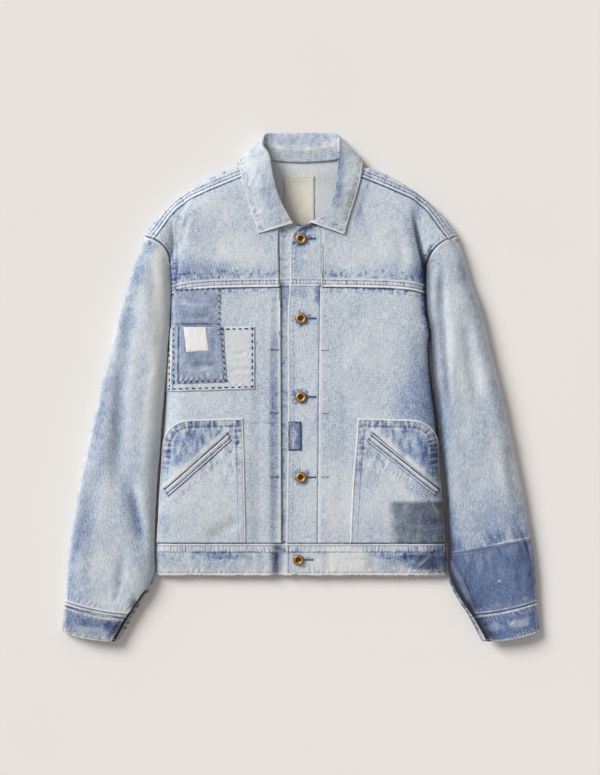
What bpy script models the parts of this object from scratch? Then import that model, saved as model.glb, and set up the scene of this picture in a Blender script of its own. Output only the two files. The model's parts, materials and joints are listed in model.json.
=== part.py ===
"""Patched denim work jacket, laid flat on its back with its front up.

+X is the wearer's left, +Y runs from the hem to the collar and +Z is up. Every table and size is in
millimetres from the middle of the hem; the jacket's empty moves that point so that the origin is
the middle of the whole outline, on the surface that the back lies on.
"""

import math
from collections import namedtuple

import bmesh
import bpy
import numpy as np

MM = 0.001
CENTRE_X = -0.5  # middle of the outline, from the middle of the hem
CENTRE_Y = 295.0

CLOTH = 1.3  # one layer of denim
DOUBLED = 2.2  # waistband, cuffs, collar and placket are two layers
STAND = 1.5  # the button stand's thickness
PATCH = 1.1
LABEL = 0.8
GAP = 0.3  # between pieces at a seam
ARMHOLE_GAP = 0.3  # each side of the armhole seam, where the cloth turns sharply
RIM = 1.0  # upright strip where a panel ends at a folded edge
EDGE_Z = 9.0  # height of the folded edge all round
PLEAT_DROP = 3.2  # the button stand lies this far below the fronts, under their pleats
PLACKET_DROP = 0.7
UNDER_ROLL = 12.0  # how far in from the edge the underside touches down

Point = namedtuple("Point", "x y")
Edge = namedtuple("Edge", "y left right")  # left is the wearer's left, at +X
Height = namedtuple("Height", "y top")
Ring = namedtuple("Ring", "outer_y inner_y top bulge sag vent")
Fold = namedtuple("Fold", "x0 y0 x1 y1 depth width")
CollarRow = namedtuple("CollarRow", "roll_x roll_y edge_x edge_y neck_x neck_y lift")
CollarSection = namedtuple("CollarSection", "edge leaf roll stand neck")
Mark = namedtuple("Mark", "name x y")

# The silhouette of a shoulder, from the collar to the top of the sleeve.
SHOULDER = (
    Point(82, 639.5), Point(97, 635.5), Point(112, 632.5), Point(140, 620), Point(180, 595),
    Point(215, 565), Point(232, 545), Point(242, 529),
)
SHOULDER_SEAM = (
    Edge(626, 77, 77), Edge(608, 122, 120), Edge(596, 150, 148), Edge(581, 180, 178),
    Edge(562, 199, 199), Edge(544, 212, 212), Edge(532, 221, 221), Edge(524, 228, 228),
)
SLEEVE_OUTER = (
    Edge(529, 242, 242), Edge(500, 252, 253), Edge(460, 264, 267), Edge(420, 278, 280),
    Edge(340, 297, 299), Edge(260, 317, 318), Edge(180, 334, 337), Edge(100, 349, 351),
    Edge(50, 358, 360), Edge(0, 364, 365), Edge(-40, 366.5, 367), Edge(-84, 370, 371),
)
SLEEVE_INNER = (
    Edge(385, 201, 203), Edge(360, 208, 207), Edge(310, 215, 210.5), Edge(260, 220, 215),
    Edge(200, 224, 220), Edge(140, 228, 224), Edge(80, 230, 226.5), Edge(40, 228.5, 227.5),
    Edge(10, 228, 227), Edge(-15, 236, 236), Edge(-40, 251, 253), Edge(-58, 264, 264.5),
    Edge(-99, 287, 288),
)
BODY_SIDE = (
    Edge(385, 201, 203), Edge(350, 199, 204.5), Edge(300, 203, 208), Edge(235, 211, 212),
    Edge(180, 214, 216), Edge(100, 221, 221), Edge(54, 223.5, 223.5), Edge(3, 225, 224),
)
# The front armhole runs down a crease between the body and the sleeve; its upper end fades out.
CREASE = (Edge(575, 180, 200), Edge(545, 180, 198), Edge(515, 188, 197), Edge(487, 195, 202))
ARMHOLE_FRONT = (
    Edge(529, 242, 242), Edge(526, 235, 235), Edge(524, 228, 228), Edge(515, 213, 215),
    Edge(503, 202, 206), Edge(487, 195.5, 203), Edge(462, 193.5, 201.5), Edge(438, 193.5, 201),
    Edge(412, 195, 202), Edge(394, 198.5, 202.7), Edge(385, 201, 203),
)
SHOULDER_STEP = 2  # index in ARMHOLE_FRONT where the shoulder seam meets the armhole
CREASE_STEP = 5  # where the crease joins it
YOKE_STEP = 7  # and where the yoke seam does
ARMHOLE_BACK = (
    Edge(385, 201, 203), Edge(398, 199, 201), Edge(430, 198, 199), Edge(468, 205, 206),
    Edge(505, 221, 222), Edge(523, 236, 236), Edge(529, 242, 242),
)
CREASE_FADE = (575.0, 500.0)  # from no trough to its full depth

BODY_TOP = (
    Height(0, 14), Height(55, 19), Height(120, 24.5), Height(260, 28), Height(450, 28),
    Height(540, 27), Height(600, 25), Height(660, 21),
)
# Rings of the sleeve tube: where each meets the outer and the inner edge, how high it stands, how
# much of the armhole's curve it keeps, its sag, and how far the cuff's vent has opened.
SLEEVE_RINGS = (
    Ring(529, 385, 27, 1.0, 0, 0), Ring(503, 366, 29, 0.72, 0, 0), Ring(468, 345, 31, 0.42, 0, 0),
    Ring(428, 320, 33, 0.18, 0, 0), Ring(382, 292, 34, 0.05, 0, 0), Ring(330, 256, 34, 0, 0, 0),
    Ring(276, 214, 33, 0, 0, 0), Ring(222, 170, 32, 0, 0, 0), Ring(166, 126, 30, 0, 0, 0),
    Ring(112, 80, 28, 0, 0, 0), Ring(60, 37, 26, 0, 0, 0), Ring(14, 6, 24, 0, 0, 0),
    Ring(-14, -28, 22, 0, 1, 0.6), Ring(-38, -58, 21, 0, 2, 0.9),
)
CUFF_RINGS = (
    Ring(-38, -58, 21, 0, 2, 0.9), Ring(-61, -79, 20.5, 0, 3, 1.0), Ring(-84, -99, 20, 0, 4, 1.1),
)
LAST_LIGHT_RING = 10  # below it the left sleeve is a darker piece
# Columns of a ring, as shares of its width: over the top from the outer edge, then underneath.
TOP_SHARES = (0, 0.015, 0.05, 0.13, 0.26, 0.42, 0.6, 0.77, 0.9, 0.97, 1)
UNDER_SHARES = (0, 0.02, 0.1, 0.35, 0.7, 0.97, 1)
OUTLINE_ROLL = 40.0  # how far in from the outline the cloth has risen to its full height
CREASE_ROLL = 26.0  # the same for the sleeve from its inner edge and the armhole's crease
BODY_ROLL = 34.0  # and for the body from its side edge
HEM_SINK = 2.0  # the side edge is this much lower at the hem
HEM_SINK_HEIGHT = 20.0  # cloth this far above the edge no longer sinks with it
VENT_LIP = 6.0  # the under layer shows this far beyond the open vent
VENT_FLATNESS = 0.55  # the sleeve's crease flattens out as the vent opens
VENT_OPEN = 0.6  # from here on the under layer lies flat at the vent
BULGE_KEEP = 1.2
NEAR_SEAM = 0.07  # how far from a tube's end its extra ring is, as a share of a ring's length
TRIM_TOP = 60.0  # trimming shapes reach above everything

# The deepest folds: soft troughs between two ends.
FOLDS = (
    Fold(-255, 440, -277, 300, 4, 13), Fold(-278, 290, -283, 150, 4, 14),
    Fold(-262, 150, -246, 50, 4, 13), Fold(-325, 145, -343, 30, 3, 12),
    Fold(213, 450, 216, 360, 3, 9), Fold(255, 400, 275, 265, 4, 14),
    Fold(335, 90, 354, 25, 3.5, 9), Fold(-140, 64, -100, 86, 2, 9),
    Fold(150, 530, 160, 480, 1.5, 14),
)

MIDDLE = (0, 470)  # the way in from the armholes
BACK_NECK = ((-52, 650), (-26, 647.5), (0, 646.5), (26, 647.5), (52, 650))
WRAP_SHARES = (0, 0.08, 0.3, 0.62, 0.93, 1)  # from the shoulder's edge to its seam
SEAM_COLUMNS = (0, 0.2, 0.42, 0.62, 0.78, 0.9, 0.97, 1)
YOKE_SEAM = (
    Edge(449, 31, 31), Edge(448, 100, 100), Edge(446, 150, 150), Edge(442, 180, 183),
    Edge(438, 193.5, 201),
)
FRONT_ROWS = (53, 90, 130, 175, 225, 280, 335, 385, 394, 412, 449)
SIDE_ROWS = 8  # as many of them are below the armhole
NECK_SEAM = (
    Edge(449, 33.5, 37.3), Edge(505, 33.5, 37.3), Edge(556, 33.5, 37.3), Edge(580, 56, 52),
    Edge(603, 68, 66), Edge(626, 77, 77),
)
PLEAT_EDGE = (Edge(53, 27.5, 31.5), Edge(250, 29, 32), Edge(449, 31, 33))
PLEAT_DEPTH = 14.0
PLACKET_EDGE = (
    Point(-23, 53), Point(-22, 100), Point(-20, 250), Point(-20, 410), Point(-17, 455),
    Point(-16, 520),
)
PLACKET_TOP = (
    Point(-16, 520), Point(-13.5, 530), Point(-7.5, 537), Point(1, 544), Point(12, 547.5),
    Point(33.2, 555.7),
)
PLACKET_SHARES = (0, 0.18, 0.42, 0.74, 0.87, 1)
PLACKET_RIGHT = 33.2
PLACKET_CORNER_Y = 538.0  # on its right edge, across from the rounded corner
STRIP_ROWS = (53, 90, 130, 175, 225, 280, 335, 385, 394, 412, 448, 459, 505, 520)
YOKE_BAND = (448.0, 458.0)  # across the yoke seam the pleats end and the strips come up level
STAND_COLUMNS = (-37, -30, -23, 0, 17)
STAND_TOP = (Point(-37, 556), Point(-12, 545.5), Point(0, 541), Point(17, 538))
WAIST_SEAM_Y = 53.0
BAND_MIDDLE_Y = 28.0
HEM_Y = 3.0
BAND_LEFT_END = -23.5
BAND_LAP_START = -45.0
BAND_LAP = (-27, -10, 17)
BAND_TOP_SHARES = (0, 0.2, 0.4, 0.6, 0.76, 0.88, 0.95, 0.99, 1)
BAND_UNDER_SHARES = (0.004, 0.03, 0.12, 0.3, 0.43)
# The collar in front of the shoulders: its roll line, its outer edge, the neck seam below it, and
# how far the roll stands above the yoke.
COLLAR_FRONT_LEFT = (
    CollarRow(13, 548.5, 67, 529.5, 12.5, 548.5, 4.5), CollarRow(22, 552, 68.5, 534, 24, 552.5, 6.5),
    CollarRow(36, 560, 71.5, 546, 38, 559, 8), CollarRow(47, 577, 78, 567, 54, 578, 9),
    CollarRow(54, 603, 86.5, 595, 66.5, 601, 9.5), CollarRow(57, 640, 93.3, 622, 76, 626, 9),
)
COLLAR_FRONT_RIGHT = (
    CollarRow(12, 546.5, 66, 531, 12.5, 546, 4.5), CollarRow(17, 555, 67.5, 536, 24, 550, 6.5),
    CollarRow(26, 571, 71, 548, 38, 559, 8), CollarRow(35, 592, 77, 566, 51, 578, 9),
    CollarRow(43, 621, 86, 596, 64.5, 601, 9.5), CollarRow(49, 653, 92.7, 622, 76, 626, 9),
)
# Then over each shoulder and round the back of the neck, as points of five lines.
COLLAR_BACK = (
    CollarSection((96.5, 643.5, 12), (81, 659, 18), (58, 668, 25), (67, 657, 21), (77, 641, 17)),
    CollarSection((98.5, 643, 4.5), (78, 665, 11), (58, 678, 19.5), (65, 665, 16), (73, 648, 11)),
    CollarSection((92, 633, 0), (70, 674, 3), (54, 687, 11.5), (60, 669, 11), (64, 649, 7.2)),
    CollarSection((66, 630, 0), (52, 672, 0), (42, 689, 5.5), (44, 668, 9), (47, 646, 7)),
    CollarSection((30, 630, 0), (26, 670, 0), (21, 689, 4.7), (22, 668, 9), (23, 644, 7)),
    CollarSection((0, 630, 0), (0, 670, 0), (0, 689, 4.6), (0, 668, 9), (0, 643, 7)),
)
LEAF_RISE = 2.9  # the back lies on the collar's leaf, from these heights up and between these sides
LEAF_RISE_Y = (606.0, 627.0)
LEAF_RISE_X = (96.0, 118.0)
LEAF_SHARE, STAND_SHARE = 0.42, 0.5  # middle points of the collar's leaf and stand
LEAF_SAG = 0.8  # the leaf's middle is this much lower than its roll
STAND_LIFT, NECK_LIFT = 1.9, 0.9  # above the yoke, where the stand is sewn to it
POCKET_LEFT = (Point(75.5, 53.3), Point(80, 150), Point(84, 200), Point(87.5, 246))
POCKET_RIGHT = (Point(85, 53.3), Point(86.5, 130), Point(88, 200), Point(89.5, 246.5))
POCKET_CORNER = Point(160, 190)  # centre of the rounded outer corner
POCKET_TOP_Y = 244.5
POCKET_SQUARENESS = 2.6
POCKET_SIDE_X = 240.0  # beyond the side seam, where the panel itself ends the pocket
WELT_LEFT = (Point(101, 211), Point(110, 225), Point(214, 137), Point(207, 126))
WELT_RIGHT = (Point(107, 212), Point(113, 226), Point(212, 138), Point(205, 125))
PATCH_LIGHT = (Point(-208, 385), Point(-71, 388), Point(-71, 291), Point(-208, 287))
PATCH_DARK_UPPER = (Point(-196, 445), Point(-124, 447.3), Point(-125, 387.4), Point(-196, 387.4))
PATCH_DARK_LOWER = (Point(-197, 387.1), Point(-120, 387.1), Point(-114, 302), Point(-199, 299))
CHEST_LABEL = (Point(-180, 386.5), Point(-146, 386.5), Point(-142, 350), Point(-176, 348))
PATCH_DARNED = (Point(-19.2, 197), Point(1, 197), Point(0, 241), Point(-19.2, 241))
NECK_LABEL = (Point(-26, 546), Point(20, 546), Point(20, 622), Point(-26, 622))
BUTTON_PROFILE = (
    Point(0, 1.3), Point(2.4, 1.3), Point(3.1, 1.7), Point(4.6, 3.3), Point(6.2, 3.7), Point(7.7, 3.1),
    Point(8.6, 1.7), Point(8.2, 0.5), Point(6.8, 0), Point(0, 0),
)
BUTTONS = (
    Mark("button_1", 0, 523), Mark("button_2", 0, 400), Mark("button_3", 0, 279),
    Mark("button_4", 0, 155), Mark("button_5", -4, 27),
)
BUTTON_RADIUS = 8.0
BUTTON_SIDES = 20
BUTTON_SEAT = 0.4  # above the cloth
LAYER = PATCH + GAP  # how far each sewn-on layer stands above the one below

FADED = (0.52, 0.61, 0.72)
MID = (0.33, 0.43, 0.60)
DARK = (0.10, 0.16, 0.32)
PALE = (0.80, 0.80, 0.78)
BRASS = (0.62, 0.38, 0.14)


# ---------------------------------------------------------------- plan curves and heights

def mixed(p, q, start, end, t):
    """The point at t on the line that is at p at `start` and at q at `end`."""
    return ((end - t) * p + (t - start) * q) / (end - start)


def smooth(points, steps=6):
    """A dense path through the points: a centripetal Catmull-Rom curve."""
    p = np.asarray(points, float)
    p = np.vstack([2 * p[0] - p[1], p, 2 * p[-1] - p[-2]])
    out = []
    for a, b, c, d in zip(p[:-3], p[1:-2], p[2:-1], p[3:]):
        gaps = [math.sqrt(np.linalg.norm(q - r)) for q, r in ((b, a), (c, b), (d, c))]
        k0, k1, k2, k3 = np.cumsum([0] + gaps)
        for t in np.linspace(k1, k2, steps, endpoint=False):
            ab = mixed(a, b, k0, k1, t)
            bc = mixed(b, c, k1, k2, t)
            cd = mixed(c, d, k2, k3, t)
            out.append(mixed(mixed(ab, bc, k0, k2, t), mixed(bc, cd, k1, k3, t), k1, k2, t))
    out.append(p[-2])
    return np.array(out)


def shares_of(line):
    """How far along the line each of its points is, from 0 to 1."""
    s = np.concatenate([[0], np.cumsum(np.linalg.norm(np.diff(line, axis=0), axis=1))])
    return s / s[-1]


def side_points(rows, side):
    """Plan points of an Edge table on one side: +1 is the wearer's left."""
    return np.array([(r.left if side > 0 else -r.right, r.y) for r in rows], float)


def along(path, y):
    """x of a path at the height y on it."""
    order = np.argsort(path[:, 1])
    return np.interp(y, path[order, 1], path[order, 0])


def distance(path, xy):
    """Plan distance from each point to a path."""
    xy = np.asarray(xy, float)
    start, step = path[:-1], np.diff(path, axis=0)
    length = np.maximum((step ** 2).sum(1), 1e-9)
    rel = xy[..., None, :] - start
    t = np.clip((rel * step).sum(-1) / length, 0, 1)
    return np.sqrt(((rel - t[..., None] * step) ** 2).sum(-1)).min(-1)


def roll(away, width):
    """0 at a folded edge, 1 from `width` inwards, upright where it starts."""
    t = np.clip(away / width, 0, 1)
    return np.sqrt(1 - (1 - t) ** 2)


def ease(value, start, end):
    t = np.clip((value - start) / (end - start), 0, 1)
    return t * t * (3 - 2 * t)


class Side:
    """The plan curves of one half of the jacket."""

    def __init__(self, side):
        self.side = side
        shoulder = np.array([(side * p.x, p.y) for p in SHOULDER], float)
        self.shoulder = smooth(shoulder)
        self.outer_edge = smooth(side_points(SLEEVE_OUTER, side))
        self.outer = np.vstack([self.shoulder, self.outer_edge])
        self.inner_edge = smooth(side_points(SLEEVE_INNER, side))
        self.body_edge = smooth(side_points(BODY_SIDE, side))
        below = side_points(ARMHOLE_FRONT[CREASE_STEP:], side)
        self.crease = np.vstack([smooth(side_points(CREASE, side)), below])
        self.armhole_front = side_points(ARMHOLE_FRONT, side)
        self.armhole_back = side_points(ARMHOLE_BACK, side)


LEFT, RIGHT = Side(1), Side(-1)


def folds(xy):
    """How much the named folds lower the cloth at each point."""
    drop = np.zeros(xy.shape[:-1])
    for f in FOLDS:
        way = np.array([f.x1 - f.x0, f.y1 - f.y0], float)
        rel = xy - np.array([f.x0, f.y0], float)
        t = (rel @ way) / (way @ way)
        off = np.abs(rel @ np.array([-way[1], way[0]])) / np.linalg.norm(way)
        ends = np.clip(1 - (np.clip(np.abs(t - 0.5) - 0.35, 0, None) / 0.3) ** 2, 0, 1)
        drop += f.depth * ends * np.exp(-(off / f.width) ** 2)
    return drop


def lofted(xy, curves, edge, top, edge_roll, open_share=1.0):
    """Height of the upper cloth: it rolls up from the outline and from the armhole's crease."""
    outline = roll(distance(curves.outer, xy), OUTLINE_ROLL)
    crease = roll(distance(np.vstack([curves.crease, edge]), xy), edge_roll)
    depth = ease(xy[..., 1], *CREASE_FADE) * open_share
    rise = outline * (1 - depth * (1 - crease))
    return EDGE_Z + (top - EDGE_Z - folds(xy)) * rise


def waist_edge(y):
    """Height of the folded side edge, which sinks towards the hem."""
    return EDGE_Z - HEM_SINK * (1 - ease(y, HEM_Y, WAIST_SEAM_Y))


def body_height(xy):
    """Outer height of the fronts and yokes."""
    xy = np.asarray(xy, float)
    top = np.interp(xy[..., 1], *smooth([(r.y, r.top) for r in BODY_TOP]).T)
    left, right = (lofted(xy, c, c.body_edge, top, BODY_ROLL) for c in (LEFT, RIGHT))
    z = np.where(xy[..., 0] > 0, left, right)
    return z + (waist_edge(xy[..., 1]) - EDGE_Z) * (1 - (z - EDGE_Z) / HEM_SINK_HEIGHT)


def under_height(xy, path):
    """Outer height of the cloth that lies on the surface, rolling up at its edges."""
    return EDGE_Z * (1 - roll(distance(path, xy), UNDER_ROLL))


def collar_rise(xy):
    """The collar's leaf lies under the top of the back and lifts it."""
    below = ease(xy[..., 1], *LEAF_RISE_Y)
    return LEAF_RISE * below * (1 - ease(np.abs(xy[..., 0]), *LEAF_RISE_X))


def with_z(xy, z):
    return np.concatenate([xy, np.asarray(z)[..., None]], -1)


def coons(bottom, top, left, right):
    """A grid of plan points between four edges; rows run from bottom to top."""
    bottom, top, left, right = (np.asarray(e, float) for e in (bottom, top, left, right))
    u = ((shares_of(bottom) + shares_of(top)) / 2)[None, :, None]
    v = ((shares_of(left) + shares_of(right)) / 2)[:, None, None]
    ruled = (1 - v) * bottom[None] + v * top[None] + (1 - u) * left[:, None] + u * right[:, None]
    low_corners = (1 - v) * ((1 - u) * bottom[0] + u * bottom[-1])
    return ruled - low_corners - v * ((1 - u) * top[0] + u * top[-1])


def pulled(line, away, by=ARMHOLE_GAP):
    """The line moved a little towards another point, so that a seam keeps its gap."""
    way = np.asarray(away, float) - line
    return line + by * way / np.linalg.norm(way, axis=-1, keepdims=True)


def guarded(line, near=1.5):
    """The line with a point added close to each end, so that both sides of a seam lean alike."""
    first, last = line[1] - line[0], line[-2] - line[-1]
    return np.vstack([
        line[:1], line[:1] + near * first / np.linalg.norm(first), line[1:-1],
        line[-1:] + near * last / np.linalg.norm(last), line[-1:],
    ])


def spread(path, shares):
    """Points of a path at these shares of its length."""
    at = shares_of(path)
    return np.stack([np.interp(shares, at, path[:, k]) for k in range(path.shape[1])], -1)


# ---------------------------------------------------------------- Blender objects

for old in list(bpy.data.objects):
    bpy.data.objects.remove(old, do_unlink=True)
jacket = bpy.data.collections.new("Patched denim jacket")
cutters = bpy.data.collections.new("Cutters")
bpy.context.scene.collection.children.link(jacket)
bpy.context.scene.collection.children.link(cutters)
root = bpy.data.objects.new("jacket_origin", None)
root.location = (-CENTRE_X * MM, -CENTRE_Y * MM, 0)
jacket.objects.link(root)


def material(name, colour, roughness=0.9, metallic=0.0):
    found = bpy.data.materials.get(name)
    if found:
        return found
    mat = bpy.data.materials.new(name)
    mat.use_nodes = True
    shader = mat.node_tree.nodes["Principled BSDF"]
    shader.inputs["Base Color"].default_value = (*colour, 1)
    shader.inputs["Roughness"].default_value = roughness
    shader.inputs["Metallic"].default_value = metallic
    mat.diffuse_color = (*colour, 1)
    return mat


DENIM = material("faded denim", FADED)
MID_DENIM = material("mid denim", MID)
DARK_DENIM = material("dark denim", DARK)
PALE_CLOTH = material("pale label cloth", PALE)
BRASS_METAL = material("aged brass", BRASS, 0.35, 1.0)


def grid_mesh(grids, lift=0.0):
    """One welded sheet from grids of outer points, moved out by `lift` along its normals."""
    bm = bmesh.new()
    for grid in grids:
        rows, columns = grid.shape[:2]
        verts = [[bm.verts.new(grid[i, j] * MM) for j in range(columns)] for i in range(rows)]
        for i in range(rows - 1):
            for j in range(columns - 1):
                bm.faces.new((verts[i][j], verts[i][j + 1], verts[i + 1][j + 1], verts[i + 1][j]))
    bmesh.ops.remove_doubles(bm, verts=bm.verts, dist=1e-6)
    bmesh.ops.triangulate(bm, faces=bm.faces)
    bm.normal_update()
    if lift:
        moved = [(v, v.co + v.normal * lift * MM) for v in bm.verts]
        for v, co in moved:
            v.co = co
    return bm


def cloth(name, grids, wall, finish, lift=0.0):
    """A shell of cloth, `wall` thick, inwards from its outer points."""
    bm = grid_mesh(grids, lift)
    mesh = bpy.data.meshes.new(name)
    bm.to_mesh(mesh)
    bm.free()
    mesh.materials.append(finish)
    mesh.shade_smooth()
    shell = bpy.data.objects.new(name, mesh)
    shell.parent = root
    jacket.objects.link(shell)
    solid = shell.modifiers.new("Wall", "SOLIDIFY")
    solid.thickness = wall * MM
    solid.offset = -1
    solid.use_quality_normals = False
    return shell


def prism(name, outline, low, high):
    """A closed cutter: an outline in plan between two heights."""
    curve = bpy.data.curves.new(name, "CURVE")
    curve.dimensions = "2D"
    curve.fill_mode = "BOTH"
    curve.extrude = (high - low) / 2 * MM
    spline = curve.splines.new("POLY")
    spline.points.add(len(outline) - 1)
    for point, (x, y) in zip(spline.points, outline):
        point.co = (x * MM, y * MM, 0, 1)
    spline.use_cyclic_u = True
    drawn = bpy.data.objects.new(name + "_outline", curve)
    cutters.objects.link(drawn)
    bpy.context.view_layer.update()
    graph = bpy.context.evaluated_depsgraph_get()
    mesh = bpy.data.meshes.new_from_object(drawn.evaluated_get(graph))
    bpy.data.objects.remove(drawn, do_unlink=True)
    bm = bmesh.new()
    bm.from_mesh(mesh)
    bmesh.ops.remove_doubles(bm, verts=bm.verts, dist=1e-6)
    bmesh.ops.recalc_face_normals(bm, faces=bm.faces)
    bm.to_mesh(mesh)
    bm.free()
    cutter = bpy.data.objects.new(name, mesh)
    cutter.parent = root
    cutter.location = (0, 0, (low + high) / 2 * MM)
    cutter.hide_render = True
    cutter.display_type = "WIRE"
    cutters.objects.link(cutter)
    return cutter


def laid_on(name, grid, outline, level, wall, finish, low=-5.0):
    """A piece laid on a panel: the panel's own points moved out, trimmed to an outline in plan."""
    piece = cloth(name, [grid], wall, finish, lift=level)
    trim = piece.modifiers.new("Outline", "BOOLEAN")
    trim.operation = "INTERSECT"
    trim.object = prism(name + "_trim", outline, low, TRIM_TOP)
    return piece


# ---------------------------------------------------------------- body

def shoulder_seam(curves):
    """Stations of the shoulder seam, from the neck to the armhole."""
    path = smooth(side_points(SHOULDER_SEAM, curves.side))
    stations = spread(path, SEAM_COLUMNS)
    stations[-1] = curves.armhole_front[SHOULDER_STEP]
    return stations


def yoke_seam(curves):
    stations = spread(smooth(side_points(YOKE_SEAM, curves.side)), SEAM_COLUMNS)
    stations[-1] = curves.armhole_front[YOKE_STEP]
    return stations


def outward(grid, curves):
    """Rows from the wearer's right to left, so that the faces point up."""
    return grid if curves.side > 0 else grid[:, ::-1]


def armhole_line(curves, first, last):
    """The body's side of the armhole between two of its stations, upwards."""
    return pulled(curves.armhole_front[first:last + 1][::-1], MIDDLE)


def yoke(curves, name):
    neck = side_points(NECK_SEAM, curves.side)
    seam = shoulder_seam(curves) - (0, GAP / 2)
    bottom = yoke_seam(curves) + (0, GAP / 2)
    bottom[0, 0] = neck[0, 0]
    right = armhole_line(curves, SHOULDER_STEP, YOKE_STEP)
    right[0], right[-1] = pulled(bottom[-1], MIDDLE), pulled(seam[-1], MIDDLE)
    bottom[-1], seam[-1] = right[0], right[-1]
    left = neck.copy()
    left[0], left[-1] = bottom[0], seam[0]
    plan = coons(bottom, seam, guarded(left), guarded(right))
    return cloth(name, [outward(with_z(plan, body_height(plan)), curves)], CLOTH, DENIM)


def front_grid(curves):
    """The front panel's outer points from its pleat to the side, and up to the yoke."""
    rows = np.array(FRONT_ROWS, float)
    rows[0] += GAP
    top = yoke_seam(curves) - (0, GAP / 2)
    pleat = smooth(side_points(PLEAT_EDGE, curves.side))
    left = np.stack([along(pleat, rows), rows], -1)
    top[0] = (along(pleat, rows[-1]), rows[-1] - GAP / 2)
    left[-1] = top[0]
    side = [(along(curves.body_edge, y), y) for y in rows[:SIDE_ROWS - 1]]
    armhole = armhole_line(curves, YOKE_STEP, len(ARMHOLE_FRONT) - 1)
    right = np.vstack([side, armhole])
    right[-1] = pulled(top[-1], MIDDLE)
    top[-1] = right[-1]
    bottom = left[0] + (right[0] - left[0]) * np.array(SEAM_COLUMNS)[:, None]
    plan = coons(bottom, top, left, right)
    z = body_height(plan)
    z[:SIDE_ROWS, -1] = EDGE_Z + RIM + GAP / 2
    panel = with_z(plan, z)
    return np.concatenate([panel, panel[:, -1:] - (0, 0, RIM)], 1)


def front(curves, name):
    """A front panel with its pleat: the edge folds under and runs back beside the closing strip."""
    panel = front_grid(curves)
    fold = panel[:, :1]
    radius = (CLOTH * 2 + GAP) / 2
    rim = [fold + (curves.side * PLEAT_DEPTH, 0, -2 * radius)]
    for angle in np.radians((180, 135, 90, 45)):
        turn = (-curves.side * math.sin(angle), 0, math.cos(angle) - 1)
        rim.append(fold + radius * np.array(turn))
    grid = np.concatenate(rim + [panel], 1)
    return cloth(name, [outward(grid, curves)], CLOTH, DENIM)


def back_wrap(curves):
    """The part of the back that comes over the shoulder to the seam on the front."""
    edge = spread(curves.shoulder, SEAM_COLUMNS)
    edge[-1] = pulled(edge[-1], MIDDLE)
    seam = shoulder_seam(curves) + (0, GAP / 2)
    seam[-1] = pulled(seam[-1], MIDDLE)
    plan = np.array([edge + (seam - edge) * share for share in WRAP_SHARES])
    z = body_height(plan)
    z[0] = EDGE_Z
    grid = with_z(plan, z)
    return edge, grid[:, ::-1] if curves.side > 0 else grid


def back_main(right_edge, left_edge):
    """The back under everything: flat on the surface, and up at the sides and shoulders."""
    top = np.vstack([right_edge[::-1], BACK_NECK, left_edge])
    rows = np.array(FRONT_ROWS[:SIDE_ROWS], float)
    rows[0] += GAP
    sides = []
    for curves in (RIGHT, LEFT):
        low = [(along(curves.body_edge, y), y) for y in rows]
        side = np.vstack([low, pulled(curves.armhole_back[1:], MIDDLE)])
        side[SIDE_ROWS - 1] = pulled(side[SIDE_ROWS - 1], MIDDLE)
        side[-1] = top[0] if curves is RIGHT else top[-1]
        sides.append(side)
    bottom = sides[0][0] + (sides[1][0] - sides[0][0]) * shares_of(top)[:, None]
    plan = coons(bottom, top, *sides)
    left, right = (under_height(plan, np.vstack([c.shoulder, c.body_edge])) for c in (LEFT, RIGHT))
    z = np.maximum(np.maximum(left, right), collar_rise(plan))
    z[:SIDE_ROWS, 0] = z[:SIDE_ROWS, -1] = EDGE_Z - RIM - GAP / 2
    z[-1, :len(SEAM_COLUMNS)] = z[-1, -len(SEAM_COLUMNS):] = EDGE_Z
    grid = with_z(plan, z)
    rims = []
    for end, inner in ((0, 1), (-1, -2)):
        rim = grid[:, end].copy()
        rim[:SIDE_ROWS, 2] += RIM
        step = grid[SIDE_ROWS:, inner] - grid[SIDE_ROWS:, end]
        grid[SIDE_ROWS:, end] += RIM * step / np.linalg.norm(step, axis=1, keepdims=True)
        grid[-1, end] = rim[-1]
        rims.append(rim[:, None])
    return np.concatenate([rims[0], grid, rims[1]], 1)[:, ::-1]


def placket_level(x, y):
    """Height of the placket against the fronts: it dips under the left front's pleat."""
    above = ease(y, *YOKE_BAND)
    under_pleat = ease(x, 19, 26) * (1 - above)
    flush = ease(x, 24, 33) * above
    dip = (PLACKET_DROP - PLEAT_DROP) * under_pleat
    return -PLACKET_DROP + dip + (PLACKET_DROP - GAP) * flush


def stand_level(x, y):
    """Height of the button stand: level under the placket, rising to meet the right yoke."""
    return -PLEAT_DROP + (PLEAT_DROP - GAP) * ease(-x, 23, 36) * ease(y, *YOKE_BAND)


def placket_grid():
    """The closing strip's outer points, up to its rounded top corner."""
    rows = np.array(STRIP_ROWS, float)
    rows[0] += GAP
    top, edge = np.array(PLACKET_TOP, float), np.array(PLACKET_EDGE, float)
    starts = np.vstack([np.stack([along(edge, rows), rows], -1), top[1:2]])
    shares = np.array(PLACKET_SHARES)
    plan = []
    for start, y in zip(starts, [*rows, PLACKET_CORNER_Y]):
        plan.append(start + (np.array([PLACKET_RIGHT, y]) - start) * shares[:, None])
    plan.append(spread(top[2:], shares))
    plan = np.array(plan)
    z = body_height(plan) + placket_level(plan[..., 0], plan[..., 1])
    return with_z(plan, z)


def button_stand(name):
    """The strip that the buttons are fixed to, under the placket."""
    rows = np.array(STRIP_ROWS, float)
    rows[0] += GAP
    top = np.array(STAND_TOP, float)
    plan = [[(x, y) for x in STAND_COLUMNS] for y in rows]
    plan.append([(x, np.interp(x, top[:, 0], top[:, 1])) for x in STAND_COLUMNS])
    plan = np.array(plan, float)
    z = body_height(plan) + stand_level(plan[..., 0], plan[..., 1])
    return cloth(name, [with_z(plan, z)], STAND, MID_DENIM)


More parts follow.
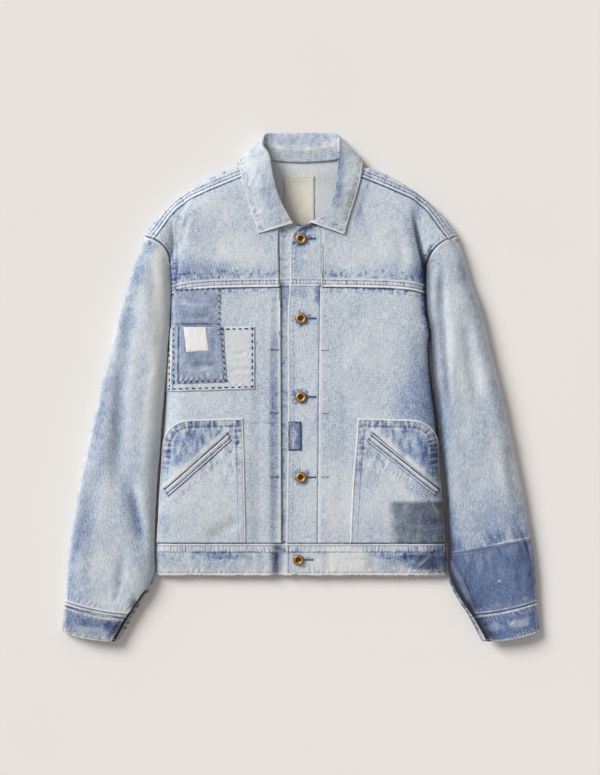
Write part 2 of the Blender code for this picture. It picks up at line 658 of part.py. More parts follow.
def waistband(name):
    """One strip all round the hem: its left end laps over its right end at the front."""
    grid = []
    for y in (HEM_Y, BAND_MIDDLE_Y, WAIST_SEAM_Y - GAP / 2):
        left, right = along(LEFT.body_edge, y), along(RIGHT.body_edge, y)
        low = waist_edge(y)
        over = BAND_LEFT_END + (left - BAND_LEFT_END) * np.array(BAND_TOP_SHARES)
        lapped = BAND_LAP_START + (right - BAND_LAP_START) * np.array(BAND_TOP_SHARES[::-1])
        over, lapped = ([(x, float(body_height((x, y)))) for x in run] for run in (over, lapped))
        under = []
        for share in (*BAND_UNDER_SHARES, *(1 - s for s in BAND_UNDER_SHARES[::-1])):
            x = left + (right - left) * share
            under.append((x, low * (1 - float(roll(min(left - x, x - right), UNDER_ROLL)))))
        lap = [(x, float(body_height((x, y))) - DOUBLED - 2 * GAP) for x in BAND_LAP]
        grid.append([(x, y, z) for x, z in (*over, *under, *lapped, *lap)])
    return cloth(name, [np.array(grid)], DOUBLED, DENIM)


# ---------------------------------------------------------------- sleeves and cuffs

def ring_plan(line, shares, start, end, ring):
    """One layer of a ring in plan: the armhole's line fades to a straight one down the sleeve."""
    keep = min(1, ring.bulge * BULGE_KEEP)
    natural = shares_of(line)
    at = (keep * natural + (1 - keep) * np.array(shares))[:, None]
    straight = line[0] + (line[-1] - line[0]) * natural[:, None]
    plan = start + (end - start) * at + (line - straight) * ring.bulge
    plan[:, 1] -= ring.sag * 4 * at[:, 0] * (1 - at[:, 0])
    return plan


def ring_points(ring, curves, at_armhole):
    """Outer points of one ring: under the sleeve from the vent to the outer edge, then over."""
    outer = np.array([along(curves.outer_edge, ring.outer_y), ring.outer_y])
    inner = np.array([along(curves.inner_edge, ring.inner_y), ring.inner_y])
    lip = (-curves.side * VENT_LIP * ring.vent, 0)
    over = ring_plan(curves.armhole_front, TOP_SHARES, outer, inner, ring)
    under = ring_plan(curves.armhole_back, UNDER_SHARES, inner + lip, outer, ring)
    if at_armhole:
        z_over = body_height(over)
    else:
        open_share = 1 - VENT_FLATNESS * ring.vent
        z_over = lofted(over, curves, curves.inner_edge, ring.top, CREASE_ROLL, open_share)
    z_under = np.maximum(
        under_height(under, curves.outer),
        under_height(under, curves.inner_edge) * (1 - min(1, ring.vent / VENT_OPEN)),
    )
    z_over[0] = z_under[-1] = EDGE_Z
    if ring.vent == 0:
        z_over[-1] = z_under[0] = EDGE_Z
    run = np.vstack([with_z(under, z_under), with_z(over, z_over)[1:]])
    return run if curves.side > 0 else run[::-1]


def between(a, b, share):
    return Ring(*(p + (q - p) * share for p, q in zip(a, b)))


def stepped(line, towards, by):
    """The ring moved along the tube, so that a seam keeps its gap."""
    way = towards - line
    return line + by * way / np.linalg.norm(way, axis=1, keepdims=True)


def tube(name, rings, curves, wall, finish, first_gap=GAP / 2, last_gap=GAP / 2):
    """A length of sleeve or a cuff; an extra ring close to each end keeps its seams true."""
    rings = list(rings)
    rings.insert(1, between(rings[0], rings[1], NEAR_SEAM))
    rings.insert(-1, between(rings[-1], rings[-2], NEAR_SEAM))
    lines = [ring_points(ring, curves, ring is SLEEVE_RINGS[0]) for ring in rings]
    lines[0] = stepped(lines[0], lines[1], first_gap)
    lines[-1] = stepped(lines[-1], lines[-2], last_gap)
    return cloth(name, [np.array(lines)], wall, finish)


# ---------------------------------------------------------------- collar

def collar_section(row, side):
    """Five points across the collar: outer edge, leaf, roll, stand and neck seam."""
    roll_xy, edge, neck = (
        np.array(point, float) * (side, 1)
        for point in ((row.roll_x, row.roll_y), (row.edge_x, row.edge_y), (row.neck_x, row.neck_y)))
    leaf = roll_xy + (edge - roll_xy) * LEAF_SHARE
    stand = roll_xy + (neck - roll_xy) * STAND_SHARE
    flat = DOUBLED + 2 * GAP
    lifts = (flat, max(row.lift - LEAF_SAG, DOUBLED + flat), row.lift - DOUBLED / 2 - 0.1,
             STAND_LIFT, NECK_LIFT)
    plan = (edge, leaf, roll_xy, stand, neck)
    return [(x, y, float(body_height((x, y))) + lift) for (x, y), lift in zip(plan, lifts)]


def collar(name):
    """Stand and leaf as one band, from the left front end round the neck to the right one."""
    sections = []
    for side, rows in ((1, COLLAR_FRONT_LEFT), (-1, COLLAR_FRONT_RIGHT)):
        run = [collar_section(row, side) for row in rows]
        run += [np.array(section, float) * (side, 1, 1) for section in COLLAR_BACK[:-1]]
        sections.append(run)
    band = sections[0] + [np.array(COLLAR_BACK[-1], float)] + sections[1][::-1]
    grid = np.array([smooth(points, 3) for points in band])
    grid[..., 2] = np.maximum(grid[..., 2], 0)
    return cloth(name, [grid[:, ::-1]], DOUBLED, DENIM)


# ---------------------------------------------------------------- laid-on pieces

def pocket_outline(curves, inner):
    """Inner edge, top edge, rounded outer corner and the side seam."""
    reach = along(curves.body_edge, POCKET_CORNER.y) * curves.side - POCKET_CORNER.x + 1
    rise = POCKET_TOP_Y - POCKET_CORNER.y
    line = list(inner)
    for angle in np.radians(range(90, -1, -15)):
        across, up = (f(angle) ** (2 / POCKET_SQUARENESS) for f in (math.cos, math.sin))
        line.append((POCKET_CORNER.x + reach * across, POCKET_CORNER.y + rise * up))
    line += [(POCKET_SIDE_X, 170), (POCKET_SIDE_X, inner[0].y)]
    return [(curves.side * x, y) for x, y in line]


def mirrored(outline, side):
    return [(side * p.x, p.y) for p in outline]


def button(mark):
    """A ring button: its profile turned round its own axis, tilted with the cloth under it."""
    low, high = (float(body_height((mark.x, mark.y + d))) for d in (-BUTTON_RADIUS, BUTTON_RADIUS))
    mesh = bpy.data.meshes.new(mark.name)
    bm = bmesh.new()
    verts = [bm.verts.new((p.x * MM, 0, p.y * MM)) for p in BUTTON_PROFILE]
    for a, b in zip(verts, verts[1:]):
        bm.edges.new((a, b))
    bm.to_mesh(mesh)
    bm.free()
    mesh.materials.append(BRASS_METAL)
    turned = bpy.data.objects.new(mark.name, mesh)
    turned.parent = root
    jacket.objects.link(turned)
    screw = turned.modifiers.new("Turn", "SCREW")
    screw.steps = screw.render_steps = BUTTON_SIDES
    screw.use_merge_vertices = True
    screw.merge_threshold = 1e-5
    drop = PLACKET_DROP if mark.y > WAIST_SEAM_Y else 0
    z = float(body_height((mark.x, mark.y))) - drop + BUTTON_SEAT
    turned.location = (mark.x * MM, mark.y * MM, z * MM)
    turned.rotation_euler = (math.atan2(high - low, 2 * BUTTON_RADIUS), 0, 0)
    return turned


# ---------------------------------------------------------------- build

yoke(LEFT, "yoke_left")
yoke(RIGHT, "yoke_right")
front(LEFT, "front_left")
front(RIGHT, "front_right")
(right_edge, right_wrap), (left_edge, left_wrap) = back_wrap(RIGHT), back_wrap(LEFT)
back_panel = back_main(right_edge, left_edge)
cloth("back", [back_panel, right_wrap, left_wrap], CLOTH, DENIM)
placket_panel = placket_grid()
cloth("placket", [placket_panel], DOUBLED, DENIM)
button_stand("button_stand")
waistband("waistband")
collar("collar")

light, dark = SLEEVE_RINGS[:LAST_LIGHT_RING + 1], SLEEVE_RINGS[LAST_LIGHT_RING:]
tube("sleeve_right", SLEEVE_RINGS, RIGHT, CLOTH, DENIM, first_gap=ARMHOLE_GAP)
tube("sleeve_left", light, LEFT, CLOTH, DENIM, first_gap=ARMHOLE_GAP)
tube("sleeve_left_end", dark, LEFT, CLOTH, DARK_DENIM)
tube("cuff_right", CUFF_RINGS, RIGHT, DOUBLED, DENIM, last_gap=0)
tube("cuff_left", CUFF_RINGS, LEFT, DOUBLED, DARK_DENIM, last_gap=0)

left_panel, right_panel = (outward(front_grid(c), c) for c in (LEFT, RIGHT))
pocket = {"level": LAYER, "wall": PATCH, "finish": DENIM, "low": 11}
laid_on("pocket_left", left_panel, pocket_outline(LEFT, POCKET_LEFT), **pocket)
laid_on("pocket_right", right_panel, pocket_outline(RIGHT, POCKET_RIGHT), **pocket)
welt = {"level": 2 * LAYER, "wall": PATCH, "finish": MID_DENIM}
laid_on("welt_left", left_panel, mirrored(WELT_LEFT, 1), **welt)
laid_on("welt_right", right_panel, mirrored(WELT_RIGHT, -1), **welt)
laid_on("patch_light", right_panel, PATCH_LIGHT, LAYER, PATCH, DENIM, low=20)
laid_on("patch_dark_upper", right_panel, PATCH_DARK_UPPER, LAYER, PATCH, MID_DENIM, low=20)
laid_on("patch_dark_lower", right_panel, PATCH_DARK_LOWER, 2 * LAYER, PATCH, MID_DENIM, low=20)
label_level = 2 * LAYER + GAP + LABEL
laid_on("chest_label", right_panel, CHEST_LABEL, label_level, LABEL, PALE_CLOTH)
laid_on("patch_darned", placket_panel, PATCH_DARNED, LAYER, PATCH, DARK_DENIM)
laid_on("neck_label", back_panel, NECK_LABEL, -(CLOTH + GAP), LABEL, PALE_CLOTH)
for mark in BUTTONS:
    button(mark)
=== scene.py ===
"""The dressed model of a patched denim work jacket that lies flat on its back, buttoned.

Tables and sizes are in millimetres from the middle of the hem, as a cutter's drawing has them: +X
is the wearer's left, +Y runs from the hem to the collar and +Z is up. `to_world` takes them to the
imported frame, in metres.
"""

import json
import logging
import math
from dataclasses import dataclass, field
from enum import Enum
from typing import Callable, NamedTuple, Sequence

import bpy
import numpy as np
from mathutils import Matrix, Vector
from mathutils.bvhtree import BVHTree

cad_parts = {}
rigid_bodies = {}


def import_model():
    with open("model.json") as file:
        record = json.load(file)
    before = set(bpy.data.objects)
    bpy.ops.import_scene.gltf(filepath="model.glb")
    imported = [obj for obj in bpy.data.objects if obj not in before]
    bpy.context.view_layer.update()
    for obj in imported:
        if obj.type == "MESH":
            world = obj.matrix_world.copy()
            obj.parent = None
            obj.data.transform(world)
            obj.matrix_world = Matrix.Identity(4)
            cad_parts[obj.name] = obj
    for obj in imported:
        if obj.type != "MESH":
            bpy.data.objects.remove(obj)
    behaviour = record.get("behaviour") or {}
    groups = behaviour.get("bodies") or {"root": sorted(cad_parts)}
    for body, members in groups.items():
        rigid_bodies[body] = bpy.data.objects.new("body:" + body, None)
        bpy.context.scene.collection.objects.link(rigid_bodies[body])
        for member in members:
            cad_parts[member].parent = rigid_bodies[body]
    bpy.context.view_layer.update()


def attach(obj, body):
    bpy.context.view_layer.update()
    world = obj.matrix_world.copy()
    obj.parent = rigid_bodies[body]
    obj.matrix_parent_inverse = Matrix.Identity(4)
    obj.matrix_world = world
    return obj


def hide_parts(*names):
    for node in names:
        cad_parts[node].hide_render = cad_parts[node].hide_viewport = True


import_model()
log = logging.getLogger("jacket")

Array = np.ndarray

MM = 0.001
CENTRE_X, CENTRE_Y = -0.5, 295.0
CLOTH, DOUBLED, STAND, PATCH, LABEL = 1.3, 2.2, 1.5, 1.1, 0.8
GAP = 0.3
ARMHOLE_GAP = 0.3
RIM = 1.0
EDGE_Z = 9.0
PLEAT_DROP, PLACKET_DROP = 3.2, 0.7
UNDER_ROLL = 12.0
OUTLINE_ROLL, CREASE_ROLL, BODY_ROLL = 40.0, 26.0, 34.0
HEM_SINK, HEM_SINK_HEIGHT = 2.0, 20.0
VENT_LIP, VENT_FLATNESS, VENT_OPEN = 6.0, 0.55, 0.6
BULGE_KEEP = 1.2
LAYER = PATCH + GAP
HEM_Y, WAIST_SEAM_Y = 3.0, 53.0
ARMHOLE_FOOT_Y, FRONT_TOP_Y = 385.0, 449.0
DROP_FROM = 60.0


class Point(NamedTuple):
    """A place in plan."""

    x: float
    y: float


class Edge(NamedTuple):
    """A height along an edge and how far out it is on the wearer's left and right."""

    y: float
    left: float
    right: float


class Height(NamedTuple):
    """How high the cloth stands at a height along the body."""

    y: float
    top: float


class Ring(NamedTuple):
    """A ring round the sleeve."""

    outer_y: float
    inner_y: float
    top: float
    bulge: float
    sag: float
    vent: float


class Fold(NamedTuple):
    """A soft trough between two places."""

    x0: float
    y0: float
    x1: float
    y1: float
    depth: float
    width: float


class CollarRow(NamedTuple):
    """A section of the collar in front of the shoulder, in plan."""

    roll_x: float
    roll_y: float
    edge_x: float
    edge_y: float
    neck_x: float
    neck_y: float
    lift: float


SHOULDER = (
    Point(82, 639.5), Point(97, 635.5), Point(112, 632.5), Point(140, 620), Point(180, 595),
    Point(215, 565), Point(232, 545), Point(242, 529),
)
SHOULDER_SEAM = (
    Edge(626, 77, 77), Edge(608, 122, 120), Edge(596, 150, 148), Edge(581, 180, 178),
    Edge(562, 199, 199), Edge(544, 212, 212), Edge(532, 221, 221), Edge(524, 228, 228),
)
SLEEVE_OUTER = (
    Edge(529, 242, 242), Edge(500, 252, 253), Edge(460, 264, 267), Edge(420, 278, 280),
    Edge(340, 297, 299), Edge(260, 317, 318), Edge(180, 334, 337), Edge(100, 349, 351),
    Edge(50, 358, 360), Edge(0, 364, 365), Edge(-40, 366.5, 367), Edge(-84, 370, 371),
)
SLEEVE_INNER = (
    Edge(385, 201, 203), Edge(360, 202.5, 205.5), Edge(310, 205.5, 208.7), Edge(260, 211, 213.2),
    Edge(200, 216.5, 217.8), Edge(140, 221.5, 222.5), Edge(80, 226, 225.5), Edge(40, 227, 227),
    Edge(10, 227.5, 227), Edge(-15, 236, 236), Edge(-40, 251, 253), Edge(-58, 264, 264.5),
    Edge(-99, 287, 288),
)
BODY_SIDE = (
    Edge(385, 201, 203), Edge(350, 199, 204.5), Edge(300, 203, 208), Edge(235, 211, 212),
    Edge(180, 214, 216), Edge(100, 221, 221), Edge(54, 223.5, 223.5), Edge(3, 225, 224),
)
CREASE = (Edge(575, 180, 200), Edge(545, 180, 198), Edge(515, 188, 197), Edge(487, 195, 202))
ARMHOLE_FRONT = (
    Edge(529, 242, 242), Edge(526, 235, 235), Edge(524, 228, 228), Edge(515, 213, 215),
    Edge(503, 202, 206), Edge(487, 195.5, 203), Edge(462, 193.5, 201.5), Edge(438, 193.5, 201),
    Edge(412, 195, 202), Edge(394, 198.5, 202.7), Edge(385, 201, 203),
)
SHOULDER_STEP, CREASE_STEP, YOKE_STEP = 2, 5, 7
ARMHOLE_BACK = (
    Edge(385, 201, 203), Edge(398, 199, 201), Edge(430, 198, 199), Edge(468, 205, 206),
    Edge(505, 221, 222), Edge(523, 236, 236), Edge(529, 242, 242),
)
CREASE_FADE = (575.0, 500.0)
BODY_TOP = (
    Height(0, 14), Height(55, 19), Height(120, 24.5), Height(260, 28), Height(450, 28),
    Height(540, 27), Height(600, 25), Height(660, 21),
)
SLEEVE_RINGS = (
    Ring(529, 385, 27, 1.0, 0, 0), Ring(503, 366, 29, 0.72, 0, 0), Ring(468, 345, 31, 0.42, 0, 0),
    Ring(428, 320, 33, 0.18, 0, 0), Ring(382, 292, 34, 0.05, 0, 0), Ring(330, 256, 34, 0, 0, 0),
    Ring(276, 214, 33, 0, 0, 0), Ring(222, 170, 32, 0, 0, 0), Ring(166, 126, 30, 0, 0, 0),
    Ring(112, 80, 28, 0, 0, 0), Ring(60, 37, 26, 0, 0, 0), Ring(14, 6, 24, 0, 0, 0),
    Ring(-14, -28, 22, 0, 1, 0.6), Ring(-38, -58, 21, 0, 2, 0.9),
    Ring(-61, -79, 20.5, 0, 3, 1.0), Ring(-84, -99, 20, 0, 4, 1.1),
)
LAST_LIGHT_RING, CUFF_RING, LAST_RING = 10.0, 13.0, 15.0
TOP_SHARES = (0, 0.015, 0.05, 0.13, 0.26, 0.42, 0.6, 0.77, 0.9, 0.97, 1)
UNDER_SHARES = (0, 0.02, 0.1, 0.35, 0.7, 0.97, 1)
FOLDS = (
    Fold(-255, 440, -277, 300, 4, 13), Fold(-278, 290, -283, 150, 4, 14),
    Fold(-262, 150, -246, 50, 4, 13), Fold(-325, 145, -343, 30, 3, 12),
    Fold(213, 450, 216, 360, 3, 9), Fold(255, 400, 275, 265, 4, 14),
    Fold(335, 90, 354, 25, 3.5, 9), Fold(-140, 64, -100, 86, 2, 9),
    Fold(150, 530, 160, 480, 1.5, 14),
)
MIDDLE = (0, 470)
BACK_NECK = ((-52, 650), (-26, 647.5), (0, 646.5), (26, 647.5), (52, 650))
YOKE_SEAM = (
    Edge(449, 31, 31), Edge(448, 100, 100), Edge(446, 150, 150), Edge(442, 180, 183),
    Edge(438, 193.5, 201),
)
NECK_SEAM = (
    Edge(449, 33.5, 37.3), Edge(505, 33.5, 37.3), Edge(556, 33.5, 37.3), Edge(580, 56, 52),
    Edge(603, 68, 66), Edge(626, 77, 77),
)
PLEAT_EDGE = (Edge(53, 27.5, 31.5), Edge(250, 29, 32), Edge(449, 31, 33))
PLEAT_DEPTH = 14.0
PLACKET_EDGE = (
    Point(-23, 53), Point(-22, 100), Point(-20, 250), Point(-20, 410), Point(-17, 455),
    Point(-16, 520),
)
PLACKET_TOP = (
    Point(-16, 520), Point(-13.5, 530), Point(-7.5, 537), Point(1, 544), Point(12, 547.5),
    Point(33.2, 555.7),
)
PLACKET_RIGHT = 33.2
YOKE_BAND = (448.0, 458.0)
STAND_LEFT, STAND_RIGHT = -37.0, 17.0
STAND_TOP = (Point(-37, 556), Point(-12, 545.5), Point(0, 541), Point(17, 538))
BAND_LEFT_END, BAND_LAP_START, BAND_LAP_END = -23.5, -45.0, 17.0
COLLAR_FRONT_LEFT = (
    CollarRow(13, 548.5, 67, 529.5, 12.5, 548.5, 4.5),
    CollarRow(22, 552, 68.5, 534, 24, 552.5, 6.5),
    CollarRow(36, 560, 71.5, 546, 38, 559, 8), CollarRow(47, 577, 78, 567, 54, 578, 9),
    CollarRow(54, 603, 86.5, 595, 66.5, 601, 9.5), CollarRow(57, 640, 93.3, 622, 76, 626, 9),
)
COLLAR_FRONT_RIGHT = (
    CollarRow(12, 546.5, 66, 531, 12.5, 546, 4.5), CollarRow(17, 555, 67.5, 536, 24, 550, 6.5),
    CollarRow(26, 571, 71, 548, 38, 559, 8), CollarRow(35, 592, 77, 566, 51, 578, 9),
    CollarRow(43, 621, 86, 596, 64.5, 601, 9.5), CollarRow(49, 653, 92.7, 622, 76, 626, 9),
)
# Five lines round the back of the neck: outer edge, leaf, roll, stand and neck seam.
COLLAR_BACK = (
    ((96.5, 643.5, 12), (81, 659, 18), (58, 668, 25), (67, 657, 21), (77, 641, 17)),
    ((98.5, 643, 4.5), (78, 665, 11), (58, 678, 19.5), (65, 665, 16), (73, 648, 11)),
    ((92, 633, 0), (70, 674, 3), (54, 687, 11.5), (60, 669, 11), (64, 649, 7.2)),
    ((66, 630, 0), (52, 672, 0), (42, 689, 5.5), (44, 668, 9), (47, 646, 7)),
    ((30, 630, 0), (26, 670, 0), (21, 689, 4.7), (22, 668, 9), (23, 644, 7)),
    ((0, 630, 0), (0, 670, 0), (0, 689, 4.6), (0, 668, 9), (0, 643, 7)),
)
LEAF_RISE, LEAF_RISE_Y, LEAF_RISE_X = 2.9, (606.0, 627.0), (96.0, 118.0)
LEAF_SHARE, STAND_SHARE, LEAF_SAG = 0.42, 0.5, 0.8
STAND_LIFT, NECK_LIFT = 1.9, 0.9
POCKET_LEFT = (Point(75.5, 53.3), Point(80, 150), Point(84, 200), Point(87.5, 246))
POCKET_RIGHT = (Point(85, 53.3), Point(86.5, 130), Point(88, 200), Point(89.5, 246.5))
POCKET_CORNER, POCKET_TOP_Y, POCKET_SQUARENESS = Point(160, 190), 244.5, 2.6
# Corners run from the lower left one up and round to the lower right one.
WELT_LEFT = (Point(101, 211), Point(110, 225), Point(214, 137), Point(207, 126))
WELT_RIGHT = (Point(107, 212), Point(113, 226), Point(212, 138), Point(205, 125))
PATCH_LIGHT = (Point(-208, 287), Point(-208, 385), Point(-71, 388), Point(-71, 291))
PATCH_DARK_UPPER = (Point(-196, 387.4), Point(-196, 445), Point(-124, 447.3), Point(-125, 387.4))
PATCH_DARK_LOWER = (Point(-199, 299), Point(-197, 387.1), Point(-120, 387.1), Point(-114, 302))
CHEST_LABEL = (Point(-176, 348), Point(-180, 386.5), Point(-146, 386.5), Point(-142, 350))
PATCH_DARNED = (Point(-19.2, 197), Point(-19.2, 241), Point(0, 241), Point(1, 197))
NECK_LABEL = (Point(-26, 546), Point(-26, 622), Point(20, 622), Point(20, 546))
HOLE_MIDDLE, HOLE_HALF, HOLE_EYE = 16.5, 5.6, 11.4
BUTTONS = (Point(0, 523), Point(0, 400), Point(0, 279), Point(0, 155), Point(-4, 27))


# ---------------------------------------------------------------- plan curves and heights


def to_world(points: Array) -> Array:
    """Points of the cutter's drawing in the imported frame, in metres."""
    return (np.asarray(points, float) - (CENTRE_X, CENTRE_Y, 0)) * MM


def shares_of(line: Array) -> Array:
    """How far along a line each of its points is, from 0 to 1."""
    steps = np.linalg.norm(np.diff(line, axis=0), axis=1)
    reached = np.concatenate([[0], np.cumsum(steps)])
    return reached / reached[-1]


def smooth(points: Sequence, steps: int = 6) -> Array:
    """A dense centripetal Catmull-Rom path through the points.

    Args:
        points: the places that it passes through, each of any number of values.
        steps: how many points it has for each of them.

    Returns:
        The path, one row for each of its points.
    """
    p = np.asarray(points, float)
    p = np.vstack([2 * p[0] - p[1], p, 2 * p[-1] - p[-2]])
    knots = np.cumsum(np.maximum(np.sqrt(np.linalg.norm(np.diff(p, axis=0), axis=1)), 1e-6))
    knots = np.concatenate([[0], knots])
    out = []
    for i in range(1, len(p) - 2):
        k0, k1, k2, k3 = knots[i - 1:i + 3]
        t = np.linspace(k1, k2, steps, endpoint=False)[:, None]
        a, b, c, d = p[i - 1], p[i], p[i + 1], p[i + 2]
        ab = ((k1 - t) * a + (t - k0) * b) / (k1 - k0)
        bc = ((k2 - t) * b + (t - k1) * c) / (k2 - k1)
        cd = ((k3 - t) * c + (t - k2) * d) / (k3 - k2)
        abc = ((k2 - t) * ab + (t - k0) * bc) / (k2 - k0)
        bcd = ((k3 - t) * bc + (t - k1) * cd) / (k3 - k1)
        out.append(((k2 - t) * abc + (t - k1) * bcd) / (k2 - k1))
    return np.vstack([*out, p[-2:-1]])


def at_step(points: Sequence, where: Array) -> Array:
    """Values of the smooth path through the points at fractional positions in their list."""
    path = smooth(points, 8)
    spots = np.arange(len(path)) / 8
    return np.stack([np.interp(where, spots, path[:, k]) for k in range(path.shape[1])], -1)


def run(*points: Sequence[float]) -> Array:
    """A straight or bent line through plan points."""
    return np.array(points, float)


def spread(path: Array, shares: Array) -> Array:
    """Points of a path at these shares of its length."""
    reached = shares_of(path)
    return np.stack([np.interp(shares, reached, path[:, k]) for k in range(path.shape[1])], -1)


def side_points(rows: Sequence[Edge], side: int) -> Array:
    """Plan points of an Edge table on one side, where +1 is the wearer's left."""
    return np.array([(r.left if side > 0 else -r.right, r.y) for r in rows], float)


def along(path: Array, y: Array) -> Array:
    """How far across a path is at the heights y."""
    order = np.argsort(path[:, 1])
    return np.interp(y, path[order, 1], path[order, 0])


def roll(away: Array, width: float) -> Array:
    """0 at a folded edge and 1 from `width` inwards, upright where it starts."""
    t = np.clip(away / width, 0, 1)
    return np.sqrt(1 - (1 - t) ** 2)


def ease(value: Array, start: float, end: float) -> Array:
    """A soft step from 0 at `start` to 1 at `end`."""
    t = np.clip((value - start) / (end - start), 0, 1)
    return t * t * (3 - 2 * t)


def near(path: Array, xy: Array, reach: float = 60.0) -> tuple[Array, Array]:
    """Where plan points lie against a path.

    Args:
        path: the path, in plan.
        xy: the points.
        reach: points farther off than this aren't measured.

    Returns:
        How far each is to the path's left, and how far along the path, both in millimetres.
    """
    flat = xy.reshape(-1, 2)
    across = np.full(len(flat), 4 * reach)
    reached = np.zeros(len(flat))
    box = (flat > path.min(0) - reach) & (flat < path.max(0) + reach)
    inside = np.flatnonzero(box.all(1))
    start, step = path[:-1], np.diff(path, axis=0)
    length = np.maximum(np.linalg.norm(step, axis=1), 1e-6)
    before = np.concatenate([[0], np.cumsum(length)[:-1]])
    for block in np.array_split(inside, len(inside) // 20000 + 1):
        rel = flat[block, None] - start[None]
        t = np.clip((rel * step).sum(-1) / length ** 2, 0, 1)
        off = rel - t[..., None] * step
        gap = np.hypot(off[..., 0], off[..., 1])
        best = gap.argmin(1)
        pick = np.arange(len(block)), best
        turn = step[best, 0] * rel[pick][:, 1] - step[best, 1] * rel[pick][:, 0]
        across[block] = gap[pick] * np.where(turn < 0, -1, 1)
        reached[block] = before[best] + t[pick] * length[best]
    return across.reshape(xy.shape[:-1]), reached.reshape(xy.shape[:-1])


def distance(path: Array, xy: Array) -> Array:
    """Plan distance from each point to a path, for points up to 60 mm off."""
    return np.abs(near(path, np.asarray(xy, float))[0])


class Side:
    """The plan curves of one half of the jacket."""

    def __init__(self, side: int) -> None:
        """Args: side, +1 for the wearer's left."""
        self.side = side
        self.shoulder = smooth([(side * p.x, p.y) for p in SHOULDER])
        self.outer_edge = smooth(side_points(SLEEVE_OUTER, side))
        self.outer = np.vstack([self.shoulder, self.outer_edge])
        self.inner_edge = smooth(side_points(SLEEVE_INNER, side))
        self.body_edge = smooth(side_points(BODY_SIDE, side))
        self.armhole = side_points(ARMHOLE_FRONT, side)
        self.armhole_back = side_points(ARMHOLE_BACK, side)
        self.crease = np.vstack([
            smooth(side_points(CREASE, side)), self.armhole_path(CREASE_STEP, 10, 40)[1:]])
        self.shoulder_seam = smooth(side_points(SHOULDER_SEAM, side))
        self.yoke_seam = smooth(side_points(YOKE_SEAM, side))
        self.pleat = smooth(side_points(PLEAT_EDGE, side))

    def armhole_path(self, first: float, last: float, count: int) -> Array:
        """The armhole between two of its stations, as `count` points."""
        return at_step(self.armhole, np.linspace(first, last, count))

    def place(self, outline: Sequence[Point]) -> Array:
        """Points given for the wearer's left, on this side."""
        return np.array([(self.side * p[0], p[1]) for p in outline], float)


LEFT, RIGHT = Side(1), Side(-1)


def folds(xy: Array) -> Array:
    """How much the named folds lower the cloth at each point."""
    drop = np.zeros(xy.shape[:-1])
    for f in FOLDS:
        way = np.array([f.x1 - f.x0, f.y1 - f.y0], float)
        rel = xy - np.array([f.x0, f.y0])
        t = (rel @ way) / (way @ way)
        off = np.abs(rel @ np.array([-way[1], way[0]])) / np.linalg.norm(way)
        ends = np.clip(1 - (np.clip(np.abs(t - 0.5) - 0.35, 0, None) / 0.3) ** 2, 0, 1)
        drop += f.depth * ends * np.exp(-(off / f.width) ** 2)
    return drop


def lofted(xy: Array, curves: Side, edge: Array, top: Array, edge_roll: float,
           open_share: Array = 1.0) -> Array:
    """Height of the upper cloth, which rolls up from the outline and from the armhole's crease.

    Args:
        xy: the plan points.
        curves: the half of the jacket.
        edge: the inner edge below the crease.
        top: the full height at each point.
        edge_roll: how far in from that edge the cloth has risen.
        open_share: 1 for a full crease, less where it is flattened out.

    Returns:
        The outer height at each point.
    """
    outline = roll(distance(curves.outer, xy), OUTLINE_ROLL)
    crease = roll(distance(np.vstack([curves.crease, edge]), xy), edge_roll)
    depth = ease(xy[..., 1], *CREASE_FADE) * open_share
    return EDGE_Z + (top - EDGE_Z - folds(xy)) * outline * (1 - depth * (1 - crease))


def waist_edge(y: Array) -> Array:
    """Height of the folded side edge, which sinks towards the hem."""
    return EDGE_Z - HEM_SINK * (1 - ease(y, HEM_Y, WAIST_SEAM_Y))


def body_height(xy: Array) -> Array:
    """Outer height of the fronts and yokes."""
    xy = np.asarray(xy, float)
    top = np.interp(xy[..., 1], *smooth([(r.y, r.top) for r in BODY_TOP]).T)
    z = np.empty(xy.shape[:-1])
    for curves, half in ((LEFT, xy[..., 0] > 0), (RIGHT, xy[..., 0] <= 0)):
        if half.any():
            z[half] = lofted(xy[half], curves, curves.body_edge, top[half], BODY_ROLL)
    return z + (waist_edge(xy[..., 1]) - EDGE_Z) * (1 - (z - EDGE_Z) / HEM_SINK_HEIGHT)


def under_height(xy: Array, path: Array) -> Array:
    """Outer height of the cloth that lies on the surface, rolling up at its edges."""
    return EDGE_Z * (1 - roll(distance(path, xy), UNDER_ROLL))


def with_z(xy: Array, z: Array) -> Array:
    """Plan points with their heights."""
    return np.concatenate([xy, np.asarray(z)[..., None]], -1)


def coons(bottom: Array, top: Array, left: Array, right: Array) -> Array:
    """A grid of plan points between four edges, with rows from the bottom to the top."""
    u = ((shares_of(bottom) + shares_of(top)) / 2)[None, :, None]
    v = ((shares_of(left) + shares_of(right)) / 2)[:, None, None]
    ruled = (1 - v) * bottom[None] + v * top[None] + (1 - u) * left[:, None] + u * right[:, None]
    low_corners = (1 - v) * ((1 - u) * bottom[0] + u * bottom[-1])
    return ruled - low_corners - v * ((1 - u) * top[0] + u * top[-1])


def pulled(line: Array, away: Sequence[float]) -> Array:
    """The line moved a little towards another point, so that a seam keeps its gap."""
    way = np.asarray(away, float) - line
    return line + ARMHOLE_GAP * way / np.linalg.norm(way, axis=-1, keepdims=True)


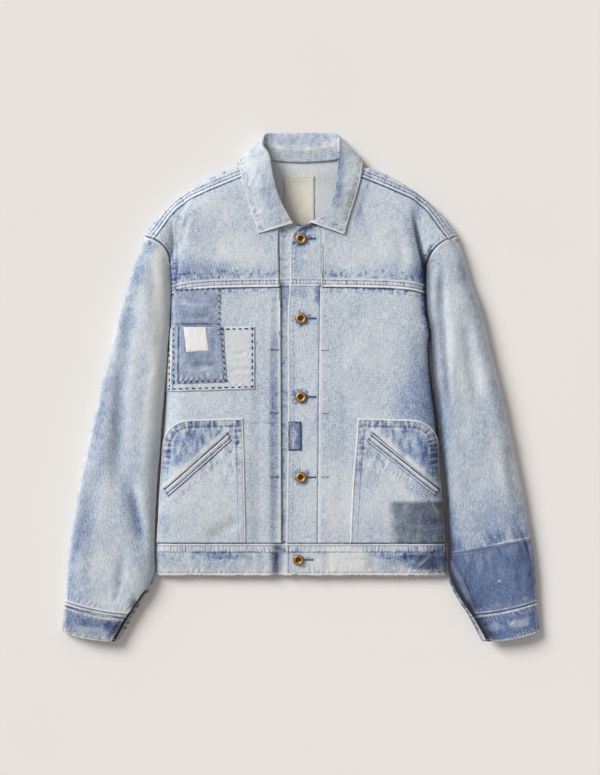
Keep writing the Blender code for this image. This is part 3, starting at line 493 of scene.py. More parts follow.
def columns(length: float, step: float, fine: float, reach: float,
            ends: tuple[bool, bool] = (True, True)) -> Array:
    """Shares of a length for a grid that is finer near its folded ends.

    Args:
        length: the length, in millimetres.
        step: the spacing away from the ends.
        fine: the spacing at an end, as a share of `step`.
        reach: how far from the end the spacing has grown to `step`.
        ends: whether the start and the end are folded edges.

    Returns:
        The shares, from 0 to 1.
    """
    s = np.linspace(0, length, 2000)
    start = np.clip(s / reach, 0, 1) if ends[0] else 1
    end = np.clip((length - s) / reach, 0, 1) if ends[1] else 1
    density = 1 / (step * (fine + (1 - fine) * start * end))
    count = np.concatenate([[0], np.cumsum((density[1:] + density[:-1]) / 2 * np.diff(s))])
    return np.interp(np.linspace(0, count[-1], int(count[-1]) + 2), count, s) / length


# ---------------------------------------------------------------- wear, creases and colour


def ripple(u: Array, v: Array, seed: int) -> Array:
    """Smooth noise from -1 to 1 over cells of one unit."""
    table = np.random.default_rng(seed).uniform(-1, 1, (256, 256))
    i, j = np.floor(u).astype(int), np.floor(v).astype(int)
    fu, fv = u - i, v - j
    fu, fv = fu * fu * (3 - 2 * fu), fv * fv * (3 - 2 * fv)
    low = table[i & 255, j & 255] * (1 - fu) + table[(i + 1) & 255, j & 255] * fu
    high = table[i & 255, (j + 1) & 255] * (1 - fu) + table[(i + 1) & 255, (j + 1) & 255] * fu
    return low * (1 - fv) + high * fv


@dataclass
class Dose:
    """How much a mark changes the cloth where it is strongest."""

    relief: float = 0.0
    indigo: float = 0.0
    # This layer lightens the cloth: real wear in most marks, and painted light along the inner edge
    # of the wearer's right sleeve and the body's right side.
    worn: float = 0.0
    # This layer darkens the cloth: real soiling, the ghost patch and the buttons' dark hollows in
    # some marks, and painted shade in creases, valleys, gaps, slits, under the collar and beside
    # raised edges in others.
    soil: float = 0.0


LAYERS = ("relief", "indigo", "worn", "soil")


@dataclass
class Wash:
    """Relief and colour of one grid of cloth, built up mark by mark."""

    xy: Array
    seed: int = 1
    relief: Array = field(init=False)
    indigo: Array = field(init=False)
    worn: Array = field(init=False)
    soil: Array = field(init=False)

    def __post_init__(self) -> None:
        """Starts as plain cloth."""
        for layer in LAYERS:
            setattr(self, layer, np.zeros(self.xy.shape[:-1]))

    def add(self, mask: Array, dose: Dose) -> None:
        """Adds a dose where the mask is, in proportion to it."""
        for layer in LAYERS:
            amount = getattr(dose, layer)
            if amount:
                setattr(self, layer, getattr(self, layer) + amount * mask)

    def patchy(self, s: Array, d: Array, cell: float, share: float) -> Array:
        """A factor round 1 that varies along a seam."""
        self.seed += 1
        return 1 + share * ripple(s / cell, d / cell, self.seed)

    def measured(self, path: Array, reach: float, side: int) -> tuple[Array, Array]:
        """How far to a seam's left the points are, mirrored where side is -1, and how far along."""
        d, s = near(path, self.xy, reach)
        return d * side, s

    def line(self, path: Array, dose: Dose, at: float = 0.0, width: float = 1.0,
             patches: float = 0.35, side: int = 1, wander: float = 0.0) -> None:
        """A soft-edged line that follows a seam.

        Args:
            path: the seam, in plan.
            dose: what it does where it is strongest.
            at: how far to the seam's left it runs.
            width: its half width.
            patches: how unevenly it shows along the seam.
            side: -1 mirrors it for the other half of the jacket.
            wander: how far it strays to and fro.
        """
        d, s = self.measured(path, abs(at) + 5 * width + 6, side)
        d = d - at
        self.seed += 1
        if wander:
            d = d + wander * ripple(s / 9, s * 0, self.seed)
        self.add(np.exp(-(d / width) ** 2) * self.patchy(s, d * 0, 7, patches), dose)

    def band(self, path: Array, dose: Dose, start: float, end: float, soft: float = 2.0,
             patches: float = 0.5, cell: float = 9.0, side: int = 1) -> None:
        """An even strip beside a seam, between two distances from it."""
        d, s = self.measured(path, max(abs(start), abs(end)) + 2 * soft + 4, side)
        mask = ease(d, start - soft / 2, start + soft / 2)
        mask = mask * (1 - ease(d, end - soft / 2, end + soft / 2))
        self.add(mask * self.patchy(s, d, cell, patches), dose)

    def rope(self, path: Array, start: float, end: float, pitch: float, relief: float,
             blue: float, pale: float, lean: float = 0.35, side: int = 1) -> None:
        """Puckers across a sewn edge: pale ridges with blue hollows between them.

        Args:
            path: the seam, in plan.
            start: where the puckers begin, from the seam.
            end: where they end.
            pitch: from one ridge to the next.
            relief: their height.
            blue: how much indigo the hollows keep.
            pale: how worn the ridges are.
            lean: how far each leans along the seam as it leaves it.
            side: -1 mirrors them for the other half of the jacket.
        """
        d, s = self.measured(path, max(abs(start), abs(end)) + 8, side)
        mask = ease(d, start - 1, start + 1) * (1 - ease(d, end - 2.5, end + 1.5))
        self.seed += 3
        turn = (s + lean * d) / pitch + 0.8 * ripple(s / (1.7 * pitch), d / 11, self.seed)
        hollow = (0.5 - 0.5 * np.cos(2 * math.pi * turn)) ** 2.6
        uneven = 0.62 + 0.95 * ripple(s / (1.3 * pitch), d / 6, self.seed + 1)
        strength = mask * np.clip(uneven, 0, 1.5)
        self.add(strength * (0.4 - hollow), Dose(relief=1.7 * relief))
        self.add(strength * hollow, Dose(indigo=blue))
        self.add(strength * (1 - hollow) ** 2, Dose(worn=0.75 * pale))

    def rearranged(self, change: Callable[[Array], Array]) -> "Wash":
        """The same marks with their rows and columns changed alike."""
        other = Wash(change(self.xy))
        for layer in LAYERS:
            setattr(other, layer, change(getattr(self, layer)))
        return other

    def blend(self, other: "Wash", share: Array) -> None:
        """Adds another grid's marks, each point's by its own share."""
        for layer in LAYERS:
            setattr(self, layer, getattr(self, layer) + getattr(other, layer) * share)

    def cells(self, path: Array, dose: Dose, start: float, end: float, pitch: float,
              side: int = 1) -> None:
        """Thin marks straight across a band, like the shadows between puckers.

        Args:
            path: the seam, in plan.
            dose: what they do.
            start: where they begin, from the seam.
            end: where they end.
            pitch: from one to the next.
            side: -1 mirrors them for the other half of the jacket.
        """
        d, s = self.measured(path, max(abs(start), abs(end)) + 4, side)
        mask = ease(d, start - 0.7, start + 0.7) * (1 - ease(d, end - 0.7, end + 0.7))
        self.seed += 2
        turn = s / pitch + 0.45 * ripple(s / (1.5 * pitch), d / 30, self.seed)
        strength = np.clip(0.75 + 0.6 * ripple(s / (1.2 * pitch), d / 30, self.seed + 1), 0.15, 1.3)
        self.add(mask * strength * (0.5 + 0.5 * np.cos(2 * math.pi * turn)) ** 5, dose)

    def blotches(self, path: Array, dose: Dose, start: float, end: float, cell: float,
                 cover: float, side: int = 1) -> None:
        """Irregular spots of colour in a strip beside a seam.

        Args:
            path: the seam, in plan.
            dose: what they do.
            start: where the strip begins, from the seam.
            end: where it ends.
            cell: their size.
            cover: what share of the strip they take.
            side: -1 mirrors them for the other half of the jacket.
        """
        d, s = self.measured(path, max(abs(start), abs(end)) + 8, side)
        mask = ease(d, start - 1.5, start + 1.5) * (1 - ease(d, end - 3, end + 3))
        self.seed += 2
        noise = (ripple(s / cell, d / (1.5 * cell), self.seed)
                 + 0.6 * ripple(s / (0.45 * cell), d / (0.6 * cell), self.seed + 1))
        self.add(mask * ease(noise, 0.55 - 1.5 * cover, 1.25 - 1.5 * cover), dose)

    def spikes(self, path: Array, reach: float, dose: Dose, pitch: float, start: float,
               side: int = 1, sparse: float = 0.3) -> None:
        """Ragged fingers of colour that run off a seam, down the cloth's own threads.

        Args:
            path: the seam, in plan.
            reach: how far the longest ones run.
            dose: what they do.
            pitch: their spacing along the seam.
            start: where they begin.
            side: -1 sends them to the seam's right.
            sparse: what share of them is left out.
        """
        d, s = self.measured(path, reach + abs(start) + 4, side)
        d = d - start
        self.seed += 2
        tall = 0.5 + 0.5 * ripple(s / pitch, s * 0 + 0.5, self.seed)
        tall = tall * (0.65 + 0.35 * ripple(s / (5 * pitch), s * 0 + 3.5, self.seed + 1))
        tall = reach * np.clip((tall - sparse) / (1 - sparse), 0, 1)
        self.add(ease(d, -0.8, 0.6) * (1 - ease(d - tall, -0.35 * reach, 0.5)) * (tall > 0), dose)

    def crease(self, points: Sequence, dose: Dose, width: float, lip: float = 0.0) -> None:
        """A crease that fades at both ends.

        Args:
            points: the places it runs through.
            dose: what it does along its bottom.
            width: its half width.
            lip: the height of the ridge beside it.
        """
        path = smooth(points)
        d, s = near(path, self.xy, 5 * width + 4)
        total = np.linalg.norm(np.diff(path, axis=0), axis=1).sum()
        ends = ease(s, 0, 0.25 * total) * (1 - ease(s, 0.75 * total, total))
        mask = np.exp(-(d / width) ** 2) * ends
        self.add(mask * self.patchy(s, d, 3 * width, 0.3), dose)
        if lip:
            ridge = np.exp(-((np.abs(d) - 1.9 * width) / width) ** 2) * ends
            self.add(ridge, Dose(relief=lip, worn=0.25 * lip))

    def cloud(self, x: float, y: float, wide: float, tall: float, dose: Dose,
              turn: float = 0.0, rough: float = 0.4) -> None:
        """A soft-edged area, `wide` by `tall` from its middle, turned by `turn` degrees."""
        rel = self.xy - np.array([x, y])
        c, s = math.cos(math.radians(turn)), math.sin(math.radians(turn))
        u, v = rel @ np.array([c, s]), rel @ np.array([-s, c])
        away = np.sqrt((u / wide) ** 2 + (v / tall) ** 2)
        self.seed += 1
        away = away + rough * 0.5 * ripple(u / (0.3 * wide + 3), v / (0.3 * tall + 3), self.seed)
        self.add(1 - ease(away, 0.45, 1.15), dose)

    def weather(self, amount: float = 1.0) -> None:
        """The soft unevenness that washing leaves all over: wide waves and small dimples."""
        x, y = self.xy[..., 0], self.xy[..., 1]
        wide = ripple(x / 46 + 3.3, y / 58 + 1.7, 901) + 0.6 * ripple(x / 21, y / 30 + 9, 902)
        small = ripple(x / 8 + 5, y / 11, 903) + 0.7 * ripple(x / 4.2, y / 5.6 + 2, 904)
        self.relief += amount * (0.55 * wide + 0.12 * small)
        self.indigo += 0.05 * wide + 0.03 * small


# ---------------------------------------------------------------- sewing the pieces


def normals_of(grid: Array) -> Array:
    """Outward unit normals of a grid of points."""
    across = np.gradient(grid, axis=1)
    down = np.gradient(grid, axis=0)
    normal = np.cross(across, down)
    return normal / np.maximum(np.linalg.norm(normal, axis=-1, keepdims=True), 1e-9)


def softened(z: Array, times: int) -> Array:
    """Heights with their sharp ridges rubbed down, apart from the grid's own border."""
    for _ in range(times):
        inner = (z[:-2, 1:-1] + z[2:, 1:-1] + z[1:-1, :-2] + z[1:-1, 2:]) / 4
        z = z.copy()
        z[1:-1, 1:-1] += 0.6 * (inner - z[1:-1, 1:-1])
    return z


@dataclass
class Web:
    """One grid of a piece's outer points, with its colour layers."""

    points: Array
    wash: Wash | None = None
    straight: bool = False

    def drawn_map(self) -> Array:
        """The flat map that the finishes follow: the plan itself where the grain runs straight."""
        return self.points[..., :2] * MM if self.straight else self.weave_map()

    def weave_map(self) -> Array:
        """Where each point is on the flat cloth, in metres: across its threads and along them."""
        p = self.points
        u = np.concatenate([np.zeros((len(p), 1)),
                            np.cumsum(np.linalg.norm(np.diff(p, axis=1), axis=-1), 1)], 1)
        v = np.concatenate([np.zeros((1, p.shape[1])),
                            np.cumsum(np.linalg.norm(np.diff(p, axis=0), axis=-1), 0)], 0)
        u = u - u[:, p.shape[1] // 2][:, None]
        return np.stack([u, v], -1) * MM

    def area(self) -> float:
        """Its outer area, in square metres."""
        p = self.points * MM
        a, b = p[1:, 1:] - p[:-1, :-1], p[1:, :-1] - p[:-1, 1:]
        return float(np.linalg.norm(np.cross(a, b), axis=-1).sum() / 2)

    def cut(self) -> tuple[float, float]:
        """The width and length of the flat cloth that it takes, in metres."""
        flat = self.weave_map()
        return float(np.ptp(flat[..., 0], axis=1).max()), float(np.ptp(flat[..., 1], axis=0).max())


def drawn_mesh(name: str, webs: Sequence[Web]) -> bpy.types.Mesh:
    """One welded mesh from several grids, with a flat map and its colour layers.

    Args:
        name: the mesh's name.
        webs: the grids of outer points, in millimetres.

    Returns:
        The mesh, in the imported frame.
    """
    points, faces, maps, layers, start = [], [], [], {k: [] for k in LAYERS[1:]}, 0
    for web in webs:
        rows, count = web.points.shape[:2]
        index = start + np.arange(rows * count).reshape(rows, count)
        faces.append(np.stack([index[:-1, :-1], index[:-1, 1:], index[1:, 1:], index[1:, :-1]], -1)
                     .reshape(-1, 4))
        points.append(web.points.reshape(-1, 3))
        maps.append(web.drawn_map().reshape(-1, 2))
        for layer, values in layers.items():
            full = np.zeros((rows, count)) if web.wash is None else getattr(web.wash, layer)
            values.append(full.reshape(-1))
        start += rows * count
    flat_points, quads, flat_map = np.vstack(points), np.vstack(faces), np.vstack(maps)
    _, first, back = np.unique(np.round(flat_points, 4), axis=0, return_index=True,
                               return_inverse=True)
    welded = back.reshape(-1)[quads]
    nexts = np.roll(welded, -1, axis=1)
    corners = (welded != nexts).sum(1)
    mesh = bpy.data.meshes.new(name)
    keep = corners >= 3
    loops = [row[row != after] for row, after in zip(welded[keep], nexts[keep])]
    used = [old[row != after] for old, row, after in zip(quads[keep], welded[keep], nexts[keep])]
    mesh.from_pydata(to_world(flat_points[first]).tolist(), [], [row.tolist() for row in loops])
    flat_layer = mesh.uv_layers.new(name="weave")
    flat_layer.data.foreach_set("uv", flat_map[np.concatenate(used)].astype(np.float32).ravel())
    for layer, values in layers.items():
        attribute = mesh.attributes.new(layer, "FLOAT", "POINT")
        attribute.data.foreach_set("value", np.concatenate(values)[first].astype(np.float32))
    mesh.shade_smooth()
    return mesh


class Slot(Enum):
    """The record's material slots."""

    FADED = "faded_denim"
    MID = "mid_denim"
    DARK = "dark_denim"
    PATCH = "patch_cloth"
    LABEL = "label_cloth"
    BRASS = "aged_brass"


def placed(name: str, data: bpy.types.ID) -> bpy.types.Object:
    """A new object in the scene, at the origin."""
    made = bpy.data.objects.new(name, data)
    bpy.context.scene.collection.objects.link(made)
    return made


@dataclass
class Shop:
    """Where pieces are finished: it keeps each cloth piece's surface, for letting lines down onto
    the cloth.
    """

    tops: dict = field(default_factory=dict)

    def hang(self, piece: bpy.types.Object, slot: Slot, *nodes: str) -> None:
        """Puts a finished piece on the jacket in place of its CAD nodes."""
        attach(piece, "root")
        if nodes:
            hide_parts(*nodes)
        log.info("%s: %d faces", piece.name, len(piece.data.polygons))

    def sew(self, name: str, webs: Sequence[Web], wall: float, outer: bpy.types.Material,
            inner: bpy.types.Material, slot: Slot, *rests_on: str) -> None:
        """Makes one piece of cloth, with its wall and rims.

        Args:
            name: the CAD node that it stands for.
            webs: its outer points.
            wall: how thick it is, in millimetres.
            outer: the finish of its face.
            inner: the finish of its reverse.
            slot: the record's material slot; not used.
            rests_on: the pieces that it lies on, where that isn't the floor; not used.
        """
        mesh = drawn_mesh(name, webs)
        mesh.materials.append(outer)
        mesh.materials.append(inner)
        piece = placed(name + "_cloth", mesh)
        shell = piece.modifiers.new("Wall", "SOLIDIFY")
        shell.thickness = wall * MM
        shell.offset = -1
        shell.material_offset = 1
        shell.use_quality_normals = False
        self.hang(piece, slot, name)
        sizes = [web.cut() for web in webs]
        width, length = max(s[0] for s in sizes), sum(s[1] for s in sizes)
        area = min(sum(web.area() for web in webs), 0.999 * width * length)
        [below + "_cloth" for below in rests_on] or ["floor"]
        log.info("%s: cut %.0f x %.0f mm, %.4f m2", name, width / MM, length / MM, area)
        self.tops[name] = BVHTree.FromPolygons([v.co for v in mesh.vertices],
                                               [list(p.vertices) for p in mesh.polygons])

    def drop(self, line: Array, lift: float, only: str = "") -> Array:
        """Lets a line of plan points down onto the topmost cloth.

        Args:
            line: the points, in plan, in millimetres.
            lift: how far above the cloth they end up.
            only: a piece that must be the topmost one there.

        Returns:
            The points that met cloth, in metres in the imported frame.
        """
        landed = []
        for x, y, _ in to_world(with_z(np.asarray(line, float)[:, :2], np.zeros(len(line)))):
            met = {}
            for name, tree in self.tops.items():
                hit = tree.ray_cast(Vector((x, y, DROP_FROM * MM)), Vector((0, 0, -1)))[0]
                if hit is not None:
                    met[name] = hit.z
            if met and only in ("", max(met, key=met.get)):
                landed.append((x, y, max(met.values()) + lift * MM))
        return np.array(landed)


# ---------------------------------------------------------------- finishes


def linear(red: float, green: float, blue: float) -> tuple[float, float, float, float]:
    """A display colour, from 0 to 255, as the renderer's linear one."""
    values = [v / 255 for v in (red, green, blue)]
    return (*(v / 12.92 if v <= 0.04045 else ((v + 0.055) / 1.055) ** 2.4 for v in values), 1.0)


class Socket:
    """An output of a node; arithmetic on it adds Math nodes to its tree."""

    def __init__(self, made: "Nodes", socket: bpy.types.NodeSocket) -> None:
        """Args: made, the tree's builder; socket, the output."""
        self.made = made
        self.socket = socket

    def math(self, operation: str, *values: object) -> "Socket":
        """This value and others through one Math node."""
        node = self.made.node("ShaderNodeMath", {"operation": operation},
                              **{str(i): v for i, v in enumerate(values)})
        return Socket(self.made, node.outputs[0])

    def __add__(self, other: object) -> "Socket":
        """self + other"""
        return self.math("ADD", self, other)

    __radd__ = __add__

    def __mul__(self, other: object) -> "Socket":
        """self * other"""
        return self.math("MULTIPLY", self, other)

    __rmul__ = __mul__

    def __sub__(self, other: object) -> "Socket":
        """self - other"""
        return self.math("SUBTRACT", self, other)

    def __rsub__(self, other: object) -> "Socket":
        """other - self"""
        return self.math("SUBTRACT", other, self)

    def step(self, low: float, high: float) -> "Socket":
        """0 below `low`, 1 above `high` and a soft step between them."""
        node = self.made.node("ShaderNodeMapRange", {"interpolation_type": "SMOOTHSTEP"},
                              Value=self, **{"From Min": low, "From Max": high})
        return Socket(self.made, node.outputs[0])

    def clamped(self) -> "Socket":
        """This value kept between 0 and 1."""
        return self.step_linear(0.0, 1.0)

    def step_linear(self, low: float, high: float) -> "Socket":
        """0 below `low`, 1 above `high` and a straight ramp between them."""
        node = self.made.node("ShaderNodeMapRange", {"clamp": True}, Value=self,
                              **{"From Min": low, "From Max": high})
        return Socket(self.made, node.outputs[0])


class Nodes:
    """Builds the nodes of one tree, of a material or of a modifier."""

    def __init__(self, tree: bpy.types.NodeTree) -> None:
        """Args: tree, the tree, which is emptied."""
        self.tree = tree
        tree.nodes.clear()

    def node(self, kind: str, settings: dict | None = None, **values: object) -> bpy.types.Node:
        """Adds a node.

        Args:
            kind: its type.
            settings: its properties, set before its sockets.
            values: a value or a link for each socket, by its name or its number.

        Returns:
            The node.
        """
        made = self.tree.nodes.new(kind)
        for key, value in (settings or {}).items():
            if key == "stops":
                self.stops(made.color_ramp, value)
            else:
                setattr(made, key, value)
        for key, value in values.items():
            socket = made.inputs[int(key)] if key.isdigit() else made.inputs[key]
            if isinstance(value, Socket):
                value = value.socket
            if isinstance(value, bpy.types.NodeSocket):
                self.tree.links.new(value, socket)
            else:
                socket.default_value = value
        return made

    def stops(self, ramp: bpy.types.ColorRamp, stops: Sequence) -> None:
        """Sets a ramp's places and colours."""
        while len(ramp.elements) < len(stops):
            ramp.elements.new(0.5)
        for element, (place, colour) in zip(ramp.elements, stops):
            element.position = place
            element.color = colour

    def attribute(self, name: str) -> Socket:
        """A colour layer of the piece."""
        made = self.node("ShaderNodeAttribute", {"attribute_name": name})
        return Socket(self, made.outputs["Fac"])

    def noise(self, place: bpy.types.NodeSocket, size: tuple[float, float], detail: float,
              rough: float, shift: float = 0.0) -> Socket:
        """Noise on the flat cloth whose cells are `size` millimetres, across and along it.

        Args:
            place: the flat map.
            size: the cells' sizes.
            detail: how many finer layers it has.
            rough: how strong those are.
            shift: moves it, so that two noises differ.

        Returns:
            The noise, from 0 to 1.
        """
        moved = self.node("ShaderNodeMapping", Vector=place, Location=(shift, shift, 0))
        scaled = self.node("ShaderNodeVectorMath", {"operation": "MULTIPLY"},
                           **{"0": moved.outputs[0], "1": (1000 / size[0], 1000 / size[1], 1)})
        made = self.node("ShaderNodeTexNoise", {"noise_dimensions": "2D"},
                         Vector=scaled.outputs[0], Scale=1.0, Detail=detail, Roughness=rough)
        return Socket(self, made.outputs[0])

    def grain(self, scale: float, detail: float) -> Socket:
        """Noise in the piece's own space, from 0 to 1."""
        place = self.node("ShaderNodeTexCoord").outputs["Object"]
        made = self.node("ShaderNodeTexNoise", Vector=place, Scale=scale, Detail=detail)
        return Socket(self, made.outputs[0])

    def mixed(self, share: Socket, first: object, second: object) -> bpy.types.NodeSocket:
        """A colour between two others."""
        made = self.node("ShaderNodeMix", {"data_type": "RGBA"},
                         **{"0": share, "6": first, "7": second})
        return made.outputs[2]

    def bumps(self, height: Socket, strength: float, depth: float) -> bpy.types.NodeSocket:
        """Small bumps up to `depth` metres high, as a surface's normal."""
        made = self.node("ShaderNodeBump", Height=height, Strength=strength, Distance=depth)
        return made.outputs[0]

    def surface(self, colour: object, rough: object, gloss: float = 0.5,
                **values: object) -> None:
        """Closes a material's tree.

        Args:
            colour: the surface's colour.
            rough: its roughness.
            gloss: how strongly it reflects.
            values: other values of the surface, with spaces as underscores.
        """
        others = {key.replace("_", " "): value for key, value in values.items()}
        made = self.node("ShaderNodeBsdfPrincipled", Roughness=rough,
                         **{"Base Color": colour, "Specular IOR Level": gloss}, **others)
        self.node("ShaderNodeOutputMaterial", Surface=made.outputs[0])


def fresh_material(name: str) -> tuple[bpy.types.Material, Nodes]:
    """A new material with an empty tree."""
    material = bpy.data.materials.new(name)
    material.use_nodes = True
    return material, Nodes(material.node_tree)


@dataclass(frozen=True)
class Denim:
    """Washed indigo denim: pale where it is rubbed bare and blue in its hollows, with painted shade
    and painted light mixed into its colour where the marks give them.
    """

    name: str
    tones: tuple
    tone: float = 0.3
    streaks: float = 0.62
    weft: float = 0.4
    mottle: float = 0.22
    clouds: float = 0.26
    specks: float = 0.7
    worn_tone: tuple = (226, 225, 219)
    slubs: float = 0.3
    bump: float = 0.5
    shift: float = 0.0
    dirt_tone: tuple = (34, 36, 46)

    def build(self) -> bpy.types.Material:
        """Makes the material."""
        material, made = fresh_material(self.name)
        flat = made.node("ShaderNodeUVMap", {"uv_map": "weave"}).outputs[0]
        streak = made.noise(flat, (1.6, 10), 3, 0.6, self.shift)
        weft = made.noise(flat, (8, 1.6), 2, 0.6, self.shift + 6.2)
        slub = made.noise(flat, (2.6, 30), 2, 0.5, self.shift + 1.3)
        mottle = made.noise(flat, (6.0, 8.0), 4, 0.7, self.shift + 2.1)
        speck = made.noise(flat, (2.0, 2.5), 2, 0.7, self.shift + 3.7)
        cloud = made.noise(flat, (70, 95), 2, 0.55, self.shift + 4.9)
        indigo, worn, soil = (made.attribute(name) for name in LAYERS[1:])
        tone = (self.tone + indigo + self.streaks * (streak - 0.5) + self.mottle * (mottle - 0.5)
                + self.clouds * (cloud - 0.5) + self.specks * (speck - 0.5)
                + self.weft * (weft - 0.5))
        count = len(self.tones) - 1
        stops = [(i / count, linear(*colour)) for i, colour in enumerate(self.tones)]
        dyed = made.node("ShaderNodeValToRGB", {"stops": stops}, Fac=tone.clamped()).outputs[0]
        # Paler towards the bare tone: real wear and slubs, and painted light where the marks put
        # it.
        bare = (worn * (0.3 + 1.2 * mottle) + 0.9 * worn * (speck - 0.5)
                + self.slubs * (slub - 0.58).step_linear(0.0, 0.3) * mottle)
        faded = made.mixed(bare.clamped(), dyed, linear(*self.worn_tone))
        # Darker towards a near-black tone: real soiling, and painted shade where the marks put it.
        dirt_and_shade = made.mixed((soil * (0.7 + 0.6 * mottle)).clamped(), faded,
                          linear(*self.dirt_tone))
        height = 0.5 * mottle + 0.35 * streak + 0.3 * speck + 0.25 * weft
        made.surface(dirt_and_shade, 0.98 - 0.12 * mottle, 0.15, Sheen_Weight=0.12, Sheen_Roughness=0.6,
                     Normal=made.bumps(height, self.bump, 0.0012))
        return material


@dataclass(frozen=True)
class Tape:
    """A plain woven label or tape."""

    name: str
    colour: tuple
    shade: tuple
    rib: float = 1.6

    def build(self) -> bpy.types.Material:
        """Makes the material."""
        material, made = fresh_material(self.name)
        flat = made.node("ShaderNodeUVMap", {"uv_map": "weave"}).outputs[0]
        ribs = made.noise(flat, (14, self.rib), 2, 0.5)
        mottle = made.noise(flat, (6, 6), 3, 0.6)
        wear, soil = made.attribute("worn"), made.attribute("soil")
        share = (0.9 * (mottle - 0.35) + 0.5 * (ribs - 0.5) + soil - 0.3 * wear).clamped()
        colour = made.mixed(share, linear(*self.colour), linear(*self.shade))
        made.surface(colour, 0.8 + 0.15 * mottle, 0.25,
                     Normal=made.bumps(ribs + mottle, 0.2, 0.0008))
        return material


@dataclass(frozen=True)
class Thread:
    """Sewing thread, a little uneven in colour."""

    name: str
    colour: tuple
    shade: tuple

    def build(self) -> bpy.types.Material:
        """Makes the material."""
        material, made = fresh_material(self.name)
        share = made.grain(220.0, 2.0).step(0.35, 0.65)
        colour = made.mixed(share, linear(*self.colour), linear(*self.shade))
        made.surface(colour, 0.75 + 0.15 * share, 0.2)
        return material


@dataclass(frozen=True)
class AgedBrass:
    """Worn copper-brown brass, dark in its hollow and bright on its crown."""

    name: str = "aged brass buttons"
    dull: tuple = (122, 86, 48)
    warm: tuple = (160, 120, 74)
    rubbed: tuple = (208, 168, 112)
    dark: tuple = (40, 30, 26)

    def build(self) -> bpy.types.Material:
        """Makes the material."""
        material, made = fresh_material(self.name)
        fine, broad = made.grain(900.0, 3.0), made.grain(260.0, 2.0)
        hollow, crown = made.attribute("soil"), made.attribute("worn")
        ground = made.mixed(broad.step(0.35, 0.65), linear(*self.dull), linear(*self.warm))
        bright = made.mixed((crown * (0.4 + 0.6 * fine)).clamped(), ground, linear(*self.rubbed))
        aged = made.mixed((hollow * (0.7 + 0.5 * fine)).clamped(), bright, linear(*self.dark))
        made.surface(aged, 0.34 + 0.3 * fine + 0.2 * hollow, Metallic=0.85,
                     Normal=made.bumps(fine, 0.25, 0.0003))
        return material


@dataclass(frozen=True)
class Floor:
    """A plain pale floor."""

    name: str = "pale floor"
    colour: tuple = (233, 230, 228)

    def build(self) -> bpy.types.Material:
        """Makes the material."""
        material, made = fresh_material(self.name)
        shade = tuple(v - 1 for v in self.colour)
        made.surface(made.mixed(made.grain(3.0, 4.0).step(0.35, 0.65), linear(*self.colour),
                                linear(*shade)), 0.9, 0.1)
        return material


FADED_TONES = ((218, 222, 226), (198, 206, 214), (158, 173, 195), (104, 125, 166), (58, 74, 118))
MID_TONES = ((180, 190, 206), (150, 164, 189), (116, 135, 170), (82, 101, 145), (50, 63, 106))
DARK_TONES = ((140, 154, 182), (108, 125, 160), (82, 100, 140), (58, 74, 114), (38, 47, 82))
GREY_TONES = ((184, 193, 208), (158, 170, 190), (128, 143, 170), (92, 108, 142), (54, 66, 102))
PALE_TONES = ((216, 220, 224), (200, 207, 214), (162, 176, 196), (108, 128, 166), (60, 76, 118))
REVERSE_TONES = (
    (224, 225, 226), (210, 213, 216), (190, 196, 203), (160, 171, 186), (120, 134, 158),
)


def all_finishes() -> "Finishes":
    """Every finish of the jacket."""
    threads = {
        "topstitch": Thread("faded topstitch thread", (122, 116, 134), (168, 164, 172)),
        "tack": Thread("grey bar tack thread", (112, 116, 132), (158, 160, 166)),
        "pale_tack": Thread("pale bar tack thread", (176, 178, 184), (206, 206, 206)),
        "black": Thread("buttonhole thread", (30, 34, 58), (58, 64, 96)),
        "navy": Thread("navy mending thread", (34, 43, 86), (58, 70, 116)),
        "white": Thread("white thread", (232, 230, 224), (206, 206, 204)),
        "blue": Thread("blue thread", (92, 112, 160), (120, 138, 178)),
        "pale": Thread("pale blue thread", (176, 186, 204), (206, 212, 220)),
    }
    return Finishes(
        faded=Denim("faded denim", FADED_TONES).build(),
        mid=Denim("mid blue denim", MID_TONES, worn_tone=(216, 220, 226), shift=6.1).build(),
        dark=Denim("dark sleeve denim", DARK_TONES, 0.36, worn_tone=(188, 198, 214), slubs=0.2,
                   shift=9.3).build(),
        grey_patch=Denim("grey blue patch cotton", GREY_TONES, 0.34, streaks=0.5, mottle=0.45,
                         worn_tone=(206, 212, 222), slubs=0.2, shift=3.2).build(),
        pale_patch=Denim("pale patch cotton", PALE_TONES, 0.2, streaks=0.35, shift=7.7).build(),
        reverse=Denim("denim reverse", REVERSE_TONES, 0.3, streaks=0.4, specks=0.4, slubs=0.2,
                      shift=12.0).build(),
        label=Tape("white label cloth", (238, 236, 238), (214, 214, 220)).build(),
        tape=Tape("cream tape", (228, 224, 212), (206, 202, 190)).build(),
        brass=AgedBrass().build(),
        threads={name: thread.build() for name, thread in threads.items()},
    )


# ---------------------------------------------------------------- stitches and frays


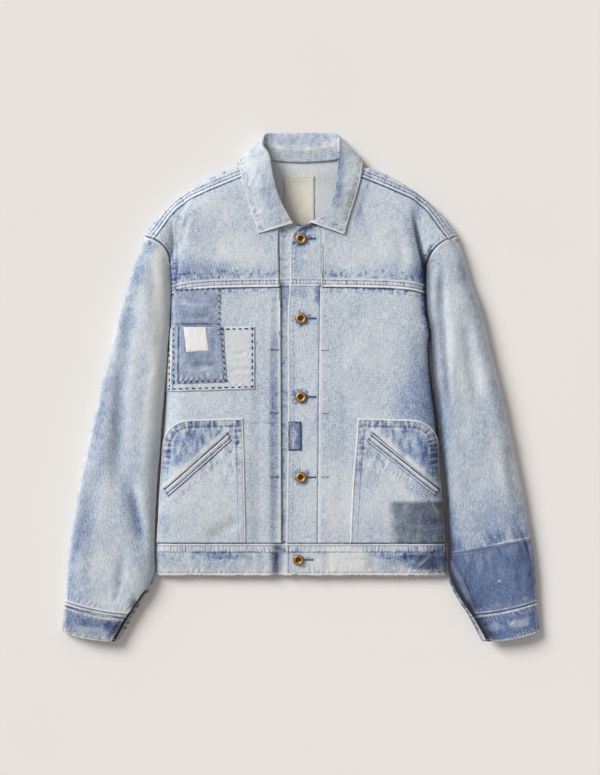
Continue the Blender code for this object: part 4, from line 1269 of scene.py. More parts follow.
class Rig:
    """A modifier's tree with named inputs, which turns a line into small repeated shapes."""

    def __init__(self, name: str, inputs: dict) -> None:
        """Args: name, the tree's name; inputs, a name and a start value for each size."""
        self.group = bpy.data.node_groups.new(name, "GeometryNodeTree")
        face = self.group.interface
        face.new_socket("Geometry", in_out="INPUT", socket_type="NodeSocketGeometry")
        face.new_socket("Geometry", in_out="OUTPUT", socket_type="NodeSocketGeometry")
        self.ids = {}
        for key, value in inputs.items():
            kind = {float: "NodeSocketFloat", int: "NodeSocketInt"}.get(type(value),
                                                                       "NodeSocketMaterial")
            socket = face.new_socket(key, in_out="INPUT", socket_type=kind)
            self.ids[key] = socket.identifier
            if value is not None:
                socket.default_value = value
        self.made = Nodes(self.group)
        self.inputs = self.made.node("NodeGroupInput")

    def value(self, name: str) -> Socket:
        """One of the named inputs."""
        return Socket(self.made, self.inputs.outputs[name])

    def points(self) -> bpy.types.NodeSocket:
        """The line's points, one for each step of `Pitch`."""
        curve = self.made.node("GeometryNodeMeshToCurve",
                               Mesh=self.inputs.outputs["Geometry"])
        return self.made.node("GeometryNodeResampleCurve", {"mode": "LENGTH"},
                              Curve=curve.outputs[0], Length=self.value("Pitch")).outputs[0]

    def finish(self, points: bpy.types.NodeSocket, shape: bpy.types.NodeSocket,
               turn: bpy.types.NodeSocket, scale: bpy.types.NodeSocket) -> None:
        """Puts the shape on the points and closes the tree."""
        put = self.made.node("GeometryNodeInstanceOnPoints", Points=points, Instance=shape,
                             Rotation=turn, Scale=scale)
        real = self.made.node("GeometryNodeRealizeInstances", Geometry=put.outputs[0])
        flat = self.made.node("GeometryNodeSetMaterial", Geometry=real.outputs[0],
                              Material=self.inputs.outputs["Material"])
        self.made.node("NodeGroupOutput", Geometry=flat.outputs[0])

    def apply(self, name: str, lines: Sequence[Array], **values: object) -> bpy.types.Object:
        """Runs the tree over lines of points.

        Args:
            name: the finished piece's name.
            lines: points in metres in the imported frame, one array for each line.
            values: the tree's inputs, with spaces as underscores.

        Returns:
            A plain mesh object.
        """
        lines = [line for line in lines if len(line) > 1]
        mesh = bpy.data.meshes.new(name + "_line")
        starts = np.cumsum([0] + [len(line) for line in lines])
        edges = [(i, i + 1) for a, b in zip(starts[:-1], starts[1:]) for i in range(a, b - 1)]
        mesh.from_pydata(np.vstack(lines).tolist(), edges, [])
        guide = placed(name + "_line", mesh)
        modifier = guide.modifiers.new("Rig", "NODES")
        modifier.node_group = self.group
        for key, value in values.items():
            modifier[self.ids[key.replace("_", " ")]] = value
        graph = bpy.context.evaluated_depsgraph_get()
        made = bpy.data.meshes.new_from_object(guide.evaluated_get(graph))
        made.name = name
        guide.modifiers.remove(modifier)
        bpy.data.objects.remove(guide, do_unlink=True)
        made.shade_smooth()
        return placed(name, made)


def stitch_rig() -> Rig:
    """Short rounded stitches along a line; `Slant` turns each one across it."""
    rig = Rig("Stitches", {"Pitch": 0.004, "Length": 0.003, "Thickness": 0.0007, "Slant": 0.0,
                           "Jitter": 0.1, "Seed": 1, "Material": None})
    made = rig.made
    points = rig.points()
    tangent = made.node("GeometryNodeInputTangent").outputs[0]
    way = made.node("FunctionNodeAlignRotationToVector", {"axis": "X"}, Vector=tangent)
    level = made.node("FunctionNodeAlignRotationToVector", {"axis": "Z", "pivot_axis": "X"},
                      Rotation=way.outputs[0], Vector=(0, 0, 1))
    jitter = rig.value("Jitter")
    lean = made.node("FunctionNodeRandomValue", {"data_type": "FLOAT"},
                     Min=(jitter * -1.0), Max=jitter, Seed=rig.value("Seed"))
    angle = rig.value("Slant") + Socket(made, lean.outputs[1])
    spin = made.node("FunctionNodeAxisAngleToRotation", Axis=(0, 0, 1), Angle=angle)
    turned = made.node("FunctionNodeRotateRotation", {"rotation_space": "LOCAL"},
                       Rotation=level.outputs[0], **{"Rotate By": spin.outputs[0]})
    vary = made.node("FunctionNodeRandomValue", {"data_type": "FLOAT"}, Min=0.78, Max=1.15,
                     Seed=rig.value("Seed") + 5.0)
    long = rig.value("Length") * Socket(made, vary.outputs[1]) * 0.5
    thick = rig.value("Thickness") * 0.5
    size = made.node("ShaderNodeCombineXYZ", X=long, Y=thick, Z=thick * 0.8)
    bead = made.node("GeometryNodeMeshUVSphere", Segments=6, Rings=4, Radius=1.0)
    rig.finish(points, bead.outputs[0], turned.outputs[0], size.outputs[0])
    return rig


def fray_rig() -> Rig:
    """Loose bent threads that stick out to one side of a line."""
    rig = Rig("Frays", {"Pitch": 0.002, "Length": 0.005, "Thickness": 0.0003, "Side": 1.57,
                        "Spread": 0.7, "Seed": 1, "Material": None})
    made = rig.made
    points = rig.points()
    tangent = made.node("GeometryNodeInputTangent").outputs[0]
    way = made.node("FunctionNodeAlignRotationToVector", {"axis": "X"}, Vector=tangent)
    wide = rig.value("Spread")
    lean = made.node("FunctionNodeRandomValue", {"data_type": "FLOAT"},
                     Min=(wide * -1.0), Max=wide, Seed=rig.value("Seed"))
    tip = made.node("FunctionNodeRandomValue", {"data_type": "FLOAT"},
                    Min=-0.35, Max=0.25, Seed=rig.value("Seed") + 9.0)
    spin = made.node("FunctionNodeAxisAngleToRotation", Axis=(0, 0, 1),
                     Angle=rig.value("Side") + Socket(made, lean.outputs[1]))
    pitch = made.node("FunctionNodeAxisAngleToRotation", Axis=(0, 1, 0), Angle=tip.outputs[1])
    turned = made.node("FunctionNodeRotateRotation", {"rotation_space": "LOCAL"},
                       Rotation=way.outputs[0], **{"Rotate By": spin.outputs[0]})
    tipped = made.node("FunctionNodeRotateRotation", {"rotation_space": "LOCAL"},
                       Rotation=turned.outputs[0], **{"Rotate By": pitch.outputs[0]})
    vary = made.node("FunctionNodeRandomValue", {"data_type": "FLOAT"}, Min=0.3, Max=1.3,
                     Seed=rig.value("Seed") + 5.0)
    long = rig.value("Length") * Socket(made, vary.outputs[1])
    arc = made.node("GeometryNodeCurveQuadraticBezier", Resolution=3, Start=(0, 0, 0),
                    Middle=(0.5, 0.22, 0.1), End=(1, 0.05, 0.0))
    ring = made.node("GeometryNodeCurvePrimitiveCircle", Resolution=3, Radius=1.0)
    thin = rig.value("Thickness").math("DIVIDE", rig.value("Thickness"), rig.value("Length"))
    scaled = made.node("GeometryNodeTransform", Geometry=ring.outputs[0], Scale=made.node(
        "ShaderNodeCombineXYZ", X=thin, Y=thin, Z=thin).outputs[0])
    hair = made.node("GeometryNodeCurveToMesh", {}, Curve=arc.outputs[0],
                     **{"Profile Curve": scaled.outputs[0], "Fill Caps": True})
    size = made.node("ShaderNodeCombineXYZ", X=long, Y=long, Z=long)
    rig.finish(points, hair.outputs[0], tipped.outputs[0], size.outputs[0])
    return rig


# ---------------------------------------------------------------- what the whole body shares

FINE = 1.7  # spacing of the cloth's points where it shows
COARSE = 7.0


def body_marks(wash: Wash) -> Wash:
    """Seams, folds and fading of the fronts, the yokes and the tops of the back, with painted shade
    in their valleys and folds.

    Args:
        wash: the grid to mark.

    Returns:
        The same grid.
    """
    wash.weather()
    for curves in (LEFT, RIGHT):
        s = curves.side
        yoke, shoulder = curves.yoke_seam, curves.shoulder_seam
        wash.line(yoke, Dose(relief=-0.5, indigo=0.9), at=-0.7, width=1.0, side=s, wander=0.2)
        wash.line(yoke, Dose(relief=0.45, worn=0.9), at=1.6, width=1.2, side=s)
        wash.band(yoke, Dose(worn=0.42), 1.5, 13, side=s, soft=1.5, patches=0.4, cell=7)
        wash.cells(yoke, Dose(indigo=0.55, worn=-0.5, relief=-0.4), 4.2, 10.2, 5.6, side=s)
        wash.blotches(yoke, Dose(indigo=0.34), 14, 27, 3.4, 0.42, side=s)
        wash.blotches(yoke, Dose(indigo=0.3), -9, -1, 3.0, 0.45, side=s)
        for at in (4.2, 10.2):
            wash.line(yoke, Dose(relief=-0.25, indigo=0.34, worn=-0.5), at=at, width=0.9, side=s)
        wash.line(yoke, Dose(worn=0.5, relief=0.2), at=12.0, width=1.2, side=s, patches=0.5)
        wash.spikes(yoke, 18, Dose(indigo=0.26), 3.4, start=13.5, side=s, sparse=0.25)
        wash.spikes(yoke, 9, Dose(indigo=0.38), 2.4, start=1.2, side=-s, sparse=0.3)
        wash.band(yoke, Dose(indigo=0.12), 13, 40, soft=24, side=s, patches=0.8, cell=16)
        wash.line(shoulder, Dose(relief=-0.5, indigo=0.95), at=-0.7, width=1.0, side=s)
        wash.line(shoulder, Dose(relief=0.5, worn=0.9), at=1.5, width=1.2, side=s)
        wash.cells(shoulder, Dose(indigo=0.28, relief=-0.3), 1.8, 11, 7.0, side=s)
        wash.blotches(shoulder, Dose(indigo=0.22), 2, 26, 3.4, 0.35, side=s)
        for at in (5.0, 10.0):
            wash.line(shoulder, Dose(relief=-0.25, indigo=0.35), at=at, width=0.9, side=s)
            wash.line(shoulder, Dose(worn=0.45), at=at + 2.0, width=1.0, side=s, patches=0.6)
        wash.spikes(shoulder, 9, Dose(indigo=0.35), 2.8, start=1.0, side=-s)
        wash.spikes(shoulder, 8, Dose(indigo=0.25), 3.2, start=12.0, side=s)
        head = curves.armhole_path(0, 5, 60)
        wash.line(head, Dose(indigo=0.9, relief=-0.4), at=-0.6, width=1.0, side=s)
        wash.line(head, Dose(worn=0.8, relief=0.4), at=-2.6, width=1.1, side=s)
        wash.spikes(head, 9, Dose(indigo=0.5), 2.2, start=3.5, side=-s, sparse=0.2)
        hole = curves.armhole_path(4, 10, 60)
        deep = 4.0 if s > 0 else 0.8
        wash.band(hole, Dose(indigo=0.2), -8, 0, side=s, soft=6, patches=0.7)
        # Painted shade in the valley at the armhole's foot, wider on the wearer's left.
        wash.band(hole, Dose(soil=0.85, indigo=0.3), -deep, 3, side=s, soft=deep, patches=0)
        wash.cells(hole, Dose(indigo=0.3), -9, -2, 7.0, side=s)
        flank = curves.body_edge
        wash.band(flank, Dose(indigo=0.16), -14, 2, side=-s, soft=14, patches=0.5, cell=14)
        # On the wearer's left, painted shadow of the body's edge in the valley beside the sleeve;
        # on the right, painted light along the body's edge.
        if s > 0:
            wash.band(flank, Dose(soil=0.8, indigo=0.2), -deep, 3, side=-s, soft=1.6 * deep,
                      patches=0)
            wash.band(flank, Dose(soil=0.12, indigo=0.1), -16, 3, side=-s, soft=14, patches=0)
        else:
            wash.band(flank, Dose(worn=0.2, indigo=-0.1), -5, 3, side=-s, soft=4)
        wash.line(flank, Dose(worn=0.3), at=6.5, width=1.2, side=s, patches=0.8)
        pleat = curves.pleat
        wash.line(pleat, Dose(worn=0.5, relief=0.15), at=-1.4, width=1.5, side=s)
        wash.blotches(pleat, Dose(indigo=0.14), -12, -3, 4.0, 0.3, side=s)
        wash.blotches(flank, Dose(indigo=0.16), -16, 1, 5.0, 0.35, side=-s)
    x, y = wash.xy[..., 0], wash.xy[..., 1]
    wash.add(np.exp(-((x - 35.2) / 1.0) ** 2) * ease(y, 463, 470), Dose(worn=0.9, relief=0.2))
    # Painted shade in the folds beside both armholes, fading out towards the shoulders.
    folds = Wash(wash.xy, wash.seed + 60)
    fold = smooth([(166, 588), (172, 560), (178, 532), (184, 506), (190, 478), (197, 445)])
    folds.band(fold, Dose(soil=0.8, indigo=0.3, relief=-0.8), -2.5, 3.5, soft=6, patches=0.1,
               cell=30)
    folds.band(fold, Dose(indigo=0.14, soil=0.05), -14, -2, soft=10)
    fold = smooth([(-194, 548), (-193, 510), (-192, 480), (-195, 445)])
    folds.band(fold, Dose(soil=0.35, indigo=0.2, relief=-0.5), -1.0, 2.0, soft=4)
    wash.blend(folds, 1 - ease(y, 515, 585))
    # Painted shadow of the wearer's left collar leaf on the yoke beside it.
    shade = smooth([(84, 552), (93, 580), (101, 606), (106, 628)])
    wash.band(shade, Dose(soil=0.2, indigo=0.06), -4, 3, soft=7)
    # Painted shade beside the closing and along the wearer's left side, with some deeper blue.
    wash.cloud(-42, 230, 8, 240, Dose(indigo=0.16, soil=0.14), rough=0.2)
    wash.cloud(206, 150, 34, 130, Dose(indigo=0.2, soil=0.14), rough=0.3)
    for by, deep in ((1.7, 0.09), (1.3, 0.08), (0.95, 0.09), (0.65, 0.08)):
        wash.cloud(190, 285, 44 * by, 62 * by, Dose(indigo=deep), 6, rough=0.3)
    wash.cloud(-206, 120, 16, 80, Dose(indigo=0.14), rough=0.6)
    # Painted shade in soft vertical folds down the fronts, with a little deeper blue.
    wash.cloud(-92, 140, 20, 90, Dose(soil=0.05, indigo=0.03), rough=0.4)
    for x, wide, deep in ((-72, 9, 0.09), (-46, 5, 0.08), (-104, 7, 0.06), (62, 8, 0.05)):
        wash.cloud(x, 180, wide, 190, Dose(soil=deep, indigo=0.5 * deep), rough=0.5)
    wash.cloud(60, 120, 24, 90, Dose(indigo=-0.1, worn=0.06), rough=0.4)
    wash.crease(((185, 592), (183, 575), (181, 556), (178, 545)), Dose(-1.6, indigo=0.15), 7,
                lip=0.3)
    wash.crease(((-199, 565), (-190, 556), (-184, 548)), Dose(-1.0, indigo=0.15), 5, lip=0.3)
    # A little painted shade in this crease's hollow.
    wash.crease(((-170, 565), (-178, 545), (-183, 525), (-187, 505)), Dose(-1.5, soil=0.05), 4,
                lip=0.4)
    wash.crease(((-186, 573), (-187, 540), (-190, 520)), Dose(-0.9), 3, lip=0.2)
    wash.crease(((-183, 590), (-183, 575), (-190, 560)), Dose(-1.4, indigo=0.1), 5, lip=0.3)
    wash.crease(((85, 590), (97, 560), (110, 520), (125, 480)), Dose(-0.9), 8, lip=0.2)
    wash.crease(((-95, 600), (-80, 560), (-68, 520)), Dose(-0.7), 9)
    wash.crease(((150, 530), (156, 505), (160, 480)), Dose(-0.6), 6, lip=0.2)
    wash.crease(((-85, 238), (-60, 239), (-35, 238)), Dose(-0.35, indigo=0.22), 1.0)
    wash.crease(((-150, 470), (-130, 500), (-120, 540)), Dose(-0.5), 8)
    wash.crease(((60, 430), (64, 360), (58, 300)), Dose(-0.5), 8)
    wash.crease(((52, 200), (60, 150), (55, 90)), Dose(-0.6), 7)
    wash.crease(((-58, 440), (-52, 400), (-57, 340)), Dose(-0.5), 6)
    wash.crease(((120, 430), (122, 380), (118, 320)), Dose(-0.5), 9)
    wash.crease(((180, 420), (176, 380), (182, 320)), Dose(-0.7), 8)
    wash.cloud(120, 500, 80, 40, Dose(indigo=-0.06, worn=0.06))
    wash.cloud(-110, 505, 60, 30, Dose(indigo=-0.06, worn=0.05))
    wash.cloud(120, 350, 60, 70, Dose(indigo=-0.05, worn=0.04))
    wash.cloud(-60, 180, 30, 110, Dose(indigo=-0.03, worn=0.03))
    wash.cloud(55, 200, 20, 120, Dose(indigo=0.05))
    wash.cloud(-180, 480, 22, 24, Dose(indigo=0.14))
    wash.cloud(186, 478, 22, 24, Dose(indigo=0.14))
    return wash


def marked(xy: Array) -> Wash:
    """A grid with the body's own marks."""
    return body_marks(Wash(xy))


def stretched(wash: Wash, before: int, after: int) -> Wash:
    """The same wash with columns repeated at its two sides, for rims that turn under."""
    pad = ((0, 0), (before, after), (0, 0))
    return wash.rearranged(lambda values: np.pad(values, pad[:values.ndim], mode="edge"))


def quad(corners: Sequence[Point], step: float, wobble: float, seed: int) -> Array:
    """A four-cornered piece in plan, with slightly uneven edges.

    Args:
        corners: the lower left one, the upper two and the lower right one.
        step: the spacing of its points.
        wobble: how far its edges stray.
        seed: which way they do.

    Returns:
        Rows of plan points from its lower edge to its upper one.
    """
    low_left, top_left, top_right, low_right = (np.array(p, float) for p in corners)
    u = columns(np.linalg.norm(low_right - low_left), step, 0.3, 2.5)
    v = columns(np.linalg.norm(top_left - low_left), step, 0.3, 2.5)

    def edge(a: Array, b: Array, shares: Array, turn: int) -> Array:
        """One uneven edge."""
        way = (b - a) / np.linalg.norm(b - a)
        stray = wobble * ripple(shares * np.linalg.norm(b - a) / 13, shares * 0 + turn, seed + turn)
        stray = stray * np.clip(6 * np.minimum(shares, 1 - shares), 0, 1)
        return a + (b - a) * shares[:, None] + stray[:, None] * np.array([-way[1], way[0]])

    return coons(edge(low_left, low_right, u, 0), edge(top_left, top_right, u, 1),
                 edge(low_left, top_left, v, 2), edge(low_right, top_right, v, 3))


def outline_of(plan: Array) -> Array:
    """The closed border of a grid of plan points, anticlockwise from its first corner."""
    return np.vstack([plan[0], plan[1:, -1], plan[-1, -2::-1], plan[-2::-1, 0]])


def mirrored(wash: Wash) -> Wash:
    """The same wash with its columns in the other order."""
    return wash.rearranged(lambda values: values[:, ::-1])


def trimmed(wash: Wash) -> Wash:
    """The same wash without its first column."""
    return wash.rearranged(lambda values: values[:, 1:])


def outward(points: Array) -> Array:
    """Normals of a grid that faces up as a whole."""
    out = normals_of(points)
    return out if out[..., 2].sum() > 0 else -out


def raised(points: Array, wash: Wash) -> Array:
    """The points moved out by their wash's relief."""
    out = normals_of(points)
    way = 1 if (out[..., 2] * (wash.relief != 0)).sum() >= 0 else -1
    return points + way * out * wash.relief[..., None]


@dataclass
class Finishes:
    """The cloths and metals that the pieces are made of."""

    faded: bpy.types.Material
    mid: bpy.types.Material
    dark: bpy.types.Material
    grey_patch: bpy.types.Material
    pale_patch: bpy.types.Material
    reverse: bpy.types.Material
    label: bpy.types.Material
    tape: bpy.types.Material
    brass: bpy.types.Material
    threads: dict


# ---------------------------------------------------------------- body


@dataclass
class Bodice:
    """The fronts, the yokes and the back."""

    shop: Shop
    cloths: Finishes
    lap: float = 1.2
    lap_lift: float = 1.2
    lap_fade: float = 4.0
    lap_tuck: float = 0.35

    def build(self) -> None:
        """Makes the back first and the yokes last, as they lie on each other."""
        self.back()
        for curves, side in ((LEFT, "left"), (RIGHT, "right")):
            self.front(curves, f"front_{side}")
            self.yoke(curves, f"yoke_{side}")

    def front_plan(self, curves: Side, step: float) -> Array:
        """Plan points of a front, from its pleat to the side and up to the yoke."""
        height = FRONT_TOP_Y - WAIST_SEAM_Y
        rows = np.linspace(WAIST_SEAM_Y + GAP, FRONT_TOP_Y - GAP / 2, int(height / step) + 2)
        left = np.stack([along(curves.pleat, rows), rows], -1)
        low = np.linspace(rows[0], ARMHOLE_FOOT_Y, 200)[:-1]
        side = np.stack([along(curves.body_edge, low), low], -1)
        hole = pulled(curves.armhole_path(10, YOKE_STEP, 60), MIDDLE)
        right = spread(np.vstack([side, hole]), shares_of(left))
        shares = columns(180, step, 0.2, 7, (False, True))
        seam = curves.yoke_seam - (0, GAP / 2)
        top = spread(seam, shares)
        top[0], top[-1] = left[-1], right[-1]
        bottom = left[0] + (right[0] - left[0]) * shares[:, None]
        return coons(bottom, top, left, right)

    def front(self, curves: Side, name: str) -> None:
        """One front, with its pleat folded under beside the closing."""
        plan = self.front_plan(curves, FINE)
        wash = marked(plan)
        z = softened(body_height(plan), 6)
        edge = EDGE_Z + RIM + GAP / 2
        z[:, -1] = np.where(plan[:, -1, 1] < 384, edge, z[:, -1])
        panel = raised(with_z(plan, z), wash)
        panel[:, -1] = with_z(plan[:, -1], z[:, -1])
        panel = np.concatenate([panel, panel[:, -1:] - (0, 0, RIM)], 1)
        fold, radius = panel[:, :1], (CLOTH * 2 + GAP) / 2
        rim = [fold + (curves.side * PLEAT_DEPTH, 0, -2 * radius)]
        for angle in np.radians(np.linspace(180, 18, 10)):
            turn = (-curves.side * math.sin(angle), 0, math.cos(angle) - 1)
            rim.append(fold + radius * np.array(turn))
        grid = np.concatenate(rim + [panel], 1)
        wash = stretched(wash, len(rim), 1)
        if curves.side < 0:
            grid = grid[:, ::-1]
            wash = mirrored(wash)
        self.shop.sew(name, [Web(grid, wash, True)], CLOTH, self.cloths.faded, self.cloths.reverse,
                      Slot.FADED, "back")

    def lap_height(self, over: Array) -> Array:
        """How high the yoke's lower edge stands, `over` millimetres up from its end."""
        tucked = self.lap_tuck * (1 - ease(over, 0, 0.7))
        return self.lap_lift * (1 - ease(over, 0, self.lap_fade)) - tucked

    def yoke(self, curves: Side, name: str) -> None:
        """One yoke, whose lower edge laps over the front."""
        shares = columns(180, FINE, 0.3, 5, (False, True))
        bottom = spread(curves.yoke_seam, shares) + (0, GAP / 2 - self.lap)
        seam = spread(curves.shoulder_seam, shares) - (0, GAP / 2)
        left = smooth(side_points(NECK_SEAM, curves.side))
        left = spread(left, columns(195, FINE, 0.3, 4, (True, False)))
        hole = pulled(curves.armhole_path(YOKE_STEP, SHOULDER_STEP, 120), MIDDLE)
        right = spread(hole, shares_of(left))
        bottom[0, 0] = left[0, 0]
        left[0], left[-1] = bottom[0], seam[0]
        right[0], right[-1] = pulled(bottom[-1], MIDDLE), pulled(seam[-1], MIDDLE)
        bottom[-1], seam[-1] = right[0], right[-1]
        plan = coons(bottom, seam, left, right)
        wash = marked(plan)
        over = near(curves.yoke_seam, plan, 20)[0] * curves.side + self.lap
        lift = self.lap_height(over)
        z = softened(body_height(plan), 6) + lift
        grid = raised(with_z(plan, z), wash)
        if curves.side < 0:
            grid, wash = grid[:, ::-1], mirrored(wash)
        self.shop.sew(name, [Web(grid, wash, True)], CLOTH, self.cloths.faded, self.cloths.reverse,
                      Slot.FADED, "back")

    def wrap(self, curves: Side) -> tuple[Array, Web]:
        """The part of the back that comes over the shoulder to the seam on the front.

        Args:
            curves: the half of the jacket.

        Returns:
            The shoulder's edge, in plan, and the grid.
        """
        shares = columns(185, FINE, 0.4, 5)
        edge = spread(curves.shoulder, shares)
        edge[-1] = pulled(edge[-1], MIDDLE)
        seam = spread(curves.shoulder_seam, shares) + (0, GAP / 2 - self.lap)
        seam[-1] = pulled(curves.armhole[SHOULDER_STEP], MIDDLE)
        steps = columns(26, FINE, 0.12, 9)
        plan = edge[None] + (seam - edge)[None] * steps[:, None, None]
        wash = marked(plan)
        over = near(curves.shoulder_seam, plan, 40)[0] * curves.side + self.lap
        lift = self.lap_height(over)
        z = softened(body_height(plan), 3) + lift * ease(steps, 0.3, 0.7)[:, None]
        z[0] = EDGE_Z
        grid = with_z(plan, z)
        lifted = raised(grid, wash)
        lifted[0] = grid[0]
        if curves.side > 0:
            lifted, wash = lifted[:, ::-1], mirrored(wash)
        return edge, Web(lifted, wash, True)

    def under(self, right_edge: Array, left_edge: Array) -> Web:
        """The back under everything, flat on the surface and up at the sides and shoulders."""
        neck = smooth(BACK_NECK, 8)
        top = np.vstack([right_edge[::-1], neck, left_edge])
        height = ARMHOLE_FOOT_Y - WAIST_SEAM_Y
        low = np.linspace(WAIST_SEAM_Y + GAP, ARMHOLE_FOOT_Y, int(height / COARSE))
        shares = np.unique([*low, ARMHOLE_FOOT_Y - 5])
        sides = []
        for curves in (RIGHT, LEFT):
            rise = np.stack([along(curves.body_edge, shares), shares], -1)
            hole = pulled(at_step(curves.armhole_back, np.linspace(0.25, 6, 24)), MIDDLE)
            side = np.vstack([rise, hole])
            side[-1] = top[0] if curves is RIGHT else top[-1]
            sides.append(side)
        bottom = sides[0][0] + (sides[1][0] - sides[0][0]) * shares_of(top)[:, None]
        plan = coons(bottom, top, *sides)
        outlines = (np.vstack([c.shoulder, c.body_edge]) for c in (LEFT, RIGHT))
        z = np.maximum(*(under_height(plan, line) for line in outlines))
        below = ease(plan[..., 1], *LEAF_RISE_Y) * (1 - ease(np.abs(plan[..., 0]), *LEAF_RISE_X))
        z = np.maximum(z, LEAF_RISE * below)
        count = len(shares)
        z[:count, 0] = z[:count, -1] = EDGE_Z - RIM - GAP / 2
        z[-1, :len(right_edge)] = z[-1, -len(left_edge):] = EDGE_Z
        grid = with_z(plan, z)
        rims = []
        for end, inner in ((0, 1), (-1, -2)):
            rim = grid[:, end].copy()
            rim[:count, 2] += RIM
            way = grid[count:, inner] - grid[count:, end]
            grid[count:, end] += 0.5 * way / np.linalg.norm(way, axis=1, keepdims=True)
            grid[-1, end] = rim[-1]
            rims.append(rim[:, None])
        return Web(np.concatenate([rims[0], grid, rims[1]], 1)[:, ::-1], None, True)

    def back(self) -> None:
        """The back and its two wraps, in one piece."""
        right_edge, right_wrap = self.wrap(RIGHT)
        left_edge, left_wrap = self.wrap(LEFT)
        self.shop.sew("back", [self.under(right_edge, left_edge), right_wrap, left_wrap], CLOTH,
                      self.cloths.faded, self.cloths.reverse, Slot.FADED)


# ---------------------------------------------------------------- closing


def placket_level(x: Array, y: Array) -> Array:
    """Height of the placket against the fronts, dipping under the left front's pleat."""
    above = ease(y, *YOKE_BAND)
    fold = np.interp(y, [53, 250, 449], [27.5, 29, 31])
    under_pleat = ease(x, fold - 3.2, fold - 0.9) * (1 - above)
    flush = ease(x, 24, 33) * above
    dip = (PLACKET_DROP - PLEAT_DROP) * under_pleat
    tuck = 1.3 * ease(x, 30.2, 32.2) * above
    return -PLACKET_DROP + dip + (PLACKET_DROP - GAP) * flush - tuck


